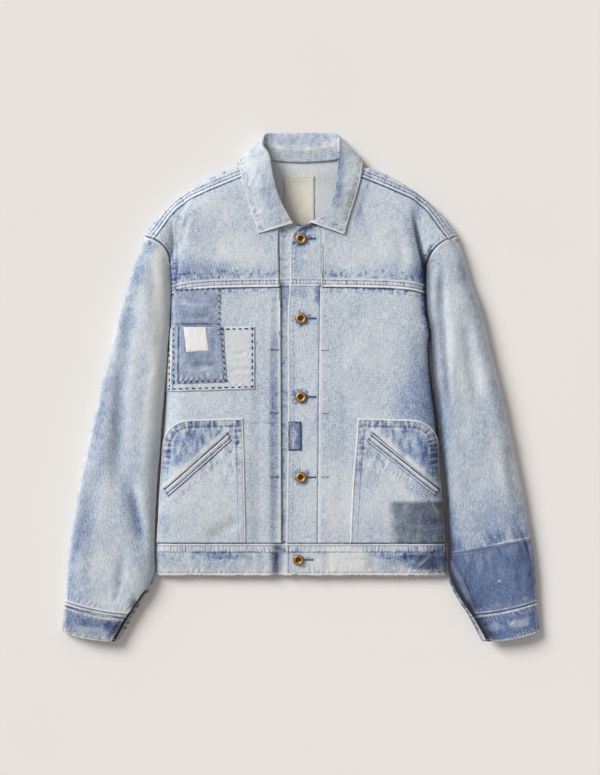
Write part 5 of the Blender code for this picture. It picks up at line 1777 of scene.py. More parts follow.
@dataclass
class Closing:
    """The closing strip with its buttonholes, the button stand and the buttons."""

    shop: Shop
    cloths: Finishes
    eye: float = 10.5
    hole_end: float = 22.5
    button_sides: int = 48

    def build(self) -> None:
        """Makes the stand, the placket on it and then the buttons."""
        self.stand()
        self.placket()
        for number, spot in enumerate(BUTTONS, 1):
            self.button(f"button_{number}", spot)

    def stand(self) -> None:
        """The strip that the buttons are fixed to."""
        x = np.concatenate([np.linspace(STAND_LEFT, -18, 14 if FINE < 3 else 8),
                            np.linspace(-12, STAND_RIGHT, 5)])
        y = np.linspace(WAIST_SEAM_Y + GAP, 538, int(485 / FINE))
        top = np.array(STAND_TOP, float)
        rise = np.interp(x, top[:, 0], top[:, 1]) - 538
        lifted = y[:, None] + rise * ease(y, 505, 538)[:, None]
        plan = np.stack(np.broadcast_arrays(x[None], lifted),
                        -1)
        wash = Wash(plan)
        wash.weather()
        edge = run((STAND_LEFT, 53), (STAND_LEFT, 556))
        wash.line(edge, Dose(worn=0.35), at=-1.2, width=1.0)
        y = plan[..., 1]
        x, below = plan[..., 0], 1 - ease(y, 446, 452)
        wash.indigo += (0.22 * ease(y, 340, 445) + 0.08) * below
        wash.soil += 0.08 * below
        wash.blotches(edge, Dose(indigo=0.26), -16, 2, 6.0, 0.3)
        cross = run((-40, 449.5), (-20, 449.5))
        wash.band(cross, Dose(worn=0.4), 2, 13, soft=2)
        wash.line(cross, Dose(indigo=0.5, relief=-0.3), width=1.4)
        for at in (4.2, 10.2):
            wash.line(cross, Dose(indigo=0.35, worn=-0.4), at=at, width=0.9)
        # Painted shadow of the right front's pleat along the stand's left edge, wider towards the
        # hem.
        wide = 1.6 + 1.6 * (1 - ease(y, 180, 360))
        wash.soil += 0.95 * below * (1 - ease(x, -32.6 + wide - 1, -32.6 + wide + 0.6))
        wash.worn += 0.12 * ease(x, -28, -22) * below
        above = ease(y, *YOKE_BAND)
        level = -PLEAT_DROP + (PLEAT_DROP - GAP) * ease(-x, 23, 36) * above
        level -= 0.7 * ease(-x, 31, 33) + 0.9 * ease(-x, 32.5, 35) * above
        grid = raised(with_z(plan, softened(body_height(plan), 4) + level), wash)
        self.shop.sew("button_stand", [Web(grid, wash, True)], STAND, self.cloths.faded,
                      self.cloths.reverse, Slot.MID, "back")

    def placket_plan(self, step: float) -> Array:
        """Plan points of the closing strip, up to its rounded top corner."""
        edge = smooth([*PLACKET_EDGE, PLACKET_TOP[1]])
        edge[0, 1] = WAIST_SEAM_Y + GAP
        rows = columns(490, step, 0.4, 5, (False, True))
        left = spread(edge, rows)
        right = np.stack([rows * 0 + PLACKET_RIGHT,
                          edge[0, 1] + (PLACKET_TOP[-1].y - edge[0, 1]) * rows], -1)
        shares = columns(54, step, 0.3, 3)
        top = spread(smooth(PLACKET_TOP[1:]), shares)
        bottom = left[0] + (right[0] - left[0]) * shares[:, None]
        return coons(bottom, top, left, right)

    def placket_points(self, plan: Array) -> Array:
        """The placket's outer points over this plan."""
        z = softened(body_height(plan), 4) + placket_level(plan[..., 0], plan[..., 1])
        return with_z(plan, z)

    def placket(self) -> None:
        """The closing strip: piped edge, topstitched, with dark bars at the buttonholes."""
        plan = self.placket_plan(FINE * 0.72)
        wash = Wash(plan, 40)
        wash.weather()
        edge = smooth([*PLACKET_EDGE, *PLACKET_TOP[1:]])
        wash.line(edge, Dose(worn=1.0, relief=0.35), at=-1.2, width=1.3, patches=0.15)
        wash.line(edge, Dose(relief=-0.3, indigo=0.14), at=-3.4, width=0.9)
        wash.rope(edge, -9.5, -3.5, 7.5, 0.22, 0.12, 0.22)
        wash.line(edge, Dose(relief=-0.2, indigo=0.1), at=-9.6, width=0.9)
        far = run((29, 53), (29, 446))
        wash.band(far, Dose(indigo=0.08), 0, 5, soft=4, patches=0.8)
        wash.cloud(26, 436, 7, 16, Dose(indigo=0.3), rough=0.9)
        wash.cloud(-4, 440, 20, 9, Dose(indigo=0.2), rough=0.9)
        wash.cloud(-8, 500, 16, 40, Dose(indigo=0.12), rough=0.7)
        # Deeper blue with painted shade under the collar's points.
        wash.cloud(0, 540, 30, 9, Dose(indigo=0.45, soil=0.3), rough=0.6)
        collar_side = run((33.2, 452), (33.2, 552))
        wash.line(collar_side, Dose(worn=0.9, relief=0.3), at=1.0, width=1.1)
        cross = run((-24, 449.5), (34, 449.5))
        wash.line(cross, Dose(indigo=0.35, relief=-0.3), at=0.0, width=1.1)
        wash.line(cross, Dose(worn=0.7, relief=0.4), at=1.8, width=1.2)
        wash.band(cross, Dose(worn=0.4), 1.5, 13, soft=1.5, patches=0.3, cell=7)
        wash.cells(cross, Dose(indigo=0.45, worn=-0.5, relief=-0.3), 4.2, 10.2, 5.6)
        for at in (4.2, 10.2):
            wash.line(cross, Dose(relief=-0.25, indigo=0.34, worn=-0.4), at=at, width=0.9)
        for spot in BUTTONS[:4]:
            bar = run((self.eye + 1.5, spot.y), (self.hole_end, spot.y))
            wash.line(bar, Dose(indigo=0.2), width=3.4, patches=0.9)
            # Painted shade in each buttonhole's slit.
            wash.line(bar, Dose(soil=0.7, relief=-0.7), width=0.8, patches=0.1)
            wash.cloud(spot.x + 11.5, spot.y, 1.8, 1.5, Dose(worn=1.2, soil=-1.0))
            wash.cloud(spot.x, spot.y, 13, 13, Dose(indigo=0.14))
            # Painted shadow of each button, offset a little below it.
            wash.cloud(spot.x + 1.5, spot.y - 2.0, 11, 11, Dose(soil=0.3))
            ring = np.array([(spot.x + 14 * math.cos(a), spot.y + 11 * math.sin(a))
                             for a in np.linspace(0, 2 * math.pi, 40)])
            wash.blotches(ring, Dose(indigo=0.36), -2, 6, 3.0, 0.45)
        wash.crease(((0, 60), (10, 61.5), (20, 63)), Dose(-0.5, indigo=0.15), 1.6, lip=0.2)
        # Deeper blue with painted shade under the collar's points.
        wash.cloud(5, 547, 24, 9, Dose(indigo=0.5, soil=0.25))
        wash.cloud(-12, 330, 7, 60, Dose(indigo=0.08))
        grid = raised(self.placket_points(plan), wash)
        self.shop.sew("placket", [Web(grid, wash, True)], DOUBLED, self.cloths.faded,
                      self.cloths.faded, Slot.FADED, "button_stand")

    def button(self, name: str, spot: Point) -> None:
        """One ring button, turned round its own axis and tilted with the cloth.

        Args:
            name: the button's name, also that of its CAD node.
            spot: its middle, in plan.
        """
        bowl = [(0.01, 2.15), (0.7, 2.05), (1.25, 1.5), (1.7, 1.3), (2.5, 1.3), (3.1, 1.75)]
        ring = smooth([(3.1, 1.75), (4.6, 3.3), (6.2, 3.7), (7.7, 3.1), (8.6, 1.75), (8.2, 0.5)], 4)
        foot = [(6.8, 0.0), (0.01, 0.0)]
        profile = np.vstack([bowl[:-1], ring, foot])
        turns = np.linspace(0, 2 * math.pi, self.button_sides + 1)
        rim = 1 + 0.006 * np.sin(3 * turns + spot.y)
        x = profile[:, :1] * np.cos(turns) * rim
        y = profile[:, :1] * np.sin(turns) * rim
        z = np.repeat(profile[:, 1:], len(turns), 1)
        x[0] = y[0] = x[-1] = y[-1] = 0
        heights = body_height(np.array([(spot.x, spot.y - 8), (spot.x, spot.y + 8), spot]))
        tilt = math.atan2(heights[1] - heights[0], 16)
        drop = PLACKET_DROP if spot.y > WAIST_SEAM_Y else 0
        lift = heights[2] - drop + 0.4
        y, z = y * math.cos(tilt) - z * math.sin(tilt), y * math.sin(tilt) + z * math.cos(tilt)
        grid = np.stack([x + spot.x, y + spot.y, z + lift], -1)
        grid[:, -1] = grid[:, 0]
        wash = Wash(grid[..., :2])
        radius = np.repeat(profile[:, :1], len(turns), 1)
        height = np.repeat(profile[:, 1:], len(turns), 1)
        wash.soil = np.where((radius < 3.0) & (radius > 0.9), 0.9, 0) + 0.5 * (height < 1.2)
        wash.worn = ease(height, 2.8, 3.7) * (radius > 3)
        mesh = drawn_mesh(name, [Web(grid, wash)])
        mesh.materials.append(self.cloths.brass)
        self.shop.hang(placed(name + "_turned", mesh), Slot.BRASS, name)


# ---------------------------------------------------------------- waistband, sleeves, collar


@dataclass
class Waistband:
    """The strip all round the hem, whose left end laps over its right end."""

    shop: Shop
    cloths: Finishes

    def build(self) -> None:
        """Makes the strip."""
        y = HEM_Y + (WAIST_SEAM_Y - GAP / 2 - HEM_Y) * columns(50, FINE * 0.85, 0.3, 3)
        shares = columns(248, FINE, 0.15, 8)
        under = np.linspace(0, 1, 50)[1:-1]
        under = under + 0.02 * np.sin(2 * math.pi * under) * -1
        left, right, low = along(LEFT.body_edge, y), along(RIGHT.body_edge, y), waist_edge(y)
        over_x = BAND_LEFT_END + (left[:, None] - BAND_LEFT_END) * shares
        lapped_x = BAND_LAP_START + (right[:, None] - BAND_LAP_START) * shares[::-1]
        under_x = left[:, None] + (right - left)[:, None] * under
        lap_x = np.broadcast_to(np.linspace(-42, BAND_LAP_END, 14), (len(y), 14))
        parts = []
        for x in (over_x, under_x, lapped_x, lap_x):
            worn_off = 0.8 * ripple(x / 9, 0 * x, 83) + 0.7 * ripple(x / 3, 0 * x, 84)
            worn_off = np.clip(worn_off, -0.6, 1.6) * (1 - ease(y, 3, 14))[:, None]
            parts.append(np.stack([x, y[:, None] + worn_off], -1))
        edge = np.minimum(left[:, None] - under_x, under_x - right[:, None])
        z_under = low[:, None] * (1 - roll(edge, UNDER_ROLL))
        dip = (DOUBLED + 2 * GAP) * ease(lap_x, BAND_LAP_START, -29)
        heights = [softened(body_height(parts[0]), 4), z_under, softened(body_height(parts[2]), 4),
                   body_height(parts[3]) - dip]
        wash = self.worn(np.concatenate(parts, 1), (over_x.shape[1], under_x.shape[1]))
        points = with_z(np.concatenate(parts, 1), np.concatenate(heights, 1))
        grid = raised(points, wash)
        self.shop.sew("waistband", [Web(grid, wash, True)], DOUBLED, self.cloths.faded,
                      self.cloths.faded, Slot.FADED)

    def worn(self, xy: Array, counts: tuple[int, int]) -> Wash:
        """The strip's seams, puckers and frayed hem, with painted shade in its folds.

        Args:
            xy: its plan points.
            counts: how many columns lie over, on the left, and under.

        Returns:
            The marked wash, flat where the strip lies under.
        """
        wash = Wash(xy, 70)
        wash.weather(0.8)
        seam = run((-230, 53), (230, 53))
        wash.line(seam, Dose(indigo=0.8, relief=-0.5), at=-0.5, width=1.0, wander=0.2)
        wash.line(seam, Dose(worn=0.85, relief=0.3), at=-2.4, width=1.1)
        wash.line(seam, Dose(indigo=0.45, relief=-0.25), at=-4.2, width=0.8)
        wash.band(seam, Dose(worn=0.25), -13, -5, soft=1.5, patches=0.6, cell=8)
        wash.rope(seam, -14, -4.5, 6.5, 0.4, 0.1, 0.6, lean=0.1)
        wash.cells(seam, Dose(indigo=0.4, worn=-0.8, relief=-0.3), -13, -5.5, 4.6)
        # Painted shade in the fold beside the closing.
        for by in (1.6, 1.1, 0.7):
            wash.cloud(-38, 20, 7 * by, 32, Dose(indigo=0.12, soil=0.12), rough=0.2)
        wash.cloud(55, 28, 60, 26, Dose(indigo=-0.16, worn=0.16), rough=0.3)
        # Deeper blue with painted shade towards the wearer's left end.
        for by in (1.6, 1.1, 0.7):
            wash.cloud(208, 26, 34 * by, 34, Dose(indigo=0.14, soil=0.1), rough=0.2)
        wash.line(seam, Dose(indigo=0.5, relief=-0.25), at=-14.0, width=1.0, patches=0.8)
        wash.spikes(seam, 9, Dose(indigo=0.3), 3.0, start=14.5, side=-1, sparse=0.3)
        wash.blotches(seam, Dose(indigo=0.25), -26, -14, 4.0, 0.35)
        wash.cloud(-128, 35, 38, 6, Dose(indigo=0.26), rough=0.9)
        wash.cloud(140, 34, 50, 5, Dose(indigo=0.16), rough=0.9)
        wash.cloud(70, 26, 44, 22, Dose(indigo=-0.12, worn=0.1), rough=0.5)
        for x, wide, deep in ((-200, 22, 0.1), (-120, 50, 0.1), (130, 40, 0.12),
                              (190, 44, 0.3)):
            wash.cloud(x, 24, wide, 16, Dose(indigo=deep, soil=0.35 * deep), rough=0.8)
        hem = run((-230, 3), (230, 3))
        wash.line(hem, Dose(worn=1.0, soil=0.06), at=0.8, width=1.8, patches=0.4)
        wash.line(hem, Dose(relief=-0.25, indigo=0.1), at=4.6, width=0.8)
        wash.rope(hem, 2.0, 14, 9.0, 0.4, 0.06, 0.3, lean=0.0)
        wash.blotches(hem, Dose(worn=0.6), 0, 7, 3.0, 0.4)
        end = run((BAND_LEFT_END, 3), (BAND_LEFT_END, 53))
        wash.line(end, Dose(worn=0.9, relief=0.2), at=-1.0, width=1.2)
        wash.line(end, Dose(indigo=0.3, relief=-0.2), at=-4.0, width=0.8)
        wash.crease(((178, 14), (190, 24), (205, 37)), Dose(0.5, worn=0.5), 2.0, lip=0.0)
        wash.crease(((184, 10), (200, 30), (210, 44)), Dose(-0.8, soil=0.08), 2.5)
        wash.crease(((-120, 16), (-110, 30), (-104, 40)), Dose(-0.5), 3.0, lip=0.3)
        wash.cloud(-15, 45, 5, 6, Dose(worn=0.8))
        wash.cloud(15, 34, 12, 10, Dose(indigo=0.12))
        # Painted shade in the same fold.
        wash.crease(((-38, 60), (-39, 25), (-38, -6)), Dose(-1.2, soil=0.3), 6, lip=0.2)
        for x, depth in ((-160, 0.8), (-78, 1.0), (-62, 0.8), (40, 0.7), (110, 0.9),
                         (165, 1.1), (206, 1.0)):
            wash.crease(((x, 6), (x + 2, 25), (x - 1, 44)), Dose(-depth, soil=0.05), 6, lip=0.2)
        over, under = counts
        wash.relief[:, over:over + under] = 0
        wash.worn[:, over:over + under] *= 0.4
        return wash


RING_STEPS, RING_LENGTHS, RING_GAP = (0, 10, 13, 15), (0, 460, 560, 606), 0.004


@dataclass
class Sleeves:
    """Both sleeves with their cuffs, as one run of rings down each arm."""

    shop: Shop
    cloths: Finishes

    def build(self) -> None:
        """Makes each length of sleeve, from the armhole down."""
        faded, dark = self.cloths.faded, self.cloths.dark
        self.length(RIGHT, "sleeve_right", 0, CUFF_RING, CLOTH, faded, Slot.FADED)
        self.length(LEFT, "sleeve_left", 0, LAST_LIGHT_RING, CLOTH, faded, Slot.FADED)
        self.length(LEFT, "sleeve_left_end", LAST_LIGHT_RING, CUFF_RING, CLOTH, dark, Slot.DARK)
        self.length(RIGHT, "cuff_right", CUFF_RING, LAST_RING, DOUBLED, faded, Slot.FADED)
        self.length(LEFT, "cuff_left", CUFF_RING, LAST_RING, DOUBLED, self.cloths.mid, Slot.DARK)

    def layer(self, line: Array, naturals: Array, shares: Array, start: Array, end: Array,
              ring: Array) -> Array:
        """One layer of the rings in plan.

        Args:
            line: the armhole's line, at each column.
            naturals: each column's share of that line.
            shares: and its share of a ring lower down.
            start: where each ring starts, in plan.
            end: where it ends.
            ring: the Ring values, a row for each ring.

        Returns:
            Plan points, a row for each ring.
        """
        bulge = np.clip(ring[:, 3], 0, 1)[:, None]
        keep = np.minimum(1, bulge * BULGE_KEEP)
        at = keep * naturals + (1 - keep) * shares
        straight = line[0] + (line[-1] - line[0]) * naturals[:, None]
        plan = start[:, None] + (end - start)[:, None] * at[..., None]
        plan = plan + (line - straight)[None] * bulge[..., None]
        plan[..., 1] -= np.clip(ring[:, 4], 0, 9)[:, None] * 4 * at * (1 - at)
        return plan

    def length(self, curves: Side, name: str, first: float, last: float, wall: float,
               cloth: bpy.types.Material, slot: Slot) -> None:
        """One length of sleeve or a cuff.

        Args:
            curves: the half of the jacket.
            name: the piece's name, also that of its CAD node.
            first: the ring where it starts.
            last: the ring where it ends.
            wall: its thickness.
            cloth: its finish.
            slot: the record's material slot.
        """
        start, end = np.interp([first, last], RING_STEPS, RING_LENGTHS)
        shares_down = columns(end - start, FINE, 0.35, 4)
        steps = first + RING_GAP + (last - first - 2 * RING_GAP) * shares_down
        ring = at_step(SLEEVE_RINGS, steps)
        vent = np.clip(ring[:, 5], 0, 2)
        outer = np.stack([along(curves.outer_edge, ring[:, 0]), ring[:, 0]], -1)
        inner = np.stack([along(curves.inner_edge, ring[:, 1]), ring[:, 1]], -1)
        lip = np.stack([-curves.side * VENT_LIP * vent, vent * 0], -1)
        s = columns(92, FINE * 0.95, 0.12, 9)
        t = np.interp(s, TOP_SHARES, np.arange(11))
        armhole = at_step(curves.armhole, t)
        over = self.layer(armhole, shares_of(armhole), s, outer, inner, ring)
        s_low = columns(92, 5.5, 0.12, 9)
        t_low = np.interp(s_low, UNDER_SHARES, np.arange(7))
        hole = at_step(curves.armhole_back, t_low)
        under = self.layer(hole, shares_of(hole), s_low, inner + lip, outer, ring)
        top = lofted(over, curves, curves.inner_edge, ring[:, 2][:, None], CREASE_ROLL,
                     (1 - VENT_FLATNESS * vent)[:, None])
        if first < 1:
            share = ease(steps, 0, 1)[:, None]
            top = top * share + body_height(over) * (1 - share)
        low = np.maximum(
            under_height(under, curves.outer),
            under_height(under, curves.inner_edge)
            * (1 - np.minimum(1, vent / VENT_OPEN))[:, None])
        top = softened(top, 5)
        top[:, 0] = low[:, -1] = EDGE_Z
        shut = vent < 0.01
        top[shut, -1] = low[shut, 0] = EDGE_Z
        wash = self.worn(over, curves, name)
        flat = Wash(under)
        flat.weather(0)
        for layer in ("indigo", "worn"):
            fade = np.clip(1 - np.arange(under.shape[1])[::-1] / 4, 0, 1)[None]
            setattr(flat, layer, getattr(flat, layer) + fade * getattr(wash, layer)[:, :1])
        by_the_rim = np.clip(1.6 - np.arange(under.shape[1]) / 2, 0, 1)
        edge = np.clip(vent / 0.3, 0, 1)[:, None] * by_the_rim
        ticks = np.clip(1.6 * ripple(steps * 11, steps * 0, 47), -0.2, 1)[:, None]
        flat.add(edge, Dose(worn=0.7) if curves.side < 0 else Dose(indigo=0.7, soil=0.2))
        flat.add(edge * ticks, Dose(indigo=0.9, worn=-0.9))
        cloth_over = raised(with_z(over, top), wash)
        cloth_over[:, 0] = with_z(over, top)[:, 0]
        cloth_over[shut, -1] = with_z(over, top)[shut, -1]
        if curves.side < 0:
            low_points, cloth_over = with_z(under, low)[:, ::-1], cloth_over[:, ::-1]
            joined = [cloth_over, low_points[:, 1:]]
            washes = [mirrored(wash), trimmed(mirrored(flat))]
        else:
            joined = [with_z(under, low), cloth_over[:, 1:]]
            washes = [flat, trimmed(wash)]
        grid = np.concatenate(joined, 1)
        whole = Wash(grid[..., :2])
        for layer in LAYERS:
            setattr(whole, layer, np.concatenate([getattr(w, layer) for w in washes], 1))
        self.shop.sew(name, [Web(grid, whole)], wall, cloth, self.cloths.reverse, slot)

    def worn(self, xy: Array, curves: Side, name: str) -> Wash:
        """The upper layer's seams, creases and fading, with painted shade and painted light along
        its edges.

        Args:
            xy: its plan points.
            curves: the half of the jacket.
            name: the piece's name.

        Returns:
            The marked wash.
        """
        wash = Wash(xy, 110 if curves.side > 0 else 150)
        wash.weather(1.15)
        s = curves.side
        head = curves.armhole_path(0, 5, 60)
        wash.line(head, Dose(indigo=0.6, relief=-0.5), at=0.6, width=1.1, side=s)
        wash.line(head, Dose(worn=0.95, relief=0.5), at=3.0, width=1.4, side=s)
        wash.rope(head, 4.0, 12, 6.5, 0.35, 0.3, 0.4, side=s)
        wash.spikes(head, 14, Dose(indigo=0.3), 3.0, start=6.0, side=s)
        hole = np.vstack([curves.armhole_path(5, 10, 60), curves.inner_edge[1:]])
        if s > 0:
            # Painted shadow of the body on the left sleeve's inner edge, stronger towards the cuff.
            low = 1 - ease(xy[..., 1], 40, 420)
            shade = Wash(xy, wash.seed + 70)
            shade.band(hole, Dose(soil=0.8, indigo=0.2), -4, 5, side=s, soft=10, patches=0)
            shade.band(hole, Dose(soil=0.3, indigo=0.22), -4, 14, side=s, soft=30, patches=0)
            wash.blend(shade, 0.7 + 0.5 * low)
        else:
            # A thin painted shadow in the valley beside the body, then painted light on the right
            # sleeve's inner half towards the shoulder.
            wash.band(hole, Dose(soil=0.5, indigo=0.3), -3, 0.3, side=s, soft=1.2)
            pale = Wash(xy, wash.seed + 70)
            pale.band(hole, Dose(worn=0.34, indigo=-0.26), 1.5, 26, side=s, soft=16, patches=0.2)
            wash.blend(pale, ease(xy[..., 1], 130, 320))
            # Painted shade along the right sleeve's outer edge.
            wash.band(curves.outer_edge, Dose(indigo=0.12, soil=0.06), -34, 0, side=s, soft=20,
                      patches=0.3)
        edge = curves.outer_edge
        wash.band(edge, Dose(worn=0.3), -4, 2, side=s, soft=4, patches=0.9)
        wash.band(edge, Dose(indigo=0.08), -16, -5, side=s, soft=6, patches=0.9)
        if s < 0:
            self.right_arm(wash)
        else:
            self.left_arm(wash, name)
        self.cuff_marks(wash, s, name)
        return wash

    def right_arm(self, wash: Wash) -> None:
        """Creases, with painted shade in their hollows, and blue areas of the right arm."""
        wash.crease(((-255, 440), (-270, 380), (-277, 300), (-280, 220), (-283, 150)),
                    Dose(-2.0, soil=0.08, indigo=0.06), 9, lip=0.5)
        wash.crease(((-232, 500), (-226, 450), (-222, 390), (-222, 330)), Dose(-1.2, soil=0.05), 8,
                    lip=0.4)
        wash.crease(((-306, 190), (-318, 110), (-326, 40), (-330, -20)), Dose(-1.1, soil=0.05), 8,
                    lip=0.4)
        wash.crease(((-272, 60), (-276, 20), (-284, -25)), Dose(-1.2, soil=0.08), 6, lip=0.4)
        wash.crease(((-325, 140), (-330, 100), (-345, 30)), Dose(-1.0, indigo=0.08), 6, lip=0.3)
        wash.crease(((-262, 150), (-255, 100), (-245, 50)), Dose(-1.2, indigo=0.2), 6, lip=0.3)
        wash.crease(((-278, 0), (-283, -20), (-290, -40)), Dose(-0.9, indigo=0.15), 3.5, lip=0.3)
        wash.crease(((-262, -20), (-256, -35), (-262, -52)), Dose(-0.7, soil=0.1), 3, lip=0.2)
        wash.crease(((-225, 330), (-240, 310), (-262, 302)), Dose(-0.6), 5, lip=0.2)
        wash.crease(((-300, 260), (-285, 245), (-262, 240)), Dose(-0.5), 6, lip=0.2)
        wash.cloud(-260, 90, 18, 80, Dose(indigo=0.16), 8, rough=0.5)
        wash.cloud(-300, 250, 34, 150, Dose(indigo=0.06, soil=0.03), 10, rough=0.4)
        wash.cloud(-330, 60, 22, 110, Dose(indigo=0.07, soil=0.03), 8, rough=0.4)
        wash.cloud(-285, 0, 16, 40, Dose(indigo=0.1, soil=0.04), 8, rough=0.4)
        wash.cloud(-300, 380, 20, 60, Dose(indigo=-0.06, worn=0.08), 10)
        wash.cloud(-245, 420, 18, 50, Dose(indigo=-0.05, worn=0.06), 10)
        wash.cloud(-330, 0, 24, 34, Dose(indigo=-0.04, worn=0.08))
        wash.cloud(-252, 470, 16, 24, Dose(indigo=0.1), 30)

    def left_arm(self, wash: Wash, name: str) -> None:
        """Creases, with painted shade in their hollows, and blue areas of the left arm, with the
        seam of its darker end.
        """
        # Painted shade in the deep fold beside the body.
        wash.crease(((216, 508), (216, 470), (216, 425), (219, 370), (224, 300), (230, 240)),
                    Dose(-2.0, soil=0.3, indigo=0.08), 5.5, lip=0.5)
        wash.crease(((250, 505), (262, 450), (276, 390), (290, 320)), Dose(-1.4, soil=0.08), 9,
                    lip=0.5)
        wash.crease(((244, 230), (252, 160), (258, 100)), Dose(-1.2, soil=0.08), 9, lip=0.4)
        wash.crease(((318, 210), (326, 150), (336, 100)), Dose(-1.2, soil=0.06), 7, lip=0.4)
        wash.crease(((235, 410), (236, 360), (234, 300)), Dose(1.0, worn=0.1), 6)
        wash.crease(((255, 400), (262, 330), (275, 270)), Dose(-1.4, indigo=0.06), 8, lip=0.3)
        wash.crease(((292, 240), (298, 180), (306, 120)), Dose(-0.8), 8, lip=0.2)
        wash.crease(((330, 85), (338, 75), (345, 60), (352, 40), (356, 25)),
                    Dose(-1.7, soil=0.12), 2.4, lip=0.7)
        wash.crease(((250, 90), (262, 75), (280, 66)), Dose(-0.7), 5, lip=0.3)
        wash.cloud(290, 350, 24, 80, Dose(indigo=-0.05, worn=0.07), -10)
        for by, deep in ((1.6, 0.07), (1.2, 0.07), (0.85, 0.09), (0.6, 0.09)):
            wash.cloud(312, 78, 60 * by, 48 * by, Dose(indigo=0.8 * deep), -8, rough=0.3)
        wash.cloud(270, 200, 20, 90, Dose(indigo=0.08, soil=0.04), -8, rough=0.5)
        wash.cloud(250, 470, 16, 24, Dose(indigo=0.1), -30)
        seam = smooth([(230, 36), (260, 39), (280, 42), (300, 49), (320, 55), (340, 57),
                       (359, 60)])
        if name != "sleeve_left":
            wash.line(seam, Dose(worn=0.3, relief=0.3), at=-1.4, width=1.0, patches=0.6)
            wash.spikes(seam, 60, Dose(indigo=-0.16, worn=0.12), 5.0, start=4.0, side=-1,
                        sparse=0.2)
            wash.crease(((300, 40), (304, 15), (310, -10)), Dose(-0.8, indigo=-0.1), 5, lip=0.3)
            wash.crease(((335, 30), (338, 0), (340, -30)), Dose(-0.9), 5, lip=0.3)
            wash.cloud(306, -5, 2.2, 2.2, Dose(worn=1.0))
            wash.cloud(258, 0, 10, 30, Dose(indigo=0.12))
        else:
            wash.line(seam, Dose(worn=0.6, relief=0.3), at=1.2, width=0.9, patches=0.5)
            wash.band(seam, Dose(indigo=0.2), 1, 10, soft=40, patches=0.2)
            wash.spikes(seam, 66, Dose(indigo=0.2), 3.4, start=4.0, sparse=0.1)
            wash.spikes(seam, 46, Dose(worn=0.35), 4.4, start=2.0, sparse=0.3)

    def cuff_marks(self, wash: Wash, s: int, name: str) -> None:
        """Seams and wear round one cuff, above and below its seam, with painted shadow at its vent.

        Args:
            wash: the grid to mark.
            s: the side, +1 for the wearer's left.
            name: the piece's name.
        """
        seam = smooth([(s * 367, -38), (s * 330, -48), (s * 300, -54), (s * 264, -58)])
        if not name.startswith("cuff"):
            wash.line(seam, Dose(worn=0.8, relief=0.4), at=-2.6, width=1.2, side=s)
            wash.rope(seam, -12, -3.5, 7.0, 0.4, 0.14, 0.4, side=s)
            wash.spikes(seam, 26, Dose(worn=0.22, indigo=0.1), 3.2, start=5.0, side=-s)
            wash.spikes(seam, 34, Dose(relief=-0.5, soil=0.05), 9.0, start=3.0, side=-s, sparse=0.4)
            if s > 0:
                strip = smooth([(228, 20), (243, -5), (255, -35), (265, -58)])
                wash.band(strip, Dose(worn=0.2, relief=0.3), 0, 8, soft=2)
                wash.line(strip, Dose(indigo=0.3, soil=0.1, relief=-0.3), at=9, width=1.0)
            # Painted shadow in the vent's gap and beside it.
            gap = smooth([(s * 241, -24), (s * 250, -37), (s * 258, -50), (s * 264.5, -58)])
            wash.band(gap, Dose(soil=1.0, indigo=0.3), -4, 1.6 if s > 0 else 3.4, side=s, soft=1.4,
                      patches=0)
            wash.cloud(s * 258, -46, 9, 16, Dose(soil=0.3, indigo=0.15), -30 * s)
            return
        wash.line(seam, Dose(indigo=0.8 if s > 0 else 0.5, relief=-0.4), at=0.6, width=1.0, side=s)
        wash.line(seam, Dose(worn=1.0, relief=0.4), at=2.6, width=1.3, side=s)
        bottom = smooth([(s * 372, -84), (s * 350, -91), (s * 330, -96), (s * 310, -99),
                         (s * 285, -100)])
        wash.line(bottom, Dose(worn=1.0, relief=0.2), at=-1.0, width=1.6, side=s, patches=0.4)
        wash.rope(bottom, -9, -2, 5.0, 0.3, 0.25, 0.4, side=s)
        if s < 0:
            wash.indigo += 0.18
            wash.soil += 0.16
            wash.band(seam, Dose(worn=0.6, indigo=-0.2), 1, 11, side=s, soft=1.5, patches=0.3)
            for at in (3.4, 6.4):
                wash.line(seam, Dose(indigo=0.9, worn=-1), at=at, width=0.9, side=s, patches=0.2)
            wash.cells(seam, Dose(soil=0.5, worn=-0.6), 9, 12, 7.0, side=s)
            wash.cloud(-318, -70, 32, 9, Dose(indigo=0.2, soil=0.08), -8)
            wash.cloud(-292, -78, 14, 14, Dose(indigo=0.24, soil=0.12))
            wash.cloud(-338, -80, 16, 6, Dose(indigo=-0.14, worn=0.1), -8)
            wash.blotches(bottom, Dose(worn=0.7), -8, 0, 3.0, 0.5, side=s)
            wash.blotches(bottom, Dose(soil=0.5), -3, 0, 2.6, 0.25, side=s)
        else:
            wash.indigo += 0.32
            wash.cloud(340, -70, 20, 8, Dose(indigo=-0.15, worn=0.25), 12, rough=0.8)
            wash.cloud(300, -76, 16, 7, Dose(indigo=-0.15, worn=0.2), rough=0.8)
            wash.crease(((318, -62), (324, -72), (332, -64)), Dose(0.3, worn=0.5), 1.4)
            wash.rope(seam, 4, 12, 6.0, 0.35, 0.3, 0.5, side=s)
        opening = smooth([(s * 264, -58), (s * 272, -70), (s * 280, -85), (s * 288, -98)])
        wash.line(opening, Dose(worn=0.4, relief=0.2), at=5.0, width=1.4, side=s, patches=0.7)
        # Painted shadow in the cuff's opening and beside it.
        wash.band(opening, Dose(soil=1.0, indigo=0.4), -4, 2.4 if s > 0 else 4.0, side=s, soft=1.4,
                  patches=0)
        wash.band(opening, Dose(soil=0.2, indigo=0.2), 2, 12, side=s, soft=6)


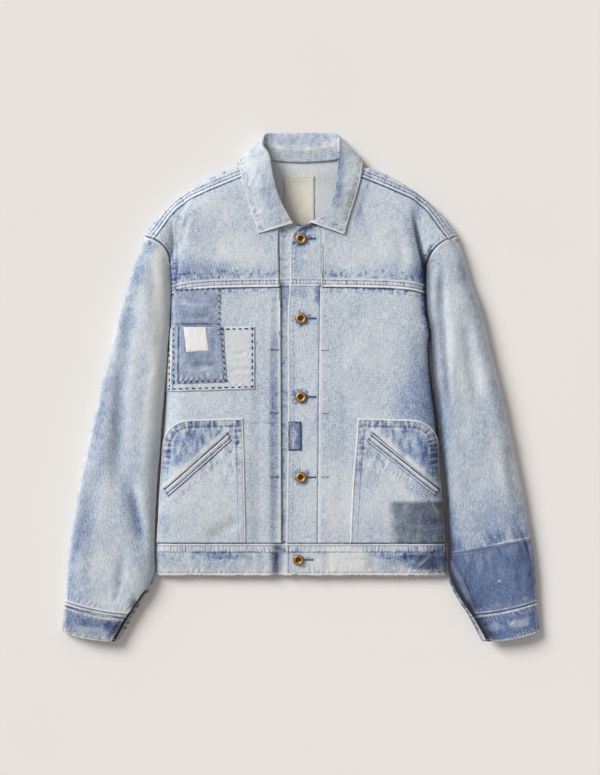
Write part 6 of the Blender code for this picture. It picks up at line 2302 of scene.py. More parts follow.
@dataclass
class Collar:
    """The collar: its stand and leaf in one band round the neck."""

    shop: Shop
    cloths: Finishes
    wall: float = DOUBLED
    cross_steps: int = 13
    long_steps: int = 15

    def section(self, row: CollarRow, side: int) -> list:
        """Five points across the collar: outer edge, leaf, roll, stand and neck seam."""
        turn, edge, neck = (
            np.array(point, float) * (side, 1)
            for point in ((row.roll_x, row.roll_y), (row.edge_x, row.edge_y),
                          (row.neck_x, row.neck_y)))
        leaf = turn + (edge - turn) * LEAF_SHARE
        stand = turn + (neck - turn) * STAND_SHARE
        flat = self.wall + 2 * GAP
        lifts = (flat, max(row.lift - LEAF_SAG, self.wall + flat), row.lift - self.wall / 2 - 0.1,
                 STAND_LIFT, NECK_LIFT)
        plan = np.array((edge, leaf, turn, stand, neck))
        return with_z(plan, body_height(plan) + lifts).tolist()

    def build(self) -> None:
        """Makes the band from the left front end round the neck to the right one."""
        sections = []
        for side, rows in ((1, COLLAR_FRONT_LEFT), (-1, COLLAR_FRONT_RIGHT)):
            half = [self.section(row, side) for row in rows]
            half += [(np.array(section, float) * (side, 1, 1)).tolist()
                     for section in COLLAR_BACK[:-1]]
            sections.append(half)
        band = np.array(sections[0] + [COLLAR_BACK[-1]] + sections[1][::-1], float)
        long_steps = self.long_steps if FINE < 3 else 6
        across = np.array([smooth(points, self.cross_steps) for points in band])
        path = smooth(across.reshape(len(band), -1), long_steps)
        grid = path.reshape(len(path), -1, 3)
        count = self.cross_steps
        near_yoke = ease(680 - grid[..., 1], 30, 60)
        floor = body_height(grid[..., :2]) + self.wall + 0.5
        leaf = np.arange(grid.shape[1])[None] < 1.6 * count
        grid[..., 2] = np.where(leaf & (near_yoke > 0.99), np.maximum(grid[..., 2], floor),
                                grid[..., 2])
        grid[..., 2] = np.maximum(grid[..., 2], 0)
        wash = self.worn(grid, count)
        points = grid + normals_of(grid[:, ::-1])[:, ::-1] * wash.relief[..., None]
        points[..., 2] = np.maximum(points[..., 2], 0)
        web = Web(points[:, ::-1], mirrored(wash))
        self.shop.sew("collar", [web], self.wall, self.cloths.faded, self.cloths.faded,
                      Slot.FADED, "yoke_left", "yoke_right")

    def worn(self, grid: Array, count: int) -> Wash:
        """Piping, roping and creases, measured on the flat collar, with painted shade near its
        ends.

        Args:
            grid: its points, with the leaf's edge first in each row.
            count: how many columns lie between two of its five lines.

        Returns:
            The marked wash.
        """
        flat = Web(grid).weave_map() / MM
        inward = np.concatenate([
            np.zeros((len(grid), 1)),
            np.cumsum(np.linalg.norm(np.diff(grid, axis=1), axis=-1), 1)], 1)
        lengthwise = flat[:, 0, 1][:, None] + 0 * inward
        sheet = np.stack([lengthwise, inward], -1)
        wash = Wash(sheet, 210)
        x, y = sheet[..., 0], sheet[..., 1]
        wash.relief += 0.35 * ripple(x / 24, y / 17, 77) + 0.12 * ripple(x / 7, y / 6, 78)
        wash.indigo += 0.05 * ripple(x / 20, y / 14, 79)
        edge = np.array([(-10.0, 0.0), (float(lengthwise.max()) + 10, 0.0)])
        wash.line(edge, Dose(worn=1.0, relief=0.4), at=0.8, width=1.3, patches=0.2)
        wash.line(edge, Dose(indigo=0.25, relief=-0.25), at=3.0, width=0.8)
        wash.rope(edge, 3.0, 11.5, 8.0, 0.4, 0.12, 0.4, lean=0.1)
        wash.blotches(edge, Dose(indigo=0.26), 2.5, 11, 3.4, 0.42)
        wash.line(edge, Dose(worn=0.5, relief=0.2), at=11.5, width=1.0, patches=0.7)
        wash.indigo += 0.09 * ripple(x / 6, y / 9, 80)
        wash.worn += 0.35 * np.clip(ripple(x / 7, y / 4, 82) - 0.25, 0, 1)
        long = float(lengthwise.max())
        # Deeper blue with painted shade near each end of the collar.
        for end, deep in ((0.14 * long, 0.34), (0.9 * long, 0.12)):
            wash.cloud(end, 40, 0.13 * long, 22, Dose(indigo=deep, soil=0.4 * deep), rough=0.4)
        for end in (0.0, float(lengthwise.max())):
            front = run((end, -5), (end, 62))
            side = -1 if end == 0 else 1
            wash.line(front, Dose(worn=0.9, relief=0.35), at=0.9, width=1.2, side=side)
            wash.rope(front, 3.0, 10.0, 8.0, 0.35, 0.12, 0.3, side=side)
            wash.blotches(front, Dose(indigo=0.26), 2.5, 10, 3.4, 0.42, side=side)
        turn = float(inward[:, 2 * count].mean())
        fold = np.array([(-10.0, turn), (float(lengthwise.max()) + 10, turn)])
        wash.band(fold, Dose(worn=0.3), -3, 2, soft=4)
        stand = np.array([(-10.0, turn + 33), (float(lengthwise.max()) + 10, turn + 33)])
        wash.line(stand, Dose(worn=0.9, relief=0.3), at=0, width=2.6, patches=0.9)
        wash.band(fold, Dose(indigo=0.1, soil=0.03), 4, 24, soft=6, patches=0.6)
        for at, lean in ((0.1, 12), (0.16, -8), (0.86, -10), (0.92, 9)):
            start = at * float(lengthwise.max())
            wash.crease(((start, 10), (start + lean, 24), (start + 2 * lean, 38)), Dose(-0.6), 3,
                        lip=0.3)
        return wash


# ---------------------------------------------------------------- pockets, patches and labels


@dataclass
class LaidOn:
    """Pieces sewn on a front: each follows the cloth under it, one layer higher."""

    shop: Shop
    cloths: Finishes

    def base(self, plan: Array) -> Array:
        """The front's outer points over this plan."""
        wash = marked(plan)
        z = body_height(plan)
        curves = LEFT if plan[..., 0].mean() > 0 else RIGHT
        side = distance(curves.body_edge, plan) < 0.6
        z = np.where(side & (plan[..., 1] < 384), np.maximum(z, EDGE_Z + RIM + GAP / 2), z)
        return raised(with_z(plan, softened(z, 4)), wash)

    def lay(self, plan: Array, level: float, wash: Wash, droop: float = 0.55) -> Array:
        """The piece's outer points.

        Args:
            plan: its plan points.
            level: how far its face is above the front's.
            wash: its own marks.
            droop: how much thinner its pressed edge is.

        Returns:
            The points.
        """
        base = self.base(plan)
        inside = distance(outline_of(plan), plan)
        lift = level - droop * (1 - ease(inside, 0, 1.3)) + wash.relief
        return base + outward(base) * lift[..., None]


@dataclass
class Pockets(LaidOn):
    """The big pocket panels, with their slanted welts."""

    def build(self) -> None:
        """Makes both pockets and both welts."""
        for curves, side, inner, corners in ((LEFT, "left", POCKET_LEFT, WELT_LEFT),
                                             (RIGHT, "right", POCKET_RIGHT, WELT_RIGHT)):
            welt = [Point(*p) for p in curves.place(corners)]
            self.pocket(curves, f"pocket_{side}", inner, welt)
            self.welt(curves, f"welt_{side}", welt)

    def pocket(self, curves: Side, name: str, inner: Sequence[Point], welt: list) -> None:
        """One pocket panel."""
        reach = along(curves.body_edge, POCKET_CORNER.y) * curves.side - POCKET_CORNER.x - 0.4
        rise = POCKET_TOP_Y - POCKET_CORNER.y

        def corner(degrees: Array) -> Array:
            """Points of the rounded outer corner."""
            a = np.radians(degrees)
            power = 2 / POCKET_SQUARENESS
            x = POCKET_CORNER.x + reach * np.cos(a) ** power
            return np.stack([x, POCKET_CORNER.y + rise * np.sin(a) ** power], -1)

        left = smooth(inner)
        top = np.vstack([left[-1:], corner(np.linspace(89.9, 48, 30))])
        low = np.linspace(inner[0].y, 188, 80)
        side = np.stack([np.abs(along(curves.body_edge, low)) - 0.4, low], -1)
        right = np.vstack([side, corner(np.linspace(2, 48, 30))])
        u, v = columns(150, FINE, 0.3, 3), columns(195, FINE, 0.3, 3, (False, True))
        left, top, right = spread(left, v), spread(top, u), spread(right, v)
        bottom = left[0] + (right[0] - left[0]) * u[:, None]
        plan = coons(bottom, top, left, right) * (curves.side, 1)
        if curves.side < 0:
            plan = plan[:, ::-1]
        edge = np.vstack([left, top[1:], right[::-1]]) * (curves.side, 1)
        wash = self.worn(plan, edge, curves, welt)
        web = Web(self.lay(plan, LAYER, wash), wash, True)
        self.shop.sew(name, [web], PATCH, self.cloths.faded, self.cloths.reverse, Slot.FADED,
                      f"front_{name.split('_')[1]}")

    def worn(self, plan: Array, edge: Array, curves: Side, welt: list) -> Wash:
        """The pocket's roped edge, its shadows and its wear.

        Args:
            plan: its plan points.
            edge: its sewn edge.
            curves: the half of the jacket.
            welt: the corners of its welt.

        Returns:
            The marked wash.
        """
        s = curves.side
        wash = Wash(plan, 300 if s > 0 else 340)
        x, y = plan[..., 0], plan[..., 1]
        wash.indigo += 0.03 * ripple(x / 9, y / 12, 61) + 0.04 * ripple(x / 30, y / 36, 62)
        wash.line(edge, Dose(worn=1.0, relief=0.4), at=-1.0, width=1.2, side=s, patches=0.25)
        wash.line(edge, Dose(indigo=0.25, relief=-0.2), at=-3.0, width=0.9, side=s)
        upper = Wash(plan, wash.seed + 40)
        upper.indigo += 0.24 * ripple(x / 4.2, y / 11, 65) + 0.14 * ripple(x / 9, y / 15, 66)
        upper.band(edge, Dose(indigo=0.14), -13, -2, side=s, soft=3, patches=0.7, cell=9)
        upper.cells(edge, Dose(worn=0.7, relief=0.3), -16, -2, 9.0, side=s)
        upper.blotches(edge, Dose(indigo=0.34), -12, -3, 3.0, 0.42, side=s)
        upper.line(edge, Dose(indigo=0.4, relief=-0.3), at=-11.6, width=0.9, side=s, patches=0.9)
        upper.spikes(edge, 30, Dose(worn=0.4), 8.0, start=3.0, side=-s, sparse=0.45)
        wash.blend(upper, ease(y, 120, 215) * 0.9 + 0.1)
        wash.blotches(edge, Dose(indigo=0.16, worn=0.2), -12, -1, 4.0, 0.3, side=s)
        opening = run(welt[1], welt[2])
        wash.cloud(s * 176, 208, 50, 30, Dose(indigo=0.26), -20 * s, rough=0.35)
        wash.cloud(s * 205, 180, 22, 26, Dose(indigo=0.16), rough=0.8)
        wash.cloud(s * 128, 225, 22, 12, Dose(indigo=0.16), rough=0.8)
        wash.band(opening, Dose(worn=0.35, indigo=-0.1), 0, 5, side=s, soft=3, patches=0.8, cell=5)
        wash.indigo *= 0.6 + 0.4 * ease(y, 60, 150)
        lower = run(welt[0], welt[3])
        wash.rope(lower, -14, -1.0, 7.0, 0.4, 0.05, 0.3, side=s)
        wash.cells(lower, Dose(indigo=0.3, relief=-0.2), -14, -9, 6.4, side=s)
        wash.blotches(lower, Dose(indigo=0.14), -18, -8, 3.6, 0.35, side=s)
        wash.band(lower, Dose(indigo=-0.06, worn=0.12), -30, -12, soft=8, side=s)
        wash.cloud(s * 130, 110, 40, 40, Dose(indigo=-0.06, worn=0.05))
        wash.cloud(s * 112, 185, 18, 22, Dose(indigo=0.05))
        if s > 0:
            # Deeper blue with painted shade by the side seam.
            wash.cloud(204, 130, 30, 100, Dose(indigo=0.18, soil=0.12), rough=0.3)
            ghost = ease(x, 132, 158 - 0.2 * (y - 54)) * (1 - ease(y, 114, 121))
            wash.add(ghost * (0.85 + 0.15 * ripple(x / 9, y / 11, 81)),
                     Dose(soil=0.62, indigo=0.26))
            # Painted shade in this crease's hollow.
            wash.crease(((176, 112), (174, 90), (182, 62)), Dose(-0.9, soil=0.16), 5, lip=0.4)
            wash.crease(((200, 117), (208, 105), (214, 97)), Dose(0.3, worn=0.6), 1.5)
        else:
            # Painted shade in a soft crease and below it.
            wash.crease(((-150, 60), (-130, 66), (-110, 78), (-92, 90)), Dose(-0.5, soil=0.12), 7)
            wash.cloud(-120, 64, 26, 8, Dose(soil=0.08))
            wash.cloud(-210, 90, 10, 34, Dose(indigo=0.14))
        return wash

    def welt(self, curves: Side, name: str, corners: list) -> None:
        """One slanted welt: a cream strip, the opening with painted shadow in it and a blue strip
        below it.
        """
        plan = quad(corners, FINE * 0.62, 0.3, 5)
        if curves.side < 0:
            plan = plan[:, ::-1]
        wash = Wash(plan, 400 if curves.side > 0 else 430)
        s = curves.side
        low = run(corners[0], corners[3])
        wash.line(low, Dose(indigo=0.9), at=0.4, width=0.8, side=s, patches=0.4)
        wash.line(low, Dose(worn=0.9, relief=0.2), at=2.0, width=0.9, side=s, patches=0.3)
        wash.line(low, Dose(indigo=0.85, relief=-0.3), at=4.0, width=0.9, side=s, patches=0.3)
        wash.band(low, Dose(indigo=0.15, worn=0.1), 4.8, 8.2, soft=0.8, side=s, cell=4)
        wash.line(low, Dose(worn=1.0, relief=0.35), at=9.0, width=1.2, side=s, patches=0.25)
        # Painted shadow in the welt's opening.
        wash.line(low, Dose(soil=1.1, indigo=0.5, relief=-0.9), at=11.4, width=0.9, side=s,
                  patches=0.2)
        wash.band(low, Dose(worn=0.75, relief=0.2), 12.4, 14.6, soft=0.8, side=s, cell=5)
        wash.line(low, Dose(indigo=0.8), at=15.4, width=0.8, side=s, patches=0.4)
        high = run(corners[1], corners[2])
        wash.line(high, Dose(soil=0.5, indigo=0.4), at=-0.3, width=0.7, side=s, patches=0.3)
        for a, b in ((corners[0], corners[1]), (corners[3], corners[2])):
            end = run(a, b)
            wash.line(end, Dose(soil=0.75, indigo=0.6, relief=-0.3), at=0.0, width=1.0)
            for by in (2.6, -2.6):
                wash.line(end, Dose(indigo=0.6, soil=0.2), at=by, width=0.8)
        points = self.lay(plan, 2 * LAYER, wash, 0.7)
        self.shop.sew(name, [Web(points, wash, True)], PATCH, self.cloths.faded,
                      self.cloths.reverse, Slot.MID, name.replace("welt", "pocket"))


@dataclass
class Patches(LaidOn):
    """Mending patches and the bare labels."""

    def build(self) -> None:
        """Makes them from the lowest layer up."""
        self.light()
        self.dark_upper()
        self.dark_lower()
        self.chest_label()
        self.darned()
        self.neck_label()

    def finish(self, name: str, plan: Array, level: float, wash: Wash, cloth: bpy.types.Material,
               below: str, wall: float = PATCH, slot: Slot = Slot.PATCH) -> None:
        """Lays one patch on the front."""
        self.shop.sew(name, [Web(self.lay(plan, level, wash), wash, True)], wall, cloth,
                      self.cloths.reverse, slot, below)

    def light(self) -> None:
        """The pale patch, from the side seam to its stitched inner edge."""
        low_left, _, top_right, low_right = PATCH_LIGHT
        plan = quad(PATCH_LIGHT, FINE * 0.85, 0.5, 11)
        limit = along(RIGHT.body_edge, plan[..., 1]) + 0.5
        shift = np.clip(limit - plan[..., 0], 0, None)[:, :1]
        share = (plan[..., 0] - plan[:, -1:, 0]) / (plan[:, :1, 0] - plan[:, -1:, 0])
        plan[..., 0] += shift * share
        wash = Wash(plan, 510)
        x, y = plan[..., 0], plan[..., 1]
        wash.indigo += 0.05 * ripple(x / 11, y / 14, 63) + 0.05 * ripple(x / 34, y / 30, 64)
        right = run(low_right, top_right)
        bottom = run(low_left, low_right)
        for edge, puckers in ((right, 9.6), (bottom, 9.4)):
            wash.line(edge, Dose(indigo=0.16, relief=0.25), at=1.0, width=1.2)
            wash.line(edge, Dose(relief=-0.35, indigo=0.1), at=4.0, width=1.3, patches=0.2)
            wash.rope(edge, 4.5, 11, puckers, 0.35, 0.14, 0.28)
        wash.cloud(-205, 345, 7, 46, Dose(worn=0.8), rough=0.6)
        wash.line(run((-197, 290), (-196, 386)), Dose(indigo=0.4), width=1.4, wander=1.5)
        wash.cloud(-95, 350, 18, 30, Dose(worn=0.12))
        wash.crease(((-80, 352), (-94, 345), (-108, 347)), Dose(-0.5, indigo=0.08), 3, lip=0.3)
        wash.crease(((-75, 320), (-92, 322), (-110, 318)), Dose(-0.4), 3, lip=0.3)
        self.finish("patch_light", plan, LAYER, wash, self.cloths.pale_patch, "front_right")

    def dark_upper(self) -> None:
        """The grey-blue patch under the yoke."""
        low_left, top_left, top_right, low_right = PATCH_DARK_UPPER
        plan = quad(PATCH_DARK_UPPER, FINE * 0.8, 0.5, 17)
        wash = Wash(plan, 540)
        x, y = plan[..., 0], plan[..., 1]
        wash.relief += 0.3 * ripple(x / 26, y / 13, 65)
        wash.indigo += 0.1 * ripple(x / 14, y / 18, 66) + 0.08 * ripple(x / 5, y / 8, 69)
        wash.worn += 0.22 * np.clip(ripple(x / 12, y / 5, 70) - 0.1, 0, 1)
        wash.crease(((-190, 424), (-160, 420), (-130, 422)), Dose(0.6, worn=0.3), 3.2)
        wash.crease(((-188, 405), (-160, 402), (-134, 406)), Dose(-0.8, indigo=0.12), 4)
        bottom = run(low_left, low_right)
        wash.band(bottom, Dose(indigo=0.35), 1.5, 6.0, soft=2.5)
        wash.line(bottom, Dose(worn=0.7), at=0.8, width=0.9)
        right = run(low_right, top_right)
        wash.line(right, Dose(worn=0.9), at=0.6, width=1.3, patches=0.6)
        wash.rope(right, 2, 9, 8.2, 0.3, 0.14, 0.25)
        top = run(top_left, top_right)
        wash.line(top, Dose(indigo=0.6), at=-1.0, width=1.1)
        wash.rope(top, -10, -1, 9.0, 0.4, 0.2, 0.25)
        left = run(top_left, low_left)
        wash.line(left, Dose(worn=0.35, relief=0.2), at=1.2, width=1.0)
        self.finish("patch_dark_upper", plan, LAYER, wash, self.cloths.grey_patch, "front_right")

    def dark_lower(self) -> None:
        """The grey-blue patch below it, over the pale one."""
        low_left, _, top_right, low_right = PATCH_DARK_LOWER
        plan = quad(PATCH_DARK_LOWER, FINE * 0.8, 0.6, 23)
        wash = Wash(plan, 570)
        x, y = plan[..., 0], plan[..., 1]
        wash.relief += 0.25 * ripple(x / 22, y / 17, 67)
        wash.indigo += 0.1 * ripple(x / 14, y / 16, 68) + 0.08 * ripple(x / 5, y / 7, 73) + 0.04
        wash.worn += 0.25 * np.clip(ripple(x / 9, y / 7, 74) - 0.1, 0, 1)
        bottom = run(low_left, low_right)
        right = run(low_right, top_right)
        for edge in (bottom, right):
            wash.line(edge, Dose(worn=0.5, relief=0.2), at=0.7, width=0.9)
            wash.line(edge, Dose(relief=-0.3, indigo=0.25), at=4.0, width=1.2)
        wash.rope(bottom, 4, 13, 8.6, 0.45, 0.3, 0.5)
        wash.rope(right, 4, 10, 8.6, 0.35, 0.22, 0.35)
        seam = run((-189, 298), (-187.5, 387))
        wash.line(seam, Dose(indigo=0.75, relief=-0.4), width=1.0)
        wash.line(seam, Dose(worn=0.4, relief=0.25), at=2.4, width=1.0)
        wash.crease(((-166, 331), (-150, 328), (-128, 330)), Dose(-0.9, indigo=0.14), 3.4, lip=0.5)
        wash.crease(((-137, 384), (-135, 362), (-135, 344)), Dose(-0.6, indigo=0.1), 4, lip=0.2)
        wash.crease(((-180, 322), (-160, 318), (-140, 322)), Dose(0.5, worn=0.3), 2.4)
        wash.crease(((-176, 306), (-174, 318), (-178, 334)), Dose(-0.5, worn=0.15), 3, lip=0.2)
        self.finish("patch_dark_lower", plan, 2 * LAYER, wash, self.cloths.grey_patch,
                    "patch_light")

    def chest_label(self) -> None:
        """The bare white label on the patches."""
        plan = quad(CHEST_LABEL, FINE * 0.7, 0.25, 29)
        wash = Wash(plan, 600)
        edge = outline_of(plan)
        wash.line(edge, Dose(soil=0.35, relief=-0.15), at=0.0, width=0.7, patches=0.2)
        wash.line(edge, Dose(soil=0.28, relief=-0.2), at=2.0, width=0.6, patches=0.2)
        wash.relief += 0.15 * ripple(plan[..., 0] / 9, plan[..., 1] / 9, 71)
        level = 2 * LAYER + GAP + LABEL
        self.finish("chest_label", plan, level, wash, self.cloths.label, "patch_dark_lower",
                    LABEL, Slot.LABEL)

    def darned(self) -> None:
        """The small darned patch on the closing strip."""
        plan = quad(PATCH_DARNED, FINE * 0.6, 0.4, 31)
        wash = Wash(plan, 620)
        edge = outline_of(plan)
        wash.line(edge, Dose(indigo=0.5), at=0.4, width=1.2)
        wash.rope(run(*PATCH_DARNED[:2]), -14, 0, 3.2, 0.25, 0.4, 0.6, lean=0.0)
        wash.cloud(-12, 218, 5, 14, Dose(worn=0.4), rough=1.0)
        closing = Closing(self.shop, self.cloths)
        base = closing.placket_points(plan)
        inside = distance(edge, plan)
        lift = LAYER + wash.relief - 0.5 * (1 - ease(inside, 0, 1.2))
        points = base + outward(base) * lift[..., None]
        wash.indigo += 0.36
        self.shop.sew("patch_darned", [Web(points, wash, True)], PATCH, self.cloths.mid,
                      self.cloths.reverse, Slot.DARK, "placket")

    def neck_label(self) -> None:
        """The bare cream label inside the back of the neck."""
        plan = quad(NECK_LABEL, FINE, 0.3, 37)
        wash = Wash(plan, 640)
        edge = outline_of(plan)
        wash.line(edge, Dose(soil=0.25), at=1.6, width=0.6)
        # Painted shadow of the collar's roll, darkest at the label's -X end.
        wash.soil += 0.35 * (1 - ease(plan[..., 0], -26, -6))
        below = ease(plan[..., 1], *LEAF_RISE_Y)
        z = LEAF_RISE * below + CLOTH + GAP + LABEL
        z = z + 0.35 * (1 + ripple(plan[..., 0] / 14, plan[..., 1] / 12, 72))
        self.shop.sew("neck_label", [Web(with_z(plan, z), wash)], LABEL, self.cloths.tape,
                      self.cloths.tape, Slot.LABEL, "back")


# ---------------------------------------------------------------- thread work


@dataclass
class Needlework:
    """Every row of stitches, bar tack, buttonhole and frayed edge."""

    shop: Shop
    cloths: Finishes
    rows: int = 0
    spacing: float = 2.5

    def build(self) -> None:
        """Sews the seams first and the mending last."""
        self.stitches, self.frays = stitch_rig(), fray_rig()
        self.topstitching()
        self.edges()
        self.bars()
        self.mending()
        self.fraying()

    def row(self, name: str, lines: Sequence[Array], thread: str, pitch: float, length: float,
            thick: float, slant: float = 0.0, jitter: float = 0.08, lift: float = 0.1,
            only: str = "") -> None:
        """Rows of stitches in one thread.

        Args:
            name: the piece's name.
            lines: plan lines that the rows follow.
            thread: the thread's name.
            pitch: from one stitch to the next.
            length: a stitch's length.
            thick: its thickness.
            slant: how far each is turned across the row, in degrees.
            jitter: how uneven they are.
            lift: how far they stand above the cloth.
            only: the piece that they may lie on.
        """
        landed = [self.landed(line, lift, only) for line in lines]
        self.rows += 1
        piece = self.stitches.apply(
            name, landed, Pitch=pitch * MM, Length=length * MM, Thickness=thick * MM,
            Slant=math.radians(slant), Jitter=jitter, Seed=self.rows,
            Material=self.cloths.threads[thread])
        self.shop.hang(piece, Slot.FADED)

    def landed(self, line: Array, lift: float, only: str = "") -> Array:
        """A plan line let down on the cloth, in points that are close enough to follow it."""
        length = np.linalg.norm(np.diff(line, axis=0), axis=1).sum()
        count = int(length / self.spacing) + 3
        return self.shop.drop(spread(line, np.linspace(0, 1, count)), lift, only)

    def beside(self, path: Array, by: float) -> Array:
        """The line that runs `by` millimetres to the left of a path."""
        path = np.asarray(path, float)
        way = np.gradient(path, axis=0)
        way /= np.maximum(np.linalg.norm(way, axis=1, keepdims=True), 1e-9)
        return path + by * np.stack([-way[:, 1], way[:, 0]], -1)

    def topstitching(self) -> None:
        """The twin rows along the main seams."""
        lines = []
        for curves in (LEFT, RIGHT):
            s = curves.side
            for by in (4.2, 10.2):
                lines.append(self.beside(curves.yoke_seam, by * s))
            for by in (5.0, 10.0):
                lines.append(self.beside(curves.shoulder_seam[2:-3], by * s))
        self.row("stitches_yokes", lines, "topstitch", 3.4, 3.1, 0.95)
        band = [run((-18, y), (-100, y), (-222, y)) for y in (49.0, 39.0)]
        band += [run((-19, y), (100, y), (222, y)) for y in (49.0, 39.0)]
        band += [run((-19, 7.5), (222, 7.5)), run((-48, 7.5), (-222, 7.5)),
                 run((-19.5, 7.5), (-19.5, 49))]
        self.row("stitches_waistband", band, "topstitch", 3.6, 3.1, 0.75)
        cuffs = []
        for s in (1, -1):
            seam = smooth([(s * 364, -38), (s * 330, -48), (s * 300, -54), (s * 267, -58)])
            bottom = smooth([(s * 368, -84), (s * 330, -96), (s * 310, -99), (s * 289, -100)])
            cuffs += [self.beside(seam, 4.0 * s), self.beside(bottom, -4.0 * s)]
        self.row("stitches_cuffs", cuffs, "pale", 3.6, 2.8, 0.55)

    def edges(self) -> None:
        """Rows along the placket, the pockets, the pleats and the armholes."""
        edge = smooth([*PLACKET_EDGE, *PLACKET_TOP[1:-1]])
        lines = [self.beside(edge, -3.4), self.beside(edge, -9.6)]
        self.row("stitches_placket", lines, "pale", 3.6, 3.0, 0.5)
        for curves, inner in ((LEFT, POCKET_LEFT), (RIGHT, POCKET_RIGHT)):
            reach = along(curves.body_edge, POCKET_CORNER.y) * curves.side - POCKET_CORNER.x - 1
            a = np.radians(np.linspace(89.9, 6, 30))
            power = 2 / POCKET_SQUARENESS
            arc = np.stack([POCKET_CORNER.x + reach * np.cos(a) ** power, POCKET_CORNER.y
                            + (POCKET_TOP_Y - POCKET_CORNER.y) * np.sin(a) ** power], -1)
            path = curves.place(np.vstack([smooth(inner), arc]))
            side = "left" if curves.side > 0 else "right"
            self.row(f"stitches_pocket_{side}",
                     [self.beside(path, by * -curves.side) for by in (3.0, 11.6)],
                     "topstitch", 3.5, 3.0, 0.75)

    def bars(self) -> None:
        """Bar tacks beside the placket and the buttonholes."""
        tacks = []
        for y in (352, 255, 156):
            tacks.append(run((-47.5, y), (-42.2, y + 0.4)))
            tacks.append(run((-40.4, y - 0.2), (-35, y + 0.3)))
        self.row("bar_tacks_right", tacks, "tack", 0.75, 4.6, 0.95, 90, 0.15, 0.5)
        tacks = [run((31.5, y), (42.5, y + 0.5)) for y in (352, 255, 156)]
        self.row("bar_tacks_left", tacks, "pale_tack", 0.75, 4.2, 0.9, 90, 0.15, 0.5)
        holes = []
        for spot in BUTTONS:
            a = np.linspace(0.5, 2 * math.pi - 0.5, 26)
            x = spot.x + HOLE_MIDDLE + HOLE_HALF * np.cos(a + math.pi)
            holes.append(np.stack([x, spot.y + 0.75 * np.sin(a + math.pi)], -1))
        self.row("buttonholes", holes, "black", 0.8, 1.6, 0.62, 90, 0.2, 0.15)
        knots = [run((spot.x + 22.2, spot.y - 1.4), (spot.x + 22.4, spot.y + 1.4))
                 for spot in BUTTONS]
        self.row("buttonhole_ends", knots, "black", 0.7, 2.0, 0.8, 90, 0.2, 0.2)
        eyes = []
        for spot in BUTTONS:
            a = np.linspace(0, 2 * math.pi, 22)
            x = spot.x + HOLE_EYE + 1.9 * np.cos(a)
            eyes.append(np.stack([x, spot.y + 1.7 * np.sin(a)], -1))
        self.row("buttonhole_eyes", eyes, "navy", 0.8, 1.3, 0.55, 90, 0.2, 0.15)

    def mending(self) -> None:
        """The hand sewing that holds the patches."""
        round_it = run((-204, 291.2), (-75, 295), (-75, 384.5), (-122, 383.5))
        lines = [round_it[:2], round_it[1:3], round_it[2:], run((-204, 380), (-203, 296))]
        self.row("running_stitches", lines, "navy", 9.4, 6.4, 2.4, 0, 0.1, 0.35)
        low_left, _, top_right, low_right = PATCH_DARK_LOWER
        lines = [run((low_left.x + 3, low_left.y + 2.2), (low_right.x - 1, low_right.y + 2.2)),
                 run((low_right.x - 2.4, low_right.y + 3), (top_right.x - 2.4, 385)),
                 run((low_left.x + 2.6, 384), (low_left.x + 2.6, low_left.y + 4))]
        self.row("whip_stitches_lower", lines, "navy", 8.6, 5.6, 2.2, 24, 0.2, 0.35)
        _, top_left, top_right, low_right = PATCH_DARK_UPPER
        lines = [run((top_left.x + 4, 444), (top_right.x - 3, 446)),
                 run((low_right.x - 1.5, 391), (top_right.x - 1.5, 444))]
        self.row("whip_stitches_upper", lines, "navy", 8.2, 5.2, 2.0, 62, 0.25, 0.35)
        box = outline_of(quad(PATCH_DARNED, 4.0, 0.3, 31))
        self.row("blanket_stitches", [self.beside(box, 0.6)], "navy", 2.3, 3.6, 0.9, 84, 0.3, 0.2)
        label = outline_of(quad(CHEST_LABEL, 4.0, 0.1, 29))
        self.row("label_stitches", [self.beside(label, 2.0)], "white", 3.0, 2.4, 0.45,
                 only="chest_label")
        neck = outline_of(quad(NECK_LABEL, 6.0, 0.1, 37))
        self.row("neck_label_stitches", [self.beside(neck, 1.6)], "pale", 3.4, 2.6, 0.5,
                 only="neck_label")

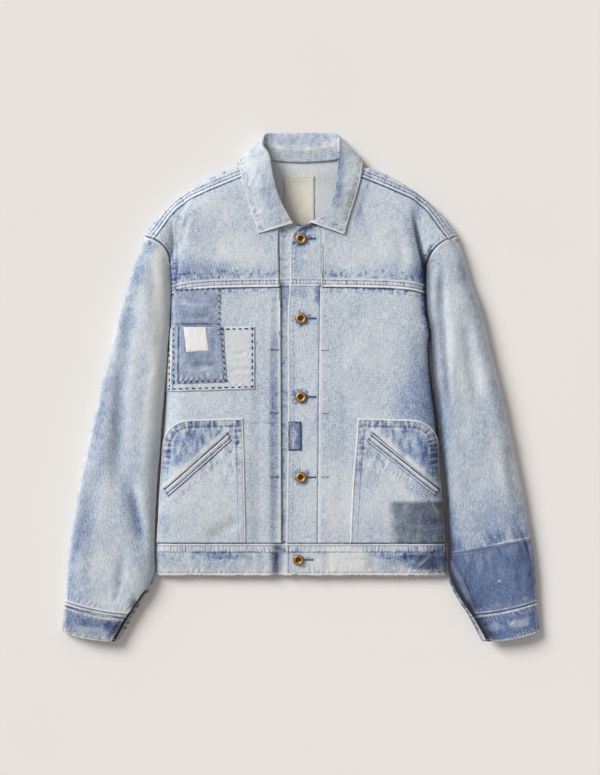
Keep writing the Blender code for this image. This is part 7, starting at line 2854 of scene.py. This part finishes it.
    def fraying(self) -> None:
        """Loose threads at the worn edges."""
        right_cuff = smooth([(-368.5, -82), (-350, -88.5), (-330, -93.5), (-310, -96.5),
                             (-289, -97)])
        left_cuff = right_cuff * (-1, 1)
        hem = run((-222, 3.6), (0, 3.6), (222, 3.6))
        light = run((-199, 289), (-198, 384))
        groups = (
            ("frays_cuff_right", right_cuff, 1.3, 3.4, 90),
            ("frays_cuff_left", left_cuff, 3.0, 2.6, -90),
            ("frays_hem", hem, 2.6, 2.8, -90), ("frays_patch_light", light, 2.0, 3.4, 90),
            ("frays_patch_upper", run((-125, 389), (-124, 446)), 1.6, 3.0, -90),
        )
        for number, (name, line, pitch, length, side) in enumerate(groups):
            landed = self.landed(line, 0.1)
            log.info("%s: %d points landed", name, len(landed))
            if len(landed) < 2:
                continue
            piece = self.frays.apply(
                name, [landed], Pitch=pitch * MM, Length=length * MM, Thickness=0.22 * MM,
                Side=math.radians(side), Spread=0.9, Seed=50 + number,
                Material=self.cloths.threads["white"])
            self.shop.hang(piece, Slot.FADED)


# ---------------------------------------------------------------- studio


@dataclass
class Studio:
    """A pale floor, soft light from the upper left, and a camera straight above."""

    middle: tuple = (-0.001, -0.0013)
    height: float = 3.014
    lens: float = 90.0
    floor_size: float = 6.0
    key_power: float = 3.45
    key_turn: tuple = (-0.62, 0.5, 0.52)
    key_width: float = 30.0
    fill: float = 0.38
    fill_colour: tuple = (1.0, 0.955, 0.92, 1)

    def build(self) -> None:
        """Makes the floor, the lights and the camera."""
        half = self.floor_size / 2
        mesh = bpy.data.meshes.new("floor")
        mesh.from_pydata([(-half, -half, 0), (half, -half, 0), (half, half, 0), (-half, half, 0)],
                         [], [(0, 1, 2, 3)])
        mesh.materials.append(Floor().build())
        placed("floor", mesh)
        lamp = bpy.data.lights.new("key", "SUN")
        lamp.energy = self.key_power
        lamp.angle = math.radians(self.key_width)
        lamp.color = (1.0, 1.0, 0.99)
        toward = -Vector(self.key_turn)
        placed("key", lamp).rotation_euler = toward.to_track_quat("-Z", "Y").to_euler()
        world = bpy.data.worlds.new("soft room")
        bpy.context.scene.world = world
        world.use_nodes = True
        ground = world.node_tree.nodes["Background"]
        ground.inputs["Color"].default_value = self.fill_colour
        ground.inputs["Strength"].default_value = self.fill
        lens = bpy.data.cameras.new("above")
        lens.lens = self.lens
        lens.sensor_width = 36
        lens.clip_end = 50
        camera = placed("above", lens)
        camera.location = (*self.middle, self.height)
        bpy.context.scene.camera = camera
        bpy.context.scene.view_settings.view_transform = "Standard"


def main() -> None:
    """Builds the jacket from the back up, then its thread work and the studio."""
    logging.basicConfig(level=logging.INFO, format="%(name)s: %(message)s")
    cloths = all_finishes()
    shop = Shop()
    Studio().build()
    for maker in (Bodice, Closing, Waistband, Sleeves, Pockets, Patches, Collar, Needlework):
        maker(shop, cloths).build()
        log.info("%s done", maker.__name__)


if __name__ == "__main__":
    main()
